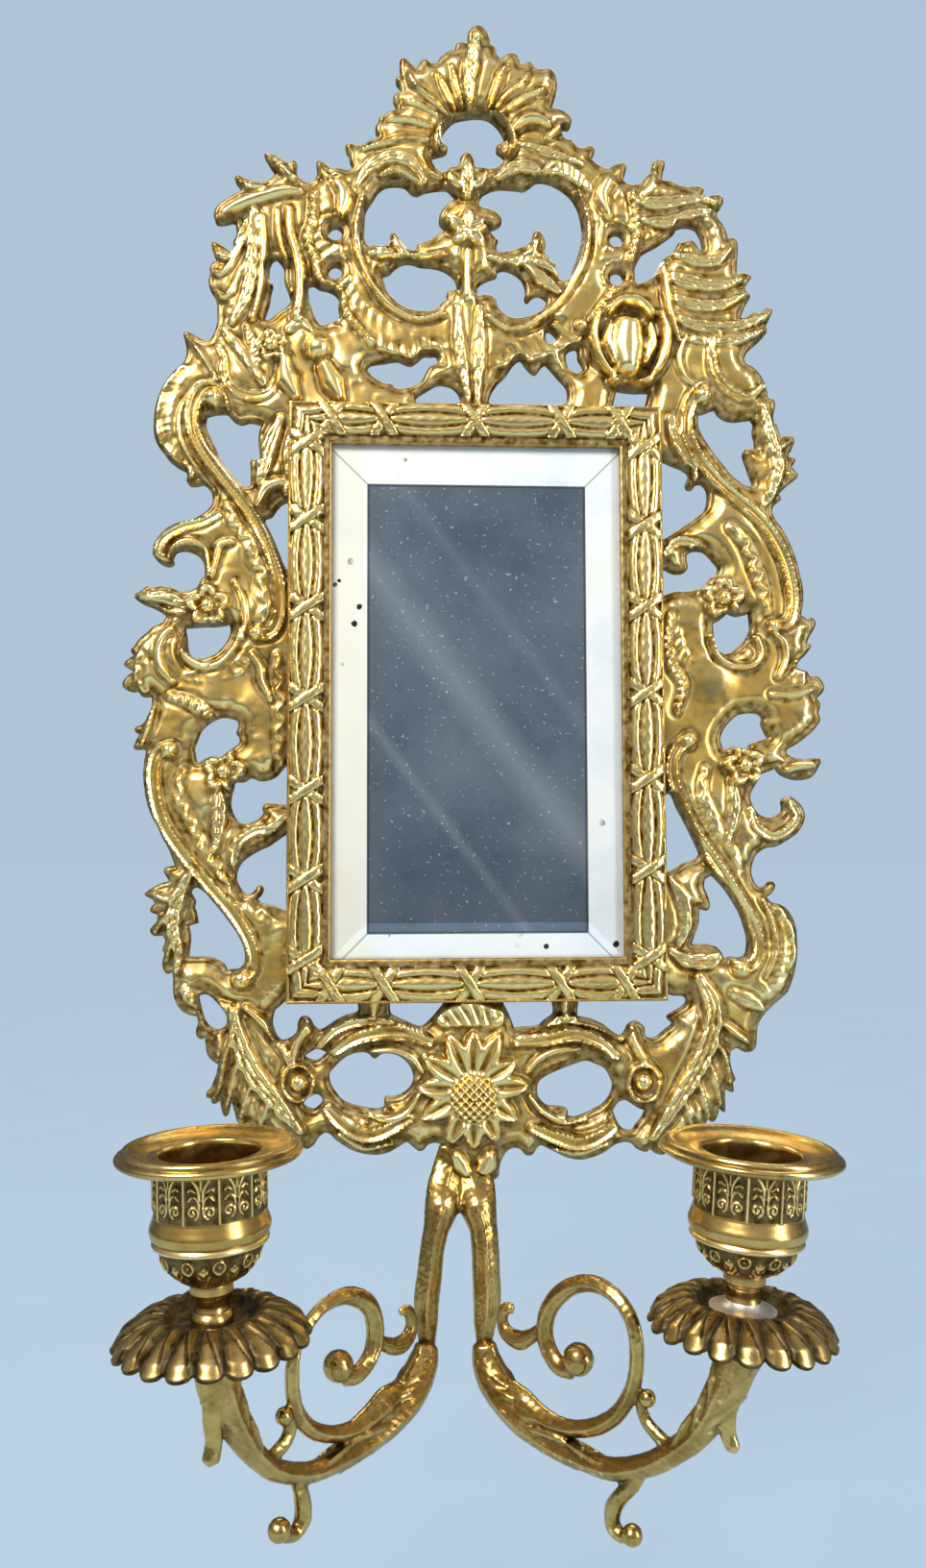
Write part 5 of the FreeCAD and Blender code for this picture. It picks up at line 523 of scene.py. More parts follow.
# ---- the ornament, as strokes on the front view: kind, points, half widths, front --
STROKES = {
 "ground_fl": ("flute", [(350,185),(338,228),(342,275),(362,318),(398,346),(440,362),(478,372)],
   (3.0,5.0,6.2,6.6,5.6,4.6,3.4), 4.3),
 "ground_fr": ("flute", [(634,186),(646,228),(642,270),(624,306),(598,338),(560,358),(514,372)],
   (3.0,5.0,5.6,6.0,5.6,4.6,3.4), 4.3),
 "edge_fl": ("ruffle", [(326,196),(324,224),(318,246),(328,268),(332,286),(352,300),(360,322),(386,352)],
   (1.6,1.7,1.7,1.7,1.7,1.5,1.4), 5.2),
 "edge_fr": ("ruffle", [(660,196),(664,226),(662,250),(654,276),(640,300),(618,330)],
   (1.5,1.7,1.7,1.6,1.4), 5.2),
 "heart_l": ("round", [(378,200),(370,238),(376,270),(390,298),(408,318),(434,330),(462,324)],
   (1.0,1.2,1.2,1.0), 5.2),
 "heart_r": ("round", [(603,196),(613,232),(610,264),(598,290),(580,314),(554,335),(530,340),(508,326)],
   (1.0,1.2,1.2,1.0), 5.2),
 "ruffle_l": ("flute", [(190,384),(174,410),(170,445),(178,470),(197,490)], (2.4,3.2,3.3,3.0,1.6), 4.2, 5.0),
 "ruffle_r": ("flute", [(798,420),(800,445),(806,470),(808,500),(798,520)], (1.8,3.0,3.2,2.0), 4.2, 3.4),
 "lip_l": ("round", [(233,392),(214,396),(196,410),(186,430),(186,452),(197,476),(222,508)],
   (0.7,0.8,0.8,0.6), 4.6),
 "s_ul": ("band", [(230,420),(224,406),(210,402),(201,418),(199,440),(209,465),(231,495),(255,525),
   (275,560),(289,600),(291,635),(282,656),(266,658)], (2.6,2.6,1.9,1.9,2.0,2.0,1.9,2.2), 5.2),
 "s_ur": ("band", [(732,402),(722,414),(716,438),(723,465),(745,495),(773,520),(799,545),(819,580),
   (828,618),(824,645),(806,650)], (2.4,2.2,1.9,2.0,1.9,1.8), 5.2),
 "s_ll": ("band", [(176,778),(162,785),(157,810),(165,850),(186,885),(215,920),(244,955),(260,985),
   (261,1008),(250,1020)], (2.2,2.0,1.9,2.0,2.0,2.0), 5.2),
 "s_lr": ("band", [(720,768),(706,780),(701,805),(716,850),(741,890),(768,930),(788,968),(789,998),
   (776,1010)], (2.2,2.0,1.9,2.0,2.0,2.0), 5.2),
 "wave_ul": ("ruffle", [(237,528),(245,548),(258,560),(262,578),(272,594),(270,612),(276,628),(268,650)],
   (1.9,2.4,2.4,2.2,1.4), 4.6, 5.0),
 "wave_ul2": ("round", [(244,604),(252,622),(254,644),(252,664)], (0.8,1.2,1.2,0.8), 4.8),
 "wave_ur": ("ruffle", [(762,548),(778,566),(788,590),(796,612),(800,636)], (1.6,2.2,2.2,1.2), 4.6, 5.0),
 "wave_ll": ("ruffle", [(190,800),(184,826),(196,852),(210,880),(228,908),(246,940)],
   (1.4,2.0,2.0,1.8,1.2), 4.6, 5.0),
 "wave_lr": ("ruffle", [(736,800),(732,824),(742,850),(756,872),(772,900)], (1.4,2.0,2.0,1.2), 4.6, 5.0),
 "crest_arch": ("round", [(466,155),(456,150),(455,138),(460,126),(470,117),(484,111),(499,109),(514,112),
   (526,120),(534,132),(536,145),(529,152)], (0.9,1.2,1.2,0.9), 6.0),
 "fan_a": ("ridge", [(466,114),(450,100),(432,84),(424,68)], (0.7,1.3,1.4,0.5), 5.0),
 "fan_b": ("ridge", [(474,107),(464,88),(456,72)], (0.7,1.3,1.4,0.6), 5.4),
 "fan_c": ("leaf", [(490,104),(489,76),(493,52),(497,32)], (1.0,2.4,2.8,1.2), 6.4, 3.2),
 "fan_d": ("ridge", [(510,105),(518,86),(524,68),(530,62)], (0.7,1.4,1.4,0.6), 5.6),
 "fan_e": ("ridge", [(516,107),(530,92),(546,80),(552,70)], (0.6,1.2,1.3,0.5), 5.2),
 "fan_f": ("ridge", [(522,112),(544,98),(568,88)], (0.7,1.6,1.6,0.8), 5.4),
 "fan_g": ("round", [(538,128),(548,120),(562,120),(572,126)], (1.2,2.2,2.2,1.4), 5.6),
 "fan_h": ("round", [(572,140),(580,132),(590,124)], (1.0,1.4,1.2), 5.0),
 "fan_i": ("ridge", [(456,116),(438,106),(420,100)], (0.7,1.3,1.2,0.5), 4.8),
 "fan_j": ("ridge", [(450,128),(428,122),(404,120)], (0.7,1.4,1.3,0.6), 4.8),
 "fan_k": ("ridge", [(446,142),(420,142),(398,146),(376,152)], (0.7,1.6,1.4,0.6), 4.6),
 "fan_l": ("leaf", [(540,146),(562,152),(584,160),(606,166)], (1.0,1.8,1.8,0.8), 4.8),
 "fan_m": ("ridge", [(482,104),(476,84),(470,62)], (0.6,1.2,1.2,0.5), 5.4),
 "leaf_al": ("leaf", [(372,188),(382,172),(397,162),(413,159),(429,166),(442,184)], (1.0,2.2,2.2,1.2), 5.0),
 "leaf_al2": ("round", [(396,178),(412,174),(426,180),(440,190)], (0.6,1.0,1.0,0.5), 4.8),
 "leaf_ar": ("leaf", [(520,180),(536,170),(552,170),(566,180)], (1.2,2.2,2.2,1.0), 5.2),
 "leaf_ar2": ("flute", [(566,182),(578,172),(594,176),(614,192)], (1.2,2.4,2.4,1.2), 4.8),
 "mid_leaf": ("leaf", [(487,196),(487,178),(488,164)], (2.0,2.8,2.2,0.8), 5.4),
 "mid_leaf_l": ("leaf", [(482,192),(472,184),(468,176)], (1.0,1.6,0.8), 4.8),
 "mid_leaf_r": ("leaf", [(492,192),(502,184),(506,176)], (1.0,1.6,0.8), 4.8),
 "stem": ("round", [(487,258),(486,280),(487,306)], (1.4,1.6,1.8,2.0), 4.8),
 "column_a": ("flute", [(487,306),(488,350),(492,385),(494,420)], (2.6,4.6,3.8,2.8), 4.6, 3.0),
 "column_b": ("leaf", [(476,316),(478,350),(484,392),(488,416)], (1.0,2.0,2.0,0.9), 5.2),
 "column_c": ("leaf", [(500,316),(500,350),(498,392),(497,416)], (1.0,2.0,2.0,0.9), 5.2),
 "sprig_l": ("round", [(462,262),(440,264),(415,263),(394,263)], (0.9,1.0,1.0,1.2), 4.6),
 "sprig_l2": ("leaf", [(424,262),(414,252),(408,242)], (0.8,1.6,0.8), 4.8),
 "sprig_l3": ("leaf", [(410,264),(400,258),(384,260)], (0.8,1.6,0.8), 4.8),
 "sprig_r": ("leaf", [(512,264),(532,270),(552,262),(560,246)], (1.0,1.5,1.6,0.8), 4.8),
 "sprig_r2": ("leaf", [(548,272),(562,284),(582,300)], (1.0,2.6,1.2), 4.8),
 "sprig_r3": ("leaf", [(550,268),(566,272),(582,282)], (0.8,1.6,0.8), 4.8),
 "frond_a": ("leaf", [(264,214),(256,232),(240,262),(226,262)], (1.2,1.8,1.6,0.7), 4.8),
 "frond_b": ("ridge", [(262,236),(246,262),(230,282),(222,280)], (1.0,1.5,1.5,0.6), 4.6),
 "frond_c": ("ridge", [(262,250),(248,284),(234,306),(222,300)], (1.0,1.6,1.6,0.6), 4.8),
 "frond_d": ("leaf", [(264,216),(262,262),(256,302),(240,332)], (1.6,2.4,2.4,1.0), 5.4),
 "frond_e": ("round", [(272,222),(274,262),(270,300),(262,330)], (1.2,1.6,1.4,0.8), 5.0),
 "tube_l": ("round", [(300,214),(302,240),(310,268),(312,300),(308,326)], (1.6,1.8,2.2,1.8), 5.2),
 "tube_l2": ("round", [(288,216),(290,244),(298,268)], (1.0,1.2,0.8), 4.8),
 "horn_a": ("round", [(312,196),(290,196),(262,204),(240,214),(228,224)], (1.4,2.4,2.6,2.2,1.2), 5.0),
 "horn_b": ("ridge", [(276,192),(262,192),(248,186)], (1.2,1.4,0.6), 4.4),
 "horn_c": ("ridge", [(304,182),(294,172),(280,163)], (1.6,1.6,0.7), 4.6),
 "horn_d": ("ridge", [(346,188),(338,178),(332,170)], (1.2,1.2,0.6), 4.4),
 "horn_e": ("round", [(352,188),(358,200),(354,222)], (2.4,2.8,1.2), 5.0),
 "horn_r": ("leaf", [(662,204),(684,208),(706,206),(730,203),(748,208)], (1.4,2.4,2.2,1.6,0.8), 5.0),
 "horn_r2": ("leaf", [(672,226),(696,228),(720,220),(742,216)], (1.2,2.2,2.0,0.8), 4.8),
 "horn_r3": ("ridge", [(668,200),(680,188),(684,174)], (1.2,1.6,0.7), 4.6),
 "horn_r4": ("round", [(634,186),(628,200),(634,222)], (2.4,2.8,1.2), 5.0),
 "rfrond_a": ("leaf", [(706,262),(728,268),(748,268),(764,254)], (1.2,2.2,1.8,0.7), 5.0),
 "rfrond_b": ("leaf", [(690,282),(720,290),(748,294),(774,288)], (1.4,2.6,2.2,0.8), 5.2),
 "rfrond_c": ("leaf", [(694,304),(724,314),(752,314),(778,304)], (1.2,2.2,2.0,0.8), 5.0),
 "rfrond_d": ("leaf", [(700,326),(728,336),(762,338),(802,326)], (1.2,2.4,2.2,0.9), 5.0),
 "rfrond_e": ("leaf", [(716,350),(744,352),(770,350),(796,342)], (1.0,2.0,1.8,0.7), 4.8),
 "rstem": ("round", [(688,260),(694,290),(698,320),(708,350)], (1.2,1.5,1.5,1.0), 5.2),
 "u_curl_l": ("band", [(226,358),(232,370),(233,388),(243,403),(262,410),(280,406),(288,390)],
   (1.0,1.5,1.5,1.0), 4.8),
 "u_leaf_l": ("leaf", [(232,340),(246,356),(262,378),(274,396)], (1.2,2.0,2.0,1.2), 5.2),
 "u_leaf_l2": ("leaf", [(256,336),(262,354),(268,372)], (1.0,1.8,1.2), 5.2),
 "spur_l": ("ridge", [(194,350),(208,366),(224,392)], (0.8,1.6,0.8), 4.4),
 "u_curl_r": ("band", [(742,352),(742,370),(748,390),(762,405),(780,412),(796,400)],
   (1.0,1.5,1.5,1.0), 4.8),
 "u_curl_r2": ("round", [(716,346),(708,368),(712,388),(724,400)], (0.8,1.2,1.2,0.8), 4.8),
 "collar_l": ("leaf", [(300,340),(312,332),(322,340)], (1.6,2.2,1.0), 4.8),
 "side_leaf_l": ("leaf", [(292,434),(284,452),(276,474),(270,500)], (1.6,2.8,3.0,1.6), 4.6),
 "side_leaf_l2": ("leaf", [(304,446),(300,468),(300,490)], (1.4,2.0,1.4), 4.8),
 "side_cup_l": ("round", [(268,522),(276,506),(292,500),(304,504)], (1.4,2.2,2.0,1.2), 4.8),
 "side_leaf_r": ("leaf", [(700,434),(704,452),(716,474),(726,496)], (1.6,2.4,2.4,1.2), 4.6),
 "side_cup_r": ("round", [(728,520),(716,504),(702,500),(690,504)], (1.2,2.0,2.0,1.2), 4.8),
 "frond_ru": ("leaf", [(796,420),(804,452),(812,482),(804,516)], (1.2,2.2,2.4,1.2), 4.8),
 "frond_ru2": ("ridge", [(808,470),(818,462),(824,458)], (0.8,1.2,0.6), 4.4),
 "curl_ml": ("band", [(182,588),(170,584),(164,572),(170,558),(190,547),(210,542),(226,534)],
   (1.2,1.5,1.5,1.6,1.2), 4.6),
 "curl_ml2": ("round", [(176,580),(178,570),(190,562),(206,564),(214,574),(216,596)],
   (0.9,1.2,1.1,1.0), 4.8),
 "curl_ml3": ("round", [(240,562),(228,566),(224,580),(220,598)], (1.2,1.5,1.2,0.9), 5.0),
 "curl_mr": ("band", [(742,584),(726,566),(708,562),(694,574)], (1.0,1.6,1.6,1.0), 4.8),
 "spray_l": ("leaf", [(144,620),(166,620),(190,628)], (1.0,2.2,1.8), 4.8),
 "spray_l2": ("ridge", [(150,628),(170,634),(192,636)], (0.8,1.4,1.0), 4.4),
 "shell_l1": ("round", [(192,664),(190,680),(204,692),(226,690),(242,674),(250,654)],
   (1.4,1.4,1.2,1.2,1.1,0.9), 5.0),
 "shell_l2": ("round", [(178,652),(168,662),(163,678),(166,694),(178,708)], (1.0,1.5,1.5,1.2), 4.8),
 "shell_l3": ("flute", [(160,664),(150,680),(146,700),(150,716)], (1.6,2.6,3.0,1.6), 4.2, 2.6),
 "shell_l4": ("flute", [(196,704),(222,702),(246,694),(262,676)], (2.0,2.8,2.8,1.6), 4.3),
 "shell_l5": ("round", [(262,680),(270,694),(272,708),(282,728)], (1.2,1.8,1.6,0.9), 5.0),
 "shell_l6": ("ruffle", [(176,724),(196,730),(216,744),(222,760)], (1.6,2.2,2.0,1.2), 4.8),
 "shell_l7": ("ruffle", [(288,680),(290,706),(292,736),(290,766),(292,800)], (1.6,2.2,2.4,2.0,1.2), 4.6, 6.0),
 "shell_l8": ("ridge", [(158,734),(154,752),(146,774)], (1.2,1.6,0.7), 4.4),
 "shell_r1": ("round", [(790,664),(794,680),(784,692),(764,692),(748,680),(742,660)],
   (1.4,1.4,1.2,1.2,1.1,0.9), 5.0),
 "shell_r2": ("round", [(806,656),(818,668),(820,686),(812,704)], (1.0,1.5,1.4,1.0), 4.8),
 "shell_r3": ("flute", [(836,690),(832,708),(826,726)], (2.0,2.8,1.6), 4.2, 2.6),
 "shell_r4": ("flute", [(702,640),(706,672),(724,696),(752,704)], (2.0,2.8,2.8,1.6), 4.3),
 "shell_r5": ("ruffle", [(700,640),(694,664),(700,690),(712,712),(706,740)], (1.4,2.0,2.2,1.8,1.2), 4.8),
 "shell_r6": ("ridge", [(850,716),(830,722),(806,722)], (0.8,1.6,1.2), 4.6),
 "leaf_hl": ("leaf", [(226,818),(228,842),(226,862),(222,886)], (1.2,2.6,2.2,0.8), 5.0),
 "leaf_hr": ("leaf", [(764,812),(766,834),(764,852),(760,876)], (1.2,2.4,2.0,0.8), 5.0),
 "c_curl_l": ("band", [(296,850),(282,862),(262,866),(246,880),(244,900),(254,918)],
   (1.2,1.4,1.4,1.0), 4.6),
 "c_curl_r": ("band", [(826,836),(832,850),(822,864),(806,870),(790,860),(784,842)],
   (1.2,1.5,1.5,1.1), 4.8),
 "hook_r": ("round", [(850,796),(830,798),(814,804),(800,812)], (0.9,1.4,1.4,1.2), 4.8),
 "frond_l1": ("leaf", [(198,906),(186,930),(178,960),(184,990),(182,1012)], (1.2,2.4,2.8,2.0,0.8), 4.8),
 "frond_l2": ("ridge", [(184,928),(172,936),(158,930)], (1.0,1.5,0.7), 4.4),
 "frond_l3": ("ridge", [(182,950),(170,956),(160,970)], (1.0,1.5,0.7), 4.4),
 "frond_l4": ("ridge", [(184,972),(176,984),(172,1000)], (1.0,1.4,0.7), 4.4),
 "border_ll": ("flute", [(272,950),(286,966),(300,984),(304,1004)], (1.6,2.6,2.6,1.6), 4.3),
 "border_lr": ("flute", [(806,940),(818,964),(822,992),(812,1024)], (1.6,2.8,3.0,1.6), 4.3, 4.6),
 "lip_lr": ("round", [(796,936),(806,962),(808,992),(798,1018)], (0.6,0.8,0.8,0.6), 4.6),
 "border_bl": ("ruffle", [(188,1030),(204,1044),(226,1050),(252,1050)], (1.6,2.4,2.2,1.4), 4.6),
 "mid_lr": ("leaf", [(700,916),(712,938),(716,962),(708,984)], (1.2,2.4,2.2,1.2), 4.6),
 "aca_l1": ("leaf", [(242,1056),(248,1086),(262,1118),(286,1148),(312,1180)],
            (1.8,3.4,3.6,3.0,1.2), 5.6, 3.4),
 "aca_l2": ("ridge", [(240,1080),(232,1104),(228,1130),(222,1144)], (1.0,1.6,1.4,0.6), 4.8),
 "aca_l3": ("ridge", [(248,1100),(240,1130),(236,1156)], (1.0,1.6,1.4,0.6), 4.8),
 "aca_l4": ("ridge", [(262,1128),(254,1146),(250,1164)], (1.0,1.6,0.7), 4.8),
 "aca_l5": ("ridge", [(280,1146),(274,1162),(270,1174)], (1.0,1.6,0.7), 4.8),
 "aca_l6": ("ridge", [(224,1064),(228,1084),(226,1100)], (1.0,1.6,0.7), 4.6),
 "aca_l7": ("round", [(256,1050),(276,1068),(294,1092),(300,1110)], (1.2,1.8,1.6,1.0), 5.2),
 "aca_r1": ("leaf", [(730,1018),(744,1048),(740,1084),(724,1120),(704,1152),(682,1186)],
   (1.8,3.4,3.8,3.4,2.6,1.2), 5.6, 3.4),
 "aca_r2": ("ridge", [(752,1064),(768,1076),(782,1086)], (1.2,1.8,0.8), 4.8),
 "aca_r3": ("ridge", [(748,1084),(758,1104),(762,1128)], (1.0,1.6,0.7), 4.8),
 "aca_r4": ("ridge", [(740,1104),(748,1130),(752,1152)], (1.0,1.6,0.7), 4.8),
 "aca_r5": ("ridge", [(728,1124),(734,1144),(740,1164)], (1.0,1.6,0.7), 4.8),
 "aca_r6": ("ridge", [(714,1144),(718,1160),(722,1172)], (1.0,1.5,0.7), 4.8),
 "aca_r7": ("leaf", [(764,1034),(784,1044),(796,1050)], (1.6,2.4,1.2), 4.8),
 "cap_r": ("leaf", [(700,990),(716,1000),(738,1002),(754,996)], (1.4,2.6,2.6,1.2), 5.2),
 "bell": ("flute", [(464,1060),(490,1056),(516,1060)], (3.4,4.6,3.4), 5.2, 2.0),
 "apron_tl": ("band", [(447,1086),(428,1078),(400,1076),(372,1082),(348,1096)], (1.6,2.4,2.2,1.4), 5.4),
 "apron_tl2": ("band", [(330,1092),(352,1072),(384,1064),(420,1068)], (1.0,1.4,1.4,1.0), 4.8),
 "apron_bl": ("band", [(340,1156),(356,1172),(380,1184),(404,1178),(426,1166)], (1.6,2.4,2.2,1.4), 5.4),
 "apron_bl2": ("ridge", [(352,1182),(378,1196),(408,1192)], (0.8,1.2,0.8), 4.6),
 "apron_tr": ("band", [(540,1086),(566,1084),(600,1078),(626,1086),(642,1100)], (1.6,2.2,2.2,1.4), 5.4),
 "apron_tr2": ("band", [(560,1068),(592,1062),(624,1068),(648,1082)], (1.0,1.4,1.4,1.0), 4.8),
 "apron_br": ("band", [(556,1176),(580,1186),(604,1192),(628,1184),(650,1166)], (1.6,2.4,2.2,1.4), 5.4),
 "apron_br2": ("ridge", [(578,1198),(604,1202),(634,1192)], (0.8,1.2,0.8), 4.6),
 "inner_l1": ("round", [(440,1116),(430,1102),(412,1094),(388,1094)], (0.9,1.3,1.3,0.8), 4.8),
 "inner_l2": ("round", [(436,1140),(424,1158),(404,1166),(384,1162)], (0.9,1.3,1.3,0.8), 4.8),
 "inner_r1": ("round", [(550,1116),(562,1102),(580,1094),(604,1092)], (0.9,1.3,1.3,0.8), 4.8),
 "inner_r2": ("round", [(552,1142),(566,1158),(586,1168),(610,1166)], (0.9,1.3,1.3,0.8), 4.8),
 "post_l": ("round", [(322,1056),(320,1070),(308,1086),(304,1106)], (1.2,1.8,1.8,1.4), 5.0),
 "post_r": ("round", [(654,1062),(660,1082),(668,1098),(674,1110)], (1.2,1.8,1.8,1.4), 5.0),
 "ring_l": ("round", [(326,1128),(320,1144),(304,1146),(294,1132),(298,1114),(314,1110),(326,1122)],
   (0.7,0.9,0.9,0.7), 5.0),
 "ring_r": ("round", [(688,1128),(682,1144),(666,1146),(656,1132),(660,1114),(676,1110),(688,1122)],
   (0.7,0.9,0.9,0.7), 5.0),
 "tab_l": ("ridge", [(390,1036),(390,1048),(388,1060)], (2.4,2.0,1.2), 4.4),
 "tab_r": ("ridge", [(589,1036),(589,1048),(590,1060)], (2.0,1.8,1.2), 4.4),
 "tab_b1": ("round", [(476,1205),(480,1214),(486,1222)], (2.4,3.4,2.4), 5.4),
 "tab_b2": ("round", [(510,1205),(507,1214),(502,1222)], (2.4,3.4,2.4), 5.4),
}
BLOSSOMS = {
 "flower_ul": ((215,629), 6.7, 5, 6.2, 0.20), "flower_ur": ((756,621), 6.5, 5, 6.2, 0.30),
 "flower_ll": ((232,802), 6.3, 5, 6.2, 0.35), "flower_lr": ((778,796), 6.3, 5, 6.2, 0.1),
 "bud_flower": ((282,356), 4.9, 5, 5.6, 0.1),
}
TOP_FLOWER = ((487,238), [(488,212),(462,220),(514,226),(472,246),(506,250)], 2.6, 5.9)
ROSE = [([(636,318),(650,309),(668,311),(680,322)], [1.6,2.2,2.2,1.6], 6.4),
 ([(626,322),(620,345),(628,372),(642,388)], [1.0,2.0,2.0,1.0], 6.3),
 ([(690,322),(696,345),(690,372),(680,388)], [1.0,2.2,2.2,1.0], 6.3),
 ([(640,392),(658,400),(678,392)], [1.6,2.8,1.6], 6.0),
 ([(637,335),(634,352),(640,372)], [1.4,2.4,1.2], 6.8),
 ([(678,335),(680,352),(674,372)], [1.4,2.4,1.2], 6.8),
 ([(656,336),(655,354),(656,374)], [5.2,6.4,4.6], 7.5),
 ([(338,378),(346,394),(353,410)], [2.8,4.0,2.4], 6.0),
 ([(296,370),(298,388),(308,410)], [2.0,3.9,2.0], 5.6)]
ROSE_PITS = [((657,324), 3.6, 1.7)]
BULBS = [((331,358), 4.3, 6.2), ((400,275), 1.6, 5.2),
 ((220,410), 3.0, 5.7), ((734,408), 3.0, 5.7), ((174,780), 2.6, 5.6), ((718,770), 2.6, 5.6),
 ((266,657), 2.6, 5.8), ((808,650), 2.5, 5.8), ((250,1020), 3.2, 5.8), ((774,1009), 3.0, 5.8),
 ((310,1128), 3.0, 5.8), ((672,1127), 3.0, 5.8), ((607,335), 2.2, 5.4), ((298,508), 1.8, 5.2)]
SUN_TIPS = [(441,1101),(439,1166),(538,1106),(539,1168),(433,1133),(553,1131),(468,1193),(519,1190),
            (494,1199),
 (494,1074),(467,1077),(521,1077)]
TIES = [(322,538),(318,630),(318,725),(320,822),(322,915),(670,545),(668,630),(675,720),(675,810),
 (675,905),(400,440),(495,440),(585,435),(400,1020),(490,1020),(585,1020)]

for item in STROKES.values():
    kind, points, widths, front = item[:4]
    stroke(kind, points, widths, front, pitch=item[4] if len(item) > 4 else 2.4)
for centre, r, petals, front, turn in BLOSSOMS.values():
    blossom(centre, r, petals, front + 1.6, turn)
for centre, r, front in BULBS:
    dome(centre, r, front + 1.6, 0.3)
flower_mid, tips, half, front = TOP_FLOWER
for tip in tips:
    petal(flower_mid, tip, half, front + 1.4)
dome(flower_mid, 1.7, front + 1.9)
for points, widths, front in ROSE:
    stroke("round", points, widths, front)
for centre, r, depth in ROSE_PITS:
    c = seen([centre], 6.0)[0]
    d = np.hypot((XX - c[0]) * 0.8, ZZ - c[1])
    H -= depth * (1 - soft_step(d, 0.5 * r, r)) * (d < r)
sun = (492, 1135)
for tip in SUN_TIPS:
    base = [c + 0.30 * (t - c) for c, t in zip(sun, tip)]
    petal(base, tip, 4.3, 7.6, 3.2, 0.42)
sx, sz = XX - BOSS[0], ZZ - BOSS[1]
sun_d = np.hypot(sx, sz)
H = np.where(sun_d < SEED_R + 1.4, H * soft_step(sun_d, SEED_R - 0.4, SEED_R + 1.5)
             + 7.0 * (1 - soft_step(sun_d, SEED_R - 0.4, SEED_R + 1.5)), H)
H = 0.30 * H + 0.70 * blur(H, 2)
soft_edge = soft_step(near_d, -0.35, 1.3)
H = 1.9 + (H - 1.9) * soft_edge
for x, z in WALL_HOLES:
    d = np.hypot(XX - x, ZZ - z)
    H = np.where(d < 4.2, np.minimum(H, 3.1 + 0.5 * soft_step(d, 2.6, 4.2)), H)
CAVITY = np.clip((H - blur(H, 14)) / 0.75 + 0.5 * (H - 3.7) / 2.4, -1, 0.72)

# ---- materials ------------------------------------------------------------------------------
def node(tree, kind, **sockets):
    n = tree.nodes.new(kind)
    for key, value in sockets.items():
        n.inputs[key.replace("_", " ")].default_value = value
    return n


def ramp(tree, source, stops):
    r = tree.nodes.new("ShaderNodeValToRGB")
    tree.links.new(source, r.inputs["Fac"])
    e = r.color_ramp.elements
    while len(e) < len(stops):
        e.new(0.5)
    for item, (pos, colour) in zip(e, stops):
        item.position = pos
        item.color = (*colour, 1) if len(colour) == 3 else colour
    return r.outputs["Color"]


def maths(tree, op, a, b, clamp=False):
    m = tree.nodes.new("ShaderNodeMath")
    m.operation = op
    m.use_clamp = clamp
    for k, v in enumerate((a, b)):
        if isinstance(v, (int, float)):
            m.inputs[k].default_value = v
        else:
            tree.links.new(v, m.inputs[k])
    return m.outputs[0]


def mix(tree, fac, a, b):
    m = tree.nodes.new("ShaderNodeMix")
    m.data_type = "RGBA"
    for k, v in ((0, fac), (6, a), (7, b)):
        if isinstance(v, (int, float)):
            m.inputs[k].default_value = v
        elif isinstance(v, tuple):
            m.inputs[k].default_value = (*v, 1)
        else:
            tree.links.new(v, m.inputs[k])
    return m.outputs[2]


def new_material(name):
    m = bpy.data.materials.new(name)
    m.use_nodes = True
    t = m.node_tree
    bsdf = next(n for n in t.nodes if n.type == "BSDF_PRINCIPLED")
    coord = t.nodes.new("ShaderNodeTexCoord").outputs["Object"]
    return m, t, bsdf, coord


def grain(t, coord, scale, detail=3.0, rough=0.55, distortion=0.0):
    n = node(t, "ShaderNodeTexNoise", Scale=scale, Detail=detail, Roughness=rough,
             Distortion=distortion)
    t.links.new(coord, n.inputs["Vector"])
    return n.outputs["Fac"]


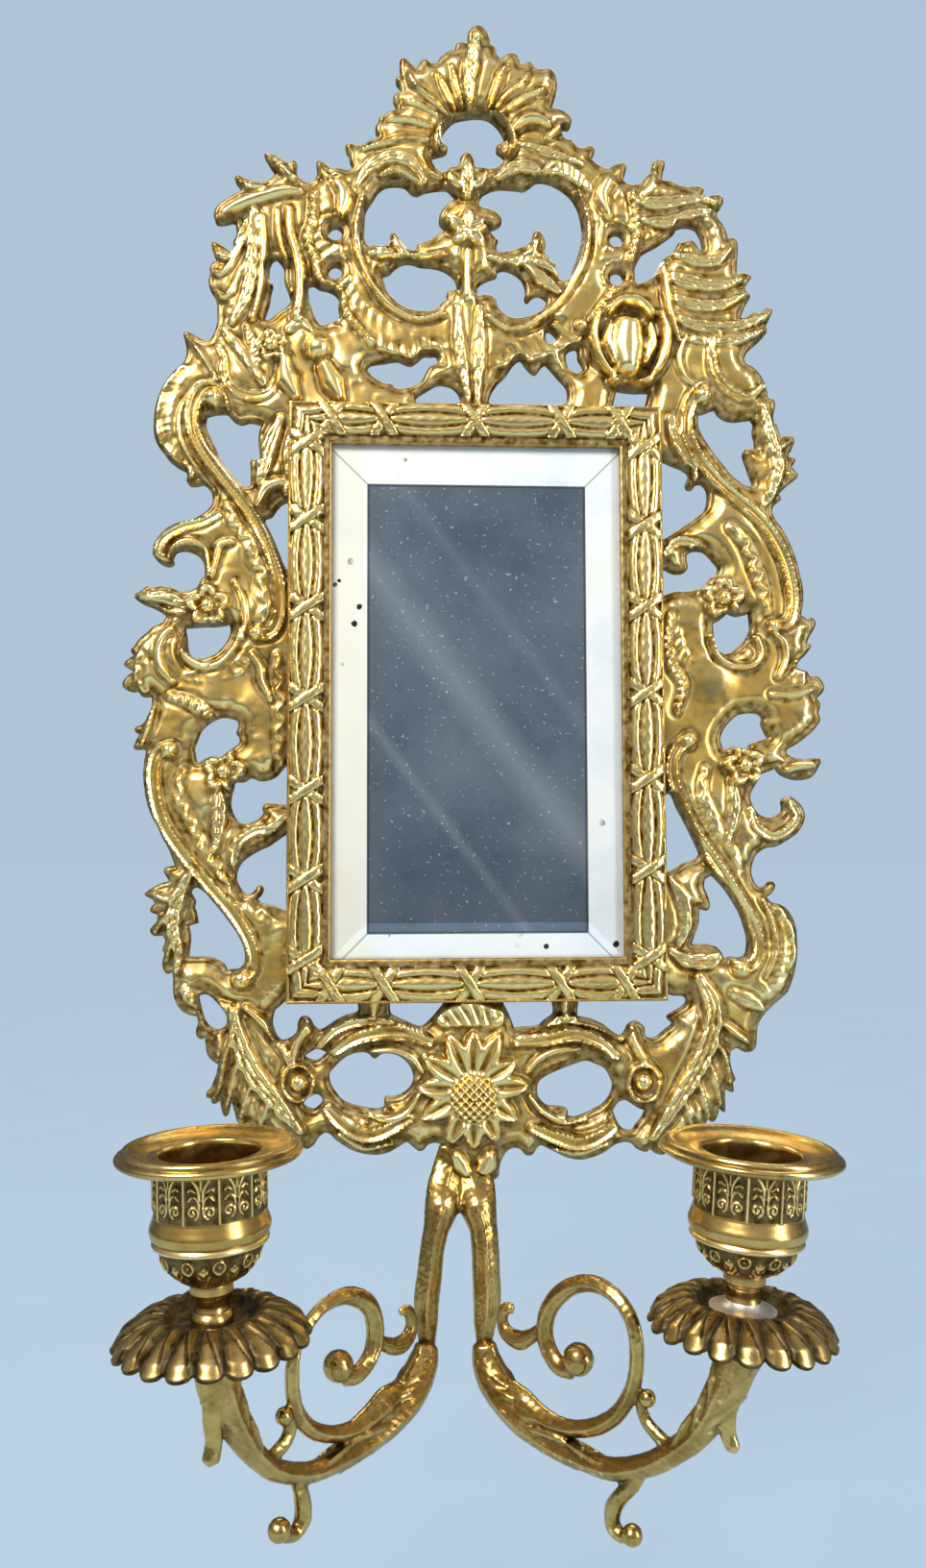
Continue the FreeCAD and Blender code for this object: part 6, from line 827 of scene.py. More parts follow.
def brass(name, deep, mid, high, dust, dust_share, rough, attr=True, spots=0.0, green=0.0):
    """Old cast brass: bright rubbed crests and brown patina in the hollows, set by the surface's shape, dusty
    lacquer, and painted shade: the Ambient Occlusion term darkens the colour further in crevices.
    """
    m, t, bsdf, coord = new_material(name)
    big, small, tiny = grain(t, coord, 90), grain(t, coord, 420, 4), grain(t, coord, 1500, 2)
    ao = node(t, "ShaderNodeAmbientOcclusion", Distance=0.003)
    ao.samples = 6
    if attr:
        a = t.nodes.new("ShaderNodeAttribute")
        a.attribute_name = "relief"
        wear_and_painted_shade = maths(t, "ADD", a.outputs["Fac"], maths(t, "MULTIPLY", big, 0.30))
        wear_and_painted_shade = maths(t, "ADD", wear_and_painted_shade, maths(t, "MULTIPLY", small, 0.12))
        # painted shade: the Ambient Occlusion term darkens the colour in crevices
        wear_and_painted_shade = maths(t, "ADD", wear_and_painted_shade, maths(t, "MULTIPLY", maths(t, "SUBTRACT", ao.outputs["AO"], 0.9), 0.6))
    else:
        geo = t.nodes.new("ShaderNodeNewGeometry")
        p = maths(t, "MULTIPLY", maths(t, "SUBTRACT", geo.outputs["Pointiness"], 0.5), 3.0)
        wear_and_painted_shade = maths(t, "ADD", p, maths(t, "MULTIPLY", big, 0.42))
        wear_and_painted_shade = maths(t, "ADD", wear_and_painted_shade, maths(t, "MULTIPLY", small, 0.22))
        # painted shade: the Ambient Occlusion term darkens the colour in crevices
        wear_and_painted_shade = maths(t, "ADD", wear_and_painted_shade, maths(t, "MULTIPLY", maths(t, "SUBTRACT", ao.outputs["AO"], 0.78), 0.9))
    metal = ramp(t, wear_and_painted_shade, [(0.08, deep), (0.40, mid), (0.80, high)])
    hollow = ramp(t, wear_and_painted_shade, [(0.18, (1, 1, 1)), (0.52, (0, 0, 0))])
    dusty = maths(t, "MULTIPLY", hollow, maths(t, "MULTIPLY", ramp(t, small, [(0.35, (0, 0, 0)),
                                                                   (0.62, (1, 1, 1))]), dust_share))
    colour = mix(t, dusty, metal, dust)
    if spots:
        speck = ramp(t, grain(t, coord, 700, 2), [(0.60, (0, 0, 0)), (0.68, (1, 1, 1))])
        colour = mix(t, maths(t, "MULTIPLY", speck, spots), colour, tuple(c * 0.35 for c in deep))
    if green:
        film = ramp(t, grain(t, coord, 160, 3), [(0.50, (0, 0, 0)), (0.68, (1, 1, 1))])
        colour = mix(t, maths(t, "MULTIPLY", film, green), colour, (0.10, 0.17, 0.05))
    t.links.new(colour, bsdf.inputs["Base Color"])
    t.links.new(maths(t, "SUBTRACT", 1.0, maths(t, "MULTIPLY", dusty, 0.75)), bsdf.inputs["Metallic"])
    r = maths(t, "ADD", maths(t, "MULTIPLY", small, 0.12), rough)
    r = maths(t, "ADD", r, maths(t, "MULTIPLY", hollow, 0.16))
    t.links.new(r, bsdf.inputs["Roughness"])
    b = node(t, "ShaderNodeBump", Strength=0.16, Distance=0.00010)
    t.links.new(maths(t, "ADD", small, maths(t, "MULTIPLY", tiny, 0.5)), b.inputs["Height"])
    t.links.new(b.outputs["Normal"], bsdf.inputs["Normal"])
    return m


GILT = brass("gilt_relief", (0.17, 0.088, 0.010), (0.74, 0.46, 0.10), (1.0, 0.79, 0.34),
             (0.40, 0.30, 0.12), 0.80, 0.19)
GILT_BACK = brass("gilt_cast", (0.20, 0.12, 0.03), (0.34, 0.21, 0.06), (0.50, 0.34, 0.12),
                  (0.30, 0.23, 0.11), 0.08, 0.36, attr=False)
ARM_BRASS = brass("arm_worn", (0.050, 0.029, 0.005), (0.29, 0.165, 0.033), (0.96, 0.67, 0.24),
                  (0.13, 0.090, 0.028), 0.4, 0.16, attr=False, spots=0.30)
CUP_BRASS = brass("cup_worn", (0.075, 0.042, 0.008), (0.47, 0.28, 0.06), (0.96, 0.70, 0.28),
                  (0.24, 0.17, 0.060), 0.6, 0.18, spots=0.2)
PAN_BRASS = brass("pan_worn", (0.045, 0.027, 0.006), (0.32, 0.20, 0.050), (0.88, 0.64, 0.26),
                  (0.17, 0.125, 0.050), 0.5, 0.22, spots=0.35)
NOZZLE_BRASS = brass("nozzle_worn", (0.07, 0.040, 0.008), (0.42, 0.25, 0.06), (0.92, 0.68, 0.27),
                     (0.20, 0.18, 0.08), 0.6, 0.16, spots=0.3, green=0.45)
STEEL = brass("old_steel", (0.05, 0.045, 0.04), (0.20, 0.18, 0.15), (0.45, 0.43, 0.38),
              (0.16, 0.11, 0.07), 0.5, 0.35, attr=False)
GREY = brass("grey_metal_worn", (0.20, 0.19, 0.17), (0.50, 0.48, 0.43), (0.86, 0.84, 0.78),
             (0.60, 0.58, 0.52), 0.7, 0.36, attr=False)


def board_material():
    m, t, bsdf, coord = new_material("old_board")
    stretch = node(t, "ShaderNodeMapping", Scale=(60, 60, 900))
    t.links.new(coord, stretch.inputs["Vector"])
    lines = grain(t, stretch.outputs["Vector"], 1.0, 5, 0.6, 1.2)
    stain = grain(t, coord, 30)
    c = ramp(t, lines, [(0.3, (0.10, 0.058, 0.03)), (0.7, (0.27, 0.17, 0.09))])
    c = mix(t, maths(t, "MULTIPLY", stain, 0.5), c, (0.09, 0.06, 0.04))
    t.links.new(c, bsdf.inputs["Base Color"])
    t.links.new(maths(t, "ADD", maths(t, "MULTIPLY", lines, 0.3), 0.55), bsdf.inputs["Roughness"])
    b = node(t, "ShaderNodeBump", Strength=0.4, Distance=0.0002)
    t.links.new(lines, b.inputs["Height"])
    t.links.new(b.outputs["Normal"], bsdf.inputs["Normal"])
    return m


def felt_material():
    m, t, bsdf, coord = new_material("packing_felt_fibre")
    f, g = grain(t, coord, 2200, 3), grain(t, coord, 120)
    c = mix(t, g, (0.14, 0.12, 0.10), (0.24, 0.21, 0.17))
    t.links.new(mix(t, f, c, (0.08, 0.07, 0.06)), bsdf.inputs["Base Color"])
    t.links.new(maths(t, "ADD", maths(t, "MULTIPLY", f, 0.2), 0.75), bsdf.inputs["Roughness"])
    return m


BEVEL_IN = ((-31.9, 30.6), (-198.2, -70.4))


def mirror_material():
    """Old silvering under glass, with painted reflection: the dark slate middle, its light diagonal bands and
    the near-white bevel, with a warmer strip on its left side, stand in for what the glass reflects; painted
    shade draws dark lines at the bevel's inner edge and mitres; the black foxing near the edges and the light
    specks are the silvering's own.
    """
    m, t, bsdf, coord = new_material("silvering_with_painted_reflection")
    sep = t.nodes.new("ShaderNodeSeparateXYZ")
    t.links.new(coord, sep.inputs[0])
    x, z = sep.outputs["X"], sep.outputs["Z"]
    (x0, x1), (z0, z1) = BEVEL_IN
    cx, hx = (x0 + x1) / 2 * MM, (x1 - x0) / 2 * MM
    cz, hz = (z0 + z1) / 2 * MM, (z1 - z0) / 2 * MM
    out_x = maths(t, "SUBTRACT", maths(t, "ABSOLUTE", maths(t, "SUBTRACT", x, cx), 0), hx)
    out_z = maths(t, "SUBTRACT", maths(t, "ABSOLUTE", maths(t, "SUBTRACT", z, cz), 0), hz)
    out = maths(t, "MAXIMUM", out_x, out_z)
    bevel = maths(t, "GREATER_THAN", out, 0.0)
    # masks for painted shade lines at the bevel's inner edge and along the mitres
    line = maths(t, "LESS_THAN", maths(t, "ABSOLUTE", maths(t, "SUBTRACT", out, -0.0005), 0), 0.00022)
    mitre = maths(t, "LESS_THAN", maths(t, "ABSOLUTE", maths(t, "SUBTRACT", out_x, out_z), 0), 0.0003)
    big, small, speck = grain(t, coord, 28, 4), grain(t, coord, 240, 4), grain(t, coord, 900, 3)
    # painted reflection: the dark slate middle stands in for the room the glass reflects
    slate = ramp(t, big, [(0.32, (0.085, 0.125, 0.165)), (0.68, (0.20, 0.245, 0.29))])
    slate = mix(t, maths(t, "MULTIPLY", small, 0.35), slate, (0.22, 0.27, 0.32))
    # painted reflection: light diagonal bands across the middle
    reflection_band_axis = maths(t, "ADD", maths(t, "MULTIPLY", x, 0.80), maths(t, "MULTIPLY", z, 0.60))
    for place, width, share in ((-0.0815, 0.0070, 0.62), (-0.108, 0.0024, 0.42), (-0.060, 0.003, 0.22)):
        d = maths(t, "DIVIDE", maths(t, "ABSOLUTE", maths(t, "SUBTRACT", reflection_band_axis, place), 0), width)
        band = maths(t, "MULTIPLY", maths(t, "SUBTRACT", 1.0, d, True), share)
        slate = mix(t, band, slate, (0.34, 0.39, 0.44))
    white = ramp(t, speck, [(0.655, (0, 0, 0)), (0.69, (1, 1, 1))])
    slate = mix(t, maths(t, "MULTIPLY", white, 0.75), slate, (0.62, 0.68, 0.74))
    # painted reflection: the near-white bevel, with a warmer strip on its left side
    bevel_painted_reflection = ramp(t, big, [(0.30, (0.80, 0.86, 0.88)), (0.5, (0.97, 0.98, 0.96)), (0.72, (0.98, 0.94, 0.80))])
    bevel_painted_reflection = mix(t, maths(t, "MULTIPLY", small, 0.25), bevel_painted_reflection, (0.66, 0.72, 0.76))
    left = ramp(t, maths(t, "ADD", maths(t, "MULTIPLY", x, 18.0),
                         maths(t, "ADD", maths(t, "MULTIPLY", big, 0.5), 0.40)),
                [(0.02, (1, 1, 1)), (0.14, (0, 0, 0))])
    bevel_painted_reflection = mix(t, maths(t, "MULTIPLY", left, 0.55), bevel_painted_reflection, (0.93, 0.88, 0.66))
    colour = mix(t, bevel, slate, bevel_painted_reflection)
    fox = node(t, "ShaderNodeTexVoronoi", Scale=150.0, Randomness=1.0)
    t.links.new(coord, fox.inputs["Vector"])
    rare = ramp(t, grain(t, coord, 75, 2), [(0.47, (0, 0, 0)), (0.55, (1, 1, 1))])
    dots = maths(t, "LESS_THAN", fox.outputs["Distance"], maths(t, "MULTIPLY", small, 0.26))
    dots = maths(t, "MULTIPLY", maths(t, "MULTIPLY", dots, rare), bevel)
    colour = mix(t, dots, colour, (0.02, 0.02, 0.02))
    # painted shade: dark lines at the bevel's inner edge and along the mitres
    colour = mix(t, maths(t, "MULTIPLY", line, 0.7), colour, (0.04, 0.05, 0.06))
    colour = mix(t, maths(t, "MULTIPLY", maths(t, "MULTIPLY", mitre, bevel), 0.6), colour, (0.10, 0.12, 0.13))
    t.links.new(colour, bsdf.inputs["Base Color"])
    t.links.new(maths(t, "ADD", maths(t, "MULTIPLY", bevel, -0.30), 0.62), bsdf.inputs["Metallic"])
    t.links.new(maths(t, "ADD", maths(t, "MULTIPLY", small, 0.12), 0.04), bsdf.inputs["Roughness"])
    bsdf.inputs["Coat Weight"].default_value = 0.35
    bsdf.inputs["Coat Roughness"].default_value = 0.05
    return m


def dress(name, material):
    o = frame["nodes"][name]
    o = o if hasattr(o, "material_slots") else bpy.data.objects[name]
    for s in o.material_slots:
        s.material = material
    if not o.material_slots:
        o.data.materials.append(material)
    return o


# ---- meshes ----------------------------------------------------------------------------------
def make_piece(name, points, faces, material, body, replaced=(), relief=None, sharp=None):
    """A mesh from points in mm; faces is one array of quads or a list of tuples."""
    mesh = bpy.data.meshes.new(name)
    points = np.clip(np.asarray(points) * MM, np.array(CAD_LO), np.array(CAD_HI))
    mesh.from_pydata(points.tolist(), [],
                     faces.tolist() if hasattr(faces, "tolist") else faces)
    mesh.materials.append(material)
    mesh.polygons.foreach_set("use_smooth", [True] * len(mesh.polygons))
    if relief is not None:
        layer = mesh.attributes.new("relief", "FLOAT", "POINT")
        layer.data.foreach_set("value", np.asarray(relief, np.float32))
    if sharp is not None:
        mesh.set_sharp_from_angle(angle=math.radians(sharp))
    mesh.validate()
    o = bpy.data.objects.new(name, mesh)
    bpy.context.scene.collection.objects.link(o)
    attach(o, body)
    if replaced:
        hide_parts(*replaced)
    return o


def plate(name, keep, replaced):
    """One half of the pierced plate: relief in front, walls round every edge, flat back."""
    cell = CELLS & keep[None, :]
    idx = np.full(MASK.shape, -1)
    used = np.zeros(MASK.shape, bool)
    for di in (0, 1):
        for dj in (0, 1):
            used[di:di + cell.shape[0], dj:dj + cell.shape[1]] |= cell
    idx[used] = np.arange(used.sum())
    pts = np.stack([SX[used], -HS[used], SZ[used]], 1)
    ci, cj = np.nonzero(cell)
    quads = np.stack([idx[ci, cj], idx[ci + 1, cj], idx[ci + 1, cj + 1], idx[ci, cj + 1]], 1)
    a = quads.ravel()
    b = np.roll(quads, -1, axis=1).ravel()
    n = len(pts)
    free = ~np.isin(a * n + b, b * n + a)
    a, b = a[free], b[free]
    rim = np.unique(a)
    back_of = np.full(n, -1)
    back_of[rim] = n + np.arange(len(rim))
    back = pts[rim].copy()
    back[:, 1] = 0.0
    walls = np.stack([b, a, back_of[a], back_of[b]], 1)
    slot_of = np.full(n, -1)
    slot_of[rim] = np.arange(len(rim))
    flat = [Vector((p[0], p[2])) for p in back]
    pairs = np.stack([slot_of[a], slot_of[b]], 1).tolist()
    co, _, tris, origin, _, _ = delaunay_2d_cdt(flat, pairs, [], 0, 1e-6)
    co = np.array([tuple(c) for c in co])
    where = np.array([o[0] if len(o) else -1 for o in origin])
    extra = np.nonzero(where < 0)[0]
    where[extra] = len(back) + np.arange(len(extra))
    back = np.vstack([back, np.stack([co[extra, 0], np.zeros(len(extra)), co[extra, 1]], 1)])
    tris = np.array([t for t in tris if len(t) == 3])
    mid = co[tris].mean(axis=1)
    pa, pb = pts[a][:, [0, 2]], pts[b][:, [0, 2]]
    within = np.zeros(len(tris), bool)
    for i in range(0, len(tris), 500):
        x, z = mid[i:i + 500, 0][:, None], mid[i:i + 500, 1][:, None]
        cross = (pa[:, 1] > z) != (pb[:, 1] > z)
        rise = np.where(pb[:, 1] == pa[:, 1], 1, pb[:, 1] - pa[:, 1])
        at = pa[:, 0] + (z - pa[:, 1]) * (pb[:, 0] - pa[:, 0]) / rise
        within[i:i + 500] = (cross & (at > x)).sum(axis=1) % 2 == 1
    back_faces = (where[tris[within]][:, ::-1] + n).tolist()
    faces = quads.tolist() + walls.tolist() + back_faces
    relief = np.concatenate([CAV[used], np.full(len(back), -0.2)])
    return make_piece(name, np.vstack([pts, back]), faces, GILT, "root", replaced,
                      relief, 62)


CELLS = MASK[:-1, :-1] & MASK[1:, :-1] & MASK[:-1, 1:] & MASK[1:, 1:]
for _ in range(4):
    c = CELLS
    pinch = (c[:-1, :-1] & c[1:, 1:] & ~c[1:, :-1] & ~c[:-1, 1:])
    pinch2 = (~c[:-1, :-1] & ~c[1:, 1:] & c[1:, :-1] & c[:-1, 1:])
    CELLS = c.copy()
    CELLS[:-1, :-1] &= ~pinch
    CELLS[1:, :-1] &= ~pinch2
count = np.zeros(MASK.shape, int)
for di in (0, 1):
    for dj in (0, 1):
        count[di:di + CELLS.shape[0], dj:dj + CELLS.shape[1]] += CELLS
edge_here = (count > 0) & (count < 4)
SX, SZ, HS, CAV = XX.copy(), ZZ.copy(), H.copy(), CAVITY.copy()
for i, j in np.argwhere(edge_here):
    co, k, d = tree.find((XX[i, j], ZZ[i, j], 0))
    if d < 1.6 * STEP:
        SX[i, j], SZ[i, j], HS[i, j] = co[0], co[1], 1.9
HS = np.minimum(HS, 11.6)
CUT_Z = -140.0
upper = GZ[:-1] >= CUT_Z
plate("frame_upper", upper, ("frame_casting",))
plate("frame_lower", ~upper, ("frame_casting",))


# ---- moulding round the sight: reeds in bundles, tied with crossed ribbons ---------------------
def ribbon_ties():
    """For each side, from its first corner: where its ties are, mm along the sight's edge."""
    c = seen(TIES, MOULDING_FRONT)
    (x0, x1), (z0, z1) = SIGHT_X, SIGHT_Z
    return [sorted(z1 - p[1] for p in c if p[0] < x0 and z0 < p[1] < z1),
            sorted(p[0] - x0 for p in c if p[1] < z0 and x0 < p[0] < x1),
            sorted(p[1] - z0 for p in c if p[0] > x1 and z0 < p[1] < z1),
            sorted(x1 - p[0] for p in c if p[1] > z1 and x0 < p[0] < x1)]


def reeds(a, s, length, ties):
    """The moulding's face, a mm out from the sight and s mm along: height before the wall, wear."""
    stops = np.array([-6.0] + ties + [length + 6.0])
    k = np.clip(np.searchsorted(stops, s) - 1, 0, len(stops) - 2)
    swell = np.sin(np.pi * np.clip((s - stops[k]) / (stops[k + 1] - stops[k]), 0, 1)) ** 0.8
    da = a - 6.9
    t = np.clip(np.abs(da) / (3.7 + 1.0 * swell), 0, 1)
    lens = 0.16 + 0.30 * swell
    q = np.where(t < lens, t / lens, (2 * t - 1 - lens) / (1 - lens))
    crown = np.sqrt(np.clip(1 - q * q, 0, 1))
    arch = 8.7 + 1.2 * np.sqrt(1 - (0.90 * t) ** 2)
    h = np.where(t < 1, arch + 1.25 * crown, 9.0)
    wear = np.where(t < 1, 1.25 * crown - 0.72, -0.35)
    band = a < 2.2
    h = np.where(band, 8.9 + 0.5 * np.sqrt(np.clip(1 - (1 - np.minimum(a, 1)) ** 2, 0, 1)), h)
    h = np.maximum(h - 0.6 * soft_step(a, 11.6, 12.4), 9.0 + 0.7 * bump(a, 11.7, 0.5) - 0.6 * (a > 12))
    wear = np.where(band, -0.50 + 0.5 * bump(a, 0.3, 0.5), wear) + 0.7 * bump(a, 11.7, 0.5)
    for tie in list(ties) + [0.0, length]:
        for sign in (1, -1):
            off = np.abs((s - tie) + sign * da * 0.62) / 1.18
            on = np.abs(da) < 4.7
            moat = on & (off < 1.75)
            h = np.where(moat, h - 0.45 * (1 - soft_step(off, 1.35, 1.75)), h)
            wear = np.where(moat, wear - 0.4 * (1 - soft_step(off, 1.35, 1.75)), wear)
            wrap = on & (off < 1.3)
            curve = np.sqrt(np.clip(1 - (off / 1.3) ** 2, 0, 1))
            h = np.where(wrap, np.maximum(h, arch + 1.15 - 0.12 * sign + 0.30 * curve), h)
            wear = np.where(wrap, 0.75 * curve - 0.20, wear)
    return np.minimum(h, 11.5), wear


def moulding():
    (x0, x1), (z0, z1) = SIGHT_X, SIGHT_Z
    sides = [((x0, z1), (x0, z0), (-1, 1), (-1, -1)), ((x0, z0), (x1, z0), (-1, -1), (1, -1)),
             ((x1, z0), (x1, z1), (1, -1), (1, 1)), ((x1, z1), (x0, z1), (1, 1), (-1, 1))]
    a_front = np.concatenate([np.linspace(0, 1.0, 5), np.arange(1.25, MOULDING_W + 0.01, 0.26)])
    a_front[-1] = MOULDING_W
    tail = [(MOULDING_W, 7.0), (MOULDING_W, 4.5), (MOULDING_W, 2.0), (MOULDING_W, 0.03), (RECESS_OUT, 0.03),
            (RECESS_OUT, RECESS_DEPTH), (GLASS_LAP, RECESS_DEPTH), (GLASS_LAP, GLASS_FRONT),
            (1.5, GLASS_FRONT), (0.0, GLASS_FRONT)]
    pts, rel = [], []
    for (p, q, cp, cq), ties in zip(sides, ribbon_ties()):
        p, q, cp, cq = map(np.array, (p, q, cp, cq))
        length = np.linalg.norm(q - p)
        n = int(length / 0.40)
        u = np.linspace(0, 1, n, endpoint=False)
        a_all = np.concatenate([a_front, [r[0] for r in tail]])
        A, U = np.meshgrid(a_all, u)
        start = p[None, None] + cp * A[..., None]
        end = q[None, None] + cq * A[..., None]
        place = start * (1 - U[..., None]) + end * U[..., None]
        d = (q - p) / length
        s = (place - p) @ d
        face, wear = reeds(A[:, :len(a_front)], s[:, :len(a_front)], length, ties)
        face = face + 0.05 * np.sin(s[:, :len(a_front)] * 1.7) * np.sin(A[:, :len(a_front)] * 2.9)
        depth = np.concatenate([face, np.tile([r[1] for r in tail], (n, 1))], 1)
        pts.append(np.stack([place[..., 0], -depth, place[..., 1]], -1))
        low = np.concatenate([wear, np.full((n, len(tail)), -0.4)], 1)
        rel.append(low)
    pts, rel = np.concatenate(pts), np.concatenate(rel)
    n, m = pts.shape[:2]
    i, j = np.meshgrid(np.arange(n), np.arange(m), indexing="ij")
    i2, j2 = (i + 1) % n, (j + 1) % m
    quads = np.stack([i * m + j, i2 * m + j, i2 * m + j2, i * m + j2], -1).reshape(-1, 4)
    return make_piece("sight_moulding", pts.reshape(-1, 3), quads, GILT, "root",
                      ("frame_casting",), rel.ravel(), 70)


moulding()


# ---- turned and pressed pieces on the candle uprights ------------------------------------------
UPRIGHT = {
 "left": {"foot_r": 4.9, "bowl_h": 8.4, "pan_r": 22.0},
 "right": {"foot_r": 7.6, "bowl_h": 7.1, "pan_r": 21.3},
}
FOOT_H, NECK_H, NECK_R, COLLAR_R, COLLAR_H = 2.3, 3.4, 3.9, 4.75, 2.8
BOWL_R, RING_R, RING_H, CUP_H, BORE, WALL = 11.6, 13.4, 6.7, 11.4, 11.7, 12.45
RIM_R, RIM_H, CANDLE_R, SLEEVE = 20.7, 3.3, 11.0, 17.0
FOOT_Z = 1.3
CUP_Z = FOOT_Z + FOOT_H + 0.1


def upright(hand, r, phi, h):
    """Places on an upright's own frame (radius, angle, height), in the object's frame."""
    t = math.radians(LEAN[hand])
    x, y = r * np.cos(phi), r * np.sin(phi)
    sx, sy, sz = SEAT[hand]
    return np.stack([sx + x * math.cos(t) + h * math.sin(t), sy + y,
                     sz - x * math.sin(t) + h * math.cos(t)], -1)


def ring_mesh(P):
    n, m = P.shape[:2]
    i, j = np.meshgrid(np.arange(n), np.arange(m), indexing="ij")
    i2, j2 = (i + 1) % n, (j + 1) % m
    return np.stack([i * m + j, i * m + j2, i2 * m + j2, i2 * m + j], -1).reshape(-1, 4)


def profile_line(parts, step):
    """A turned profile: runs of (r, h) points, each a smooth curve, joined end to end."""
    return np.vstack([smooth_line(run, step)[:-1] if len(run) > 2 else
                      np.linspace(run[0], run[1], max(2, int(math.dist(run[0], run[1]) / step) + 1))[:-1]
                      for run in parts])


def turned(name, hand, parts, n, step, skin, material, body, replaced, sharp=50):
    line = profile_line(parts, step)
    after, before = np.roll(line, -1, 0), np.roll(line, 1, 0)
    d = after - before
    size = np.maximum(np.hypot(d[:, 0], d[:, 1]), 1e-9)
    normal = np.stack([d[:, 1], -d[:, 0]], 1) / size[:, None]
    phi = np.linspace(0, 2 * np.pi, n, endpoint=False)
    R, PHI = np.meshgrid(line[:, 0], phi)
    Z = np.tile(line[:, 1], (n, 1))
    raise_by, relief = skin(R, PHI, Z, normal)
    R2 = R + raise_by * normal[:, 0]
    Z2 = Z + raise_by * normal[:, 1]
    P = upright(hand, R2, PHI, Z2)
    return make_piece(name, P.reshape(-1, 3), ring_mesh(P)[:, ::-1], material, body, replaced,
                      relief.ravel(), sharp)


def near_line(u, v, path):
    best = np.full(u.shape, 1e9)
    for p, q in zip(path[:-1], path[1:]):
        d = np.subtract(q, p)
        s2 = max(float(d @ d), 1e-12)
        t = np.clip(((u - p[0]) * d[0] + (v - p[1]) * d[1]) / s2, 0, 1)
        best = np.minimum(best, np.hypot(u - p[0] - t * d[0], v - p[1] - t * d[1]))
    return best


def volute(cx, cz, r, side):
    """A scroll that winds in at the foot: points on a spiral from its eye out to radius r."""
    turns = []
    for k in range(23):
        reach, angle = 0.22 + (r - 0.22) * k / 22, math.radians(250 - 22 * (22 - k))
        turns.append((cx + side * reach * math.cos(angle), cz + reach * math.sin(angle)))
    return turns


BAYS = 10


def cup_skin(z4, z3, z2):
    def skin(R, PHI, Z, normal):
        out = normal[:, 0] > 0.15
        bay = 2 * np.pi * WALL / BAYS
        u = (PHI / (2 * np.pi) * BAYS % 1 - 0.5) * bay
        v = Z - z4
        au = np.abs(u)
        curls = near_line(au, v, volute(1.85, 3.1, 1.45, 1))
        stalk = [(0.45, 3.2), (0.40, 4.6), (0.9, 6.0), (1.9, 6.4), (2.7, 5.6)]
        arm = near_line(au, v, smooth_line(stalk, 0.3))
        leaf = near_line(au, v, smooth_line([(0.35, 5.6), (0.55, 7.6), (1.3, 9.2), (2.2, 10.2)], 0.4))
        leaf2 = near_line(au, v, smooth_line([(1.2, 7.4), (2.2, 8.0), (2.7, 7.6)], 0.4))
        tongue = near_line(au, v, [(0.0, 7.8), (0.0, 10.6)])
        bar = np.abs(au - bay / 2)
        hi = np.maximum.reduce([bump(curls, 0, 0.30), bump(arm, 0, 0.30), bump(leaf, 0, 0.34),
                                bump(leaf2, 0, 0.28), 0.8 * bump(tongue, 0, 0.35), bump(bar, 0, 0.36)])
        on = (v > 0.5) & (v < CUP_H - 0.3) & out & (R > WALL - 0.3)
        lift = np.where(on, 0.42 * hi - 0.12, 0.0)
        rel = np.where(on, 1.3 * hi - 0.55, 0.25)
        share = np.clip((Z - z2) / (z3 - z2), 0, 1)
        bowl = out & (Z > z2 + 0.4) & (Z < z3 - 0.1) & (R < BOWL_R + 0.1)
        k = PHI / (2 * np.pi) * BAYS % 1 - 0.5
        k2 = (PHI / (2 * np.pi) * BAYS + 0.5) % 1 - 0.5
        low_leaf = 1 - np.abs(k) / (0.46 * np.sqrt(np.clip(1 - share / 0.72, 0, 1)) + 0.01)
        vein = np.cos((share * 26 - np.abs(k) * 26))
        leafy = soft_step(low_leaf, 0, 0.4) * (0.7 + 0.3 * vein) + 0.5 * bump(k, 0, 0.03) * (share < 0.7)
        disc = np.hypot(k2 * 7.0, (share - 0.70) * 7.5)
        rosette = bump(disc, 1.25, 0.30) + 0.8 * bump(disc, 0, 0.45)
        hi2 = np.clip(np.maximum(leafy * (share < 0.75), rosette), 0, 1.2)
        lift = np.where(bowl, 0.50 * hi2 - 0.22, lift)
        rel = np.where(bowl, 1.1 * hi2 - 0.50, rel)
        rel = np.where(~out, -0.25, rel)
        lip = out & (Z > z3 - 0.1) & (Z < z3 + 1.4)
        return lift, np.where(lip, 0.8, rel)
    return skin


def plain_skin(R, PHI, Z, normal):
    dents = 0.05 * np.sin(PHI * 5 + R) * np.sin(Z * 1.3 + PHI * 2)
    return dents * (normal[:, 0] > 0), 0.30 + 0.5 * np.sin(PHI * 3 + Z) * 0.3


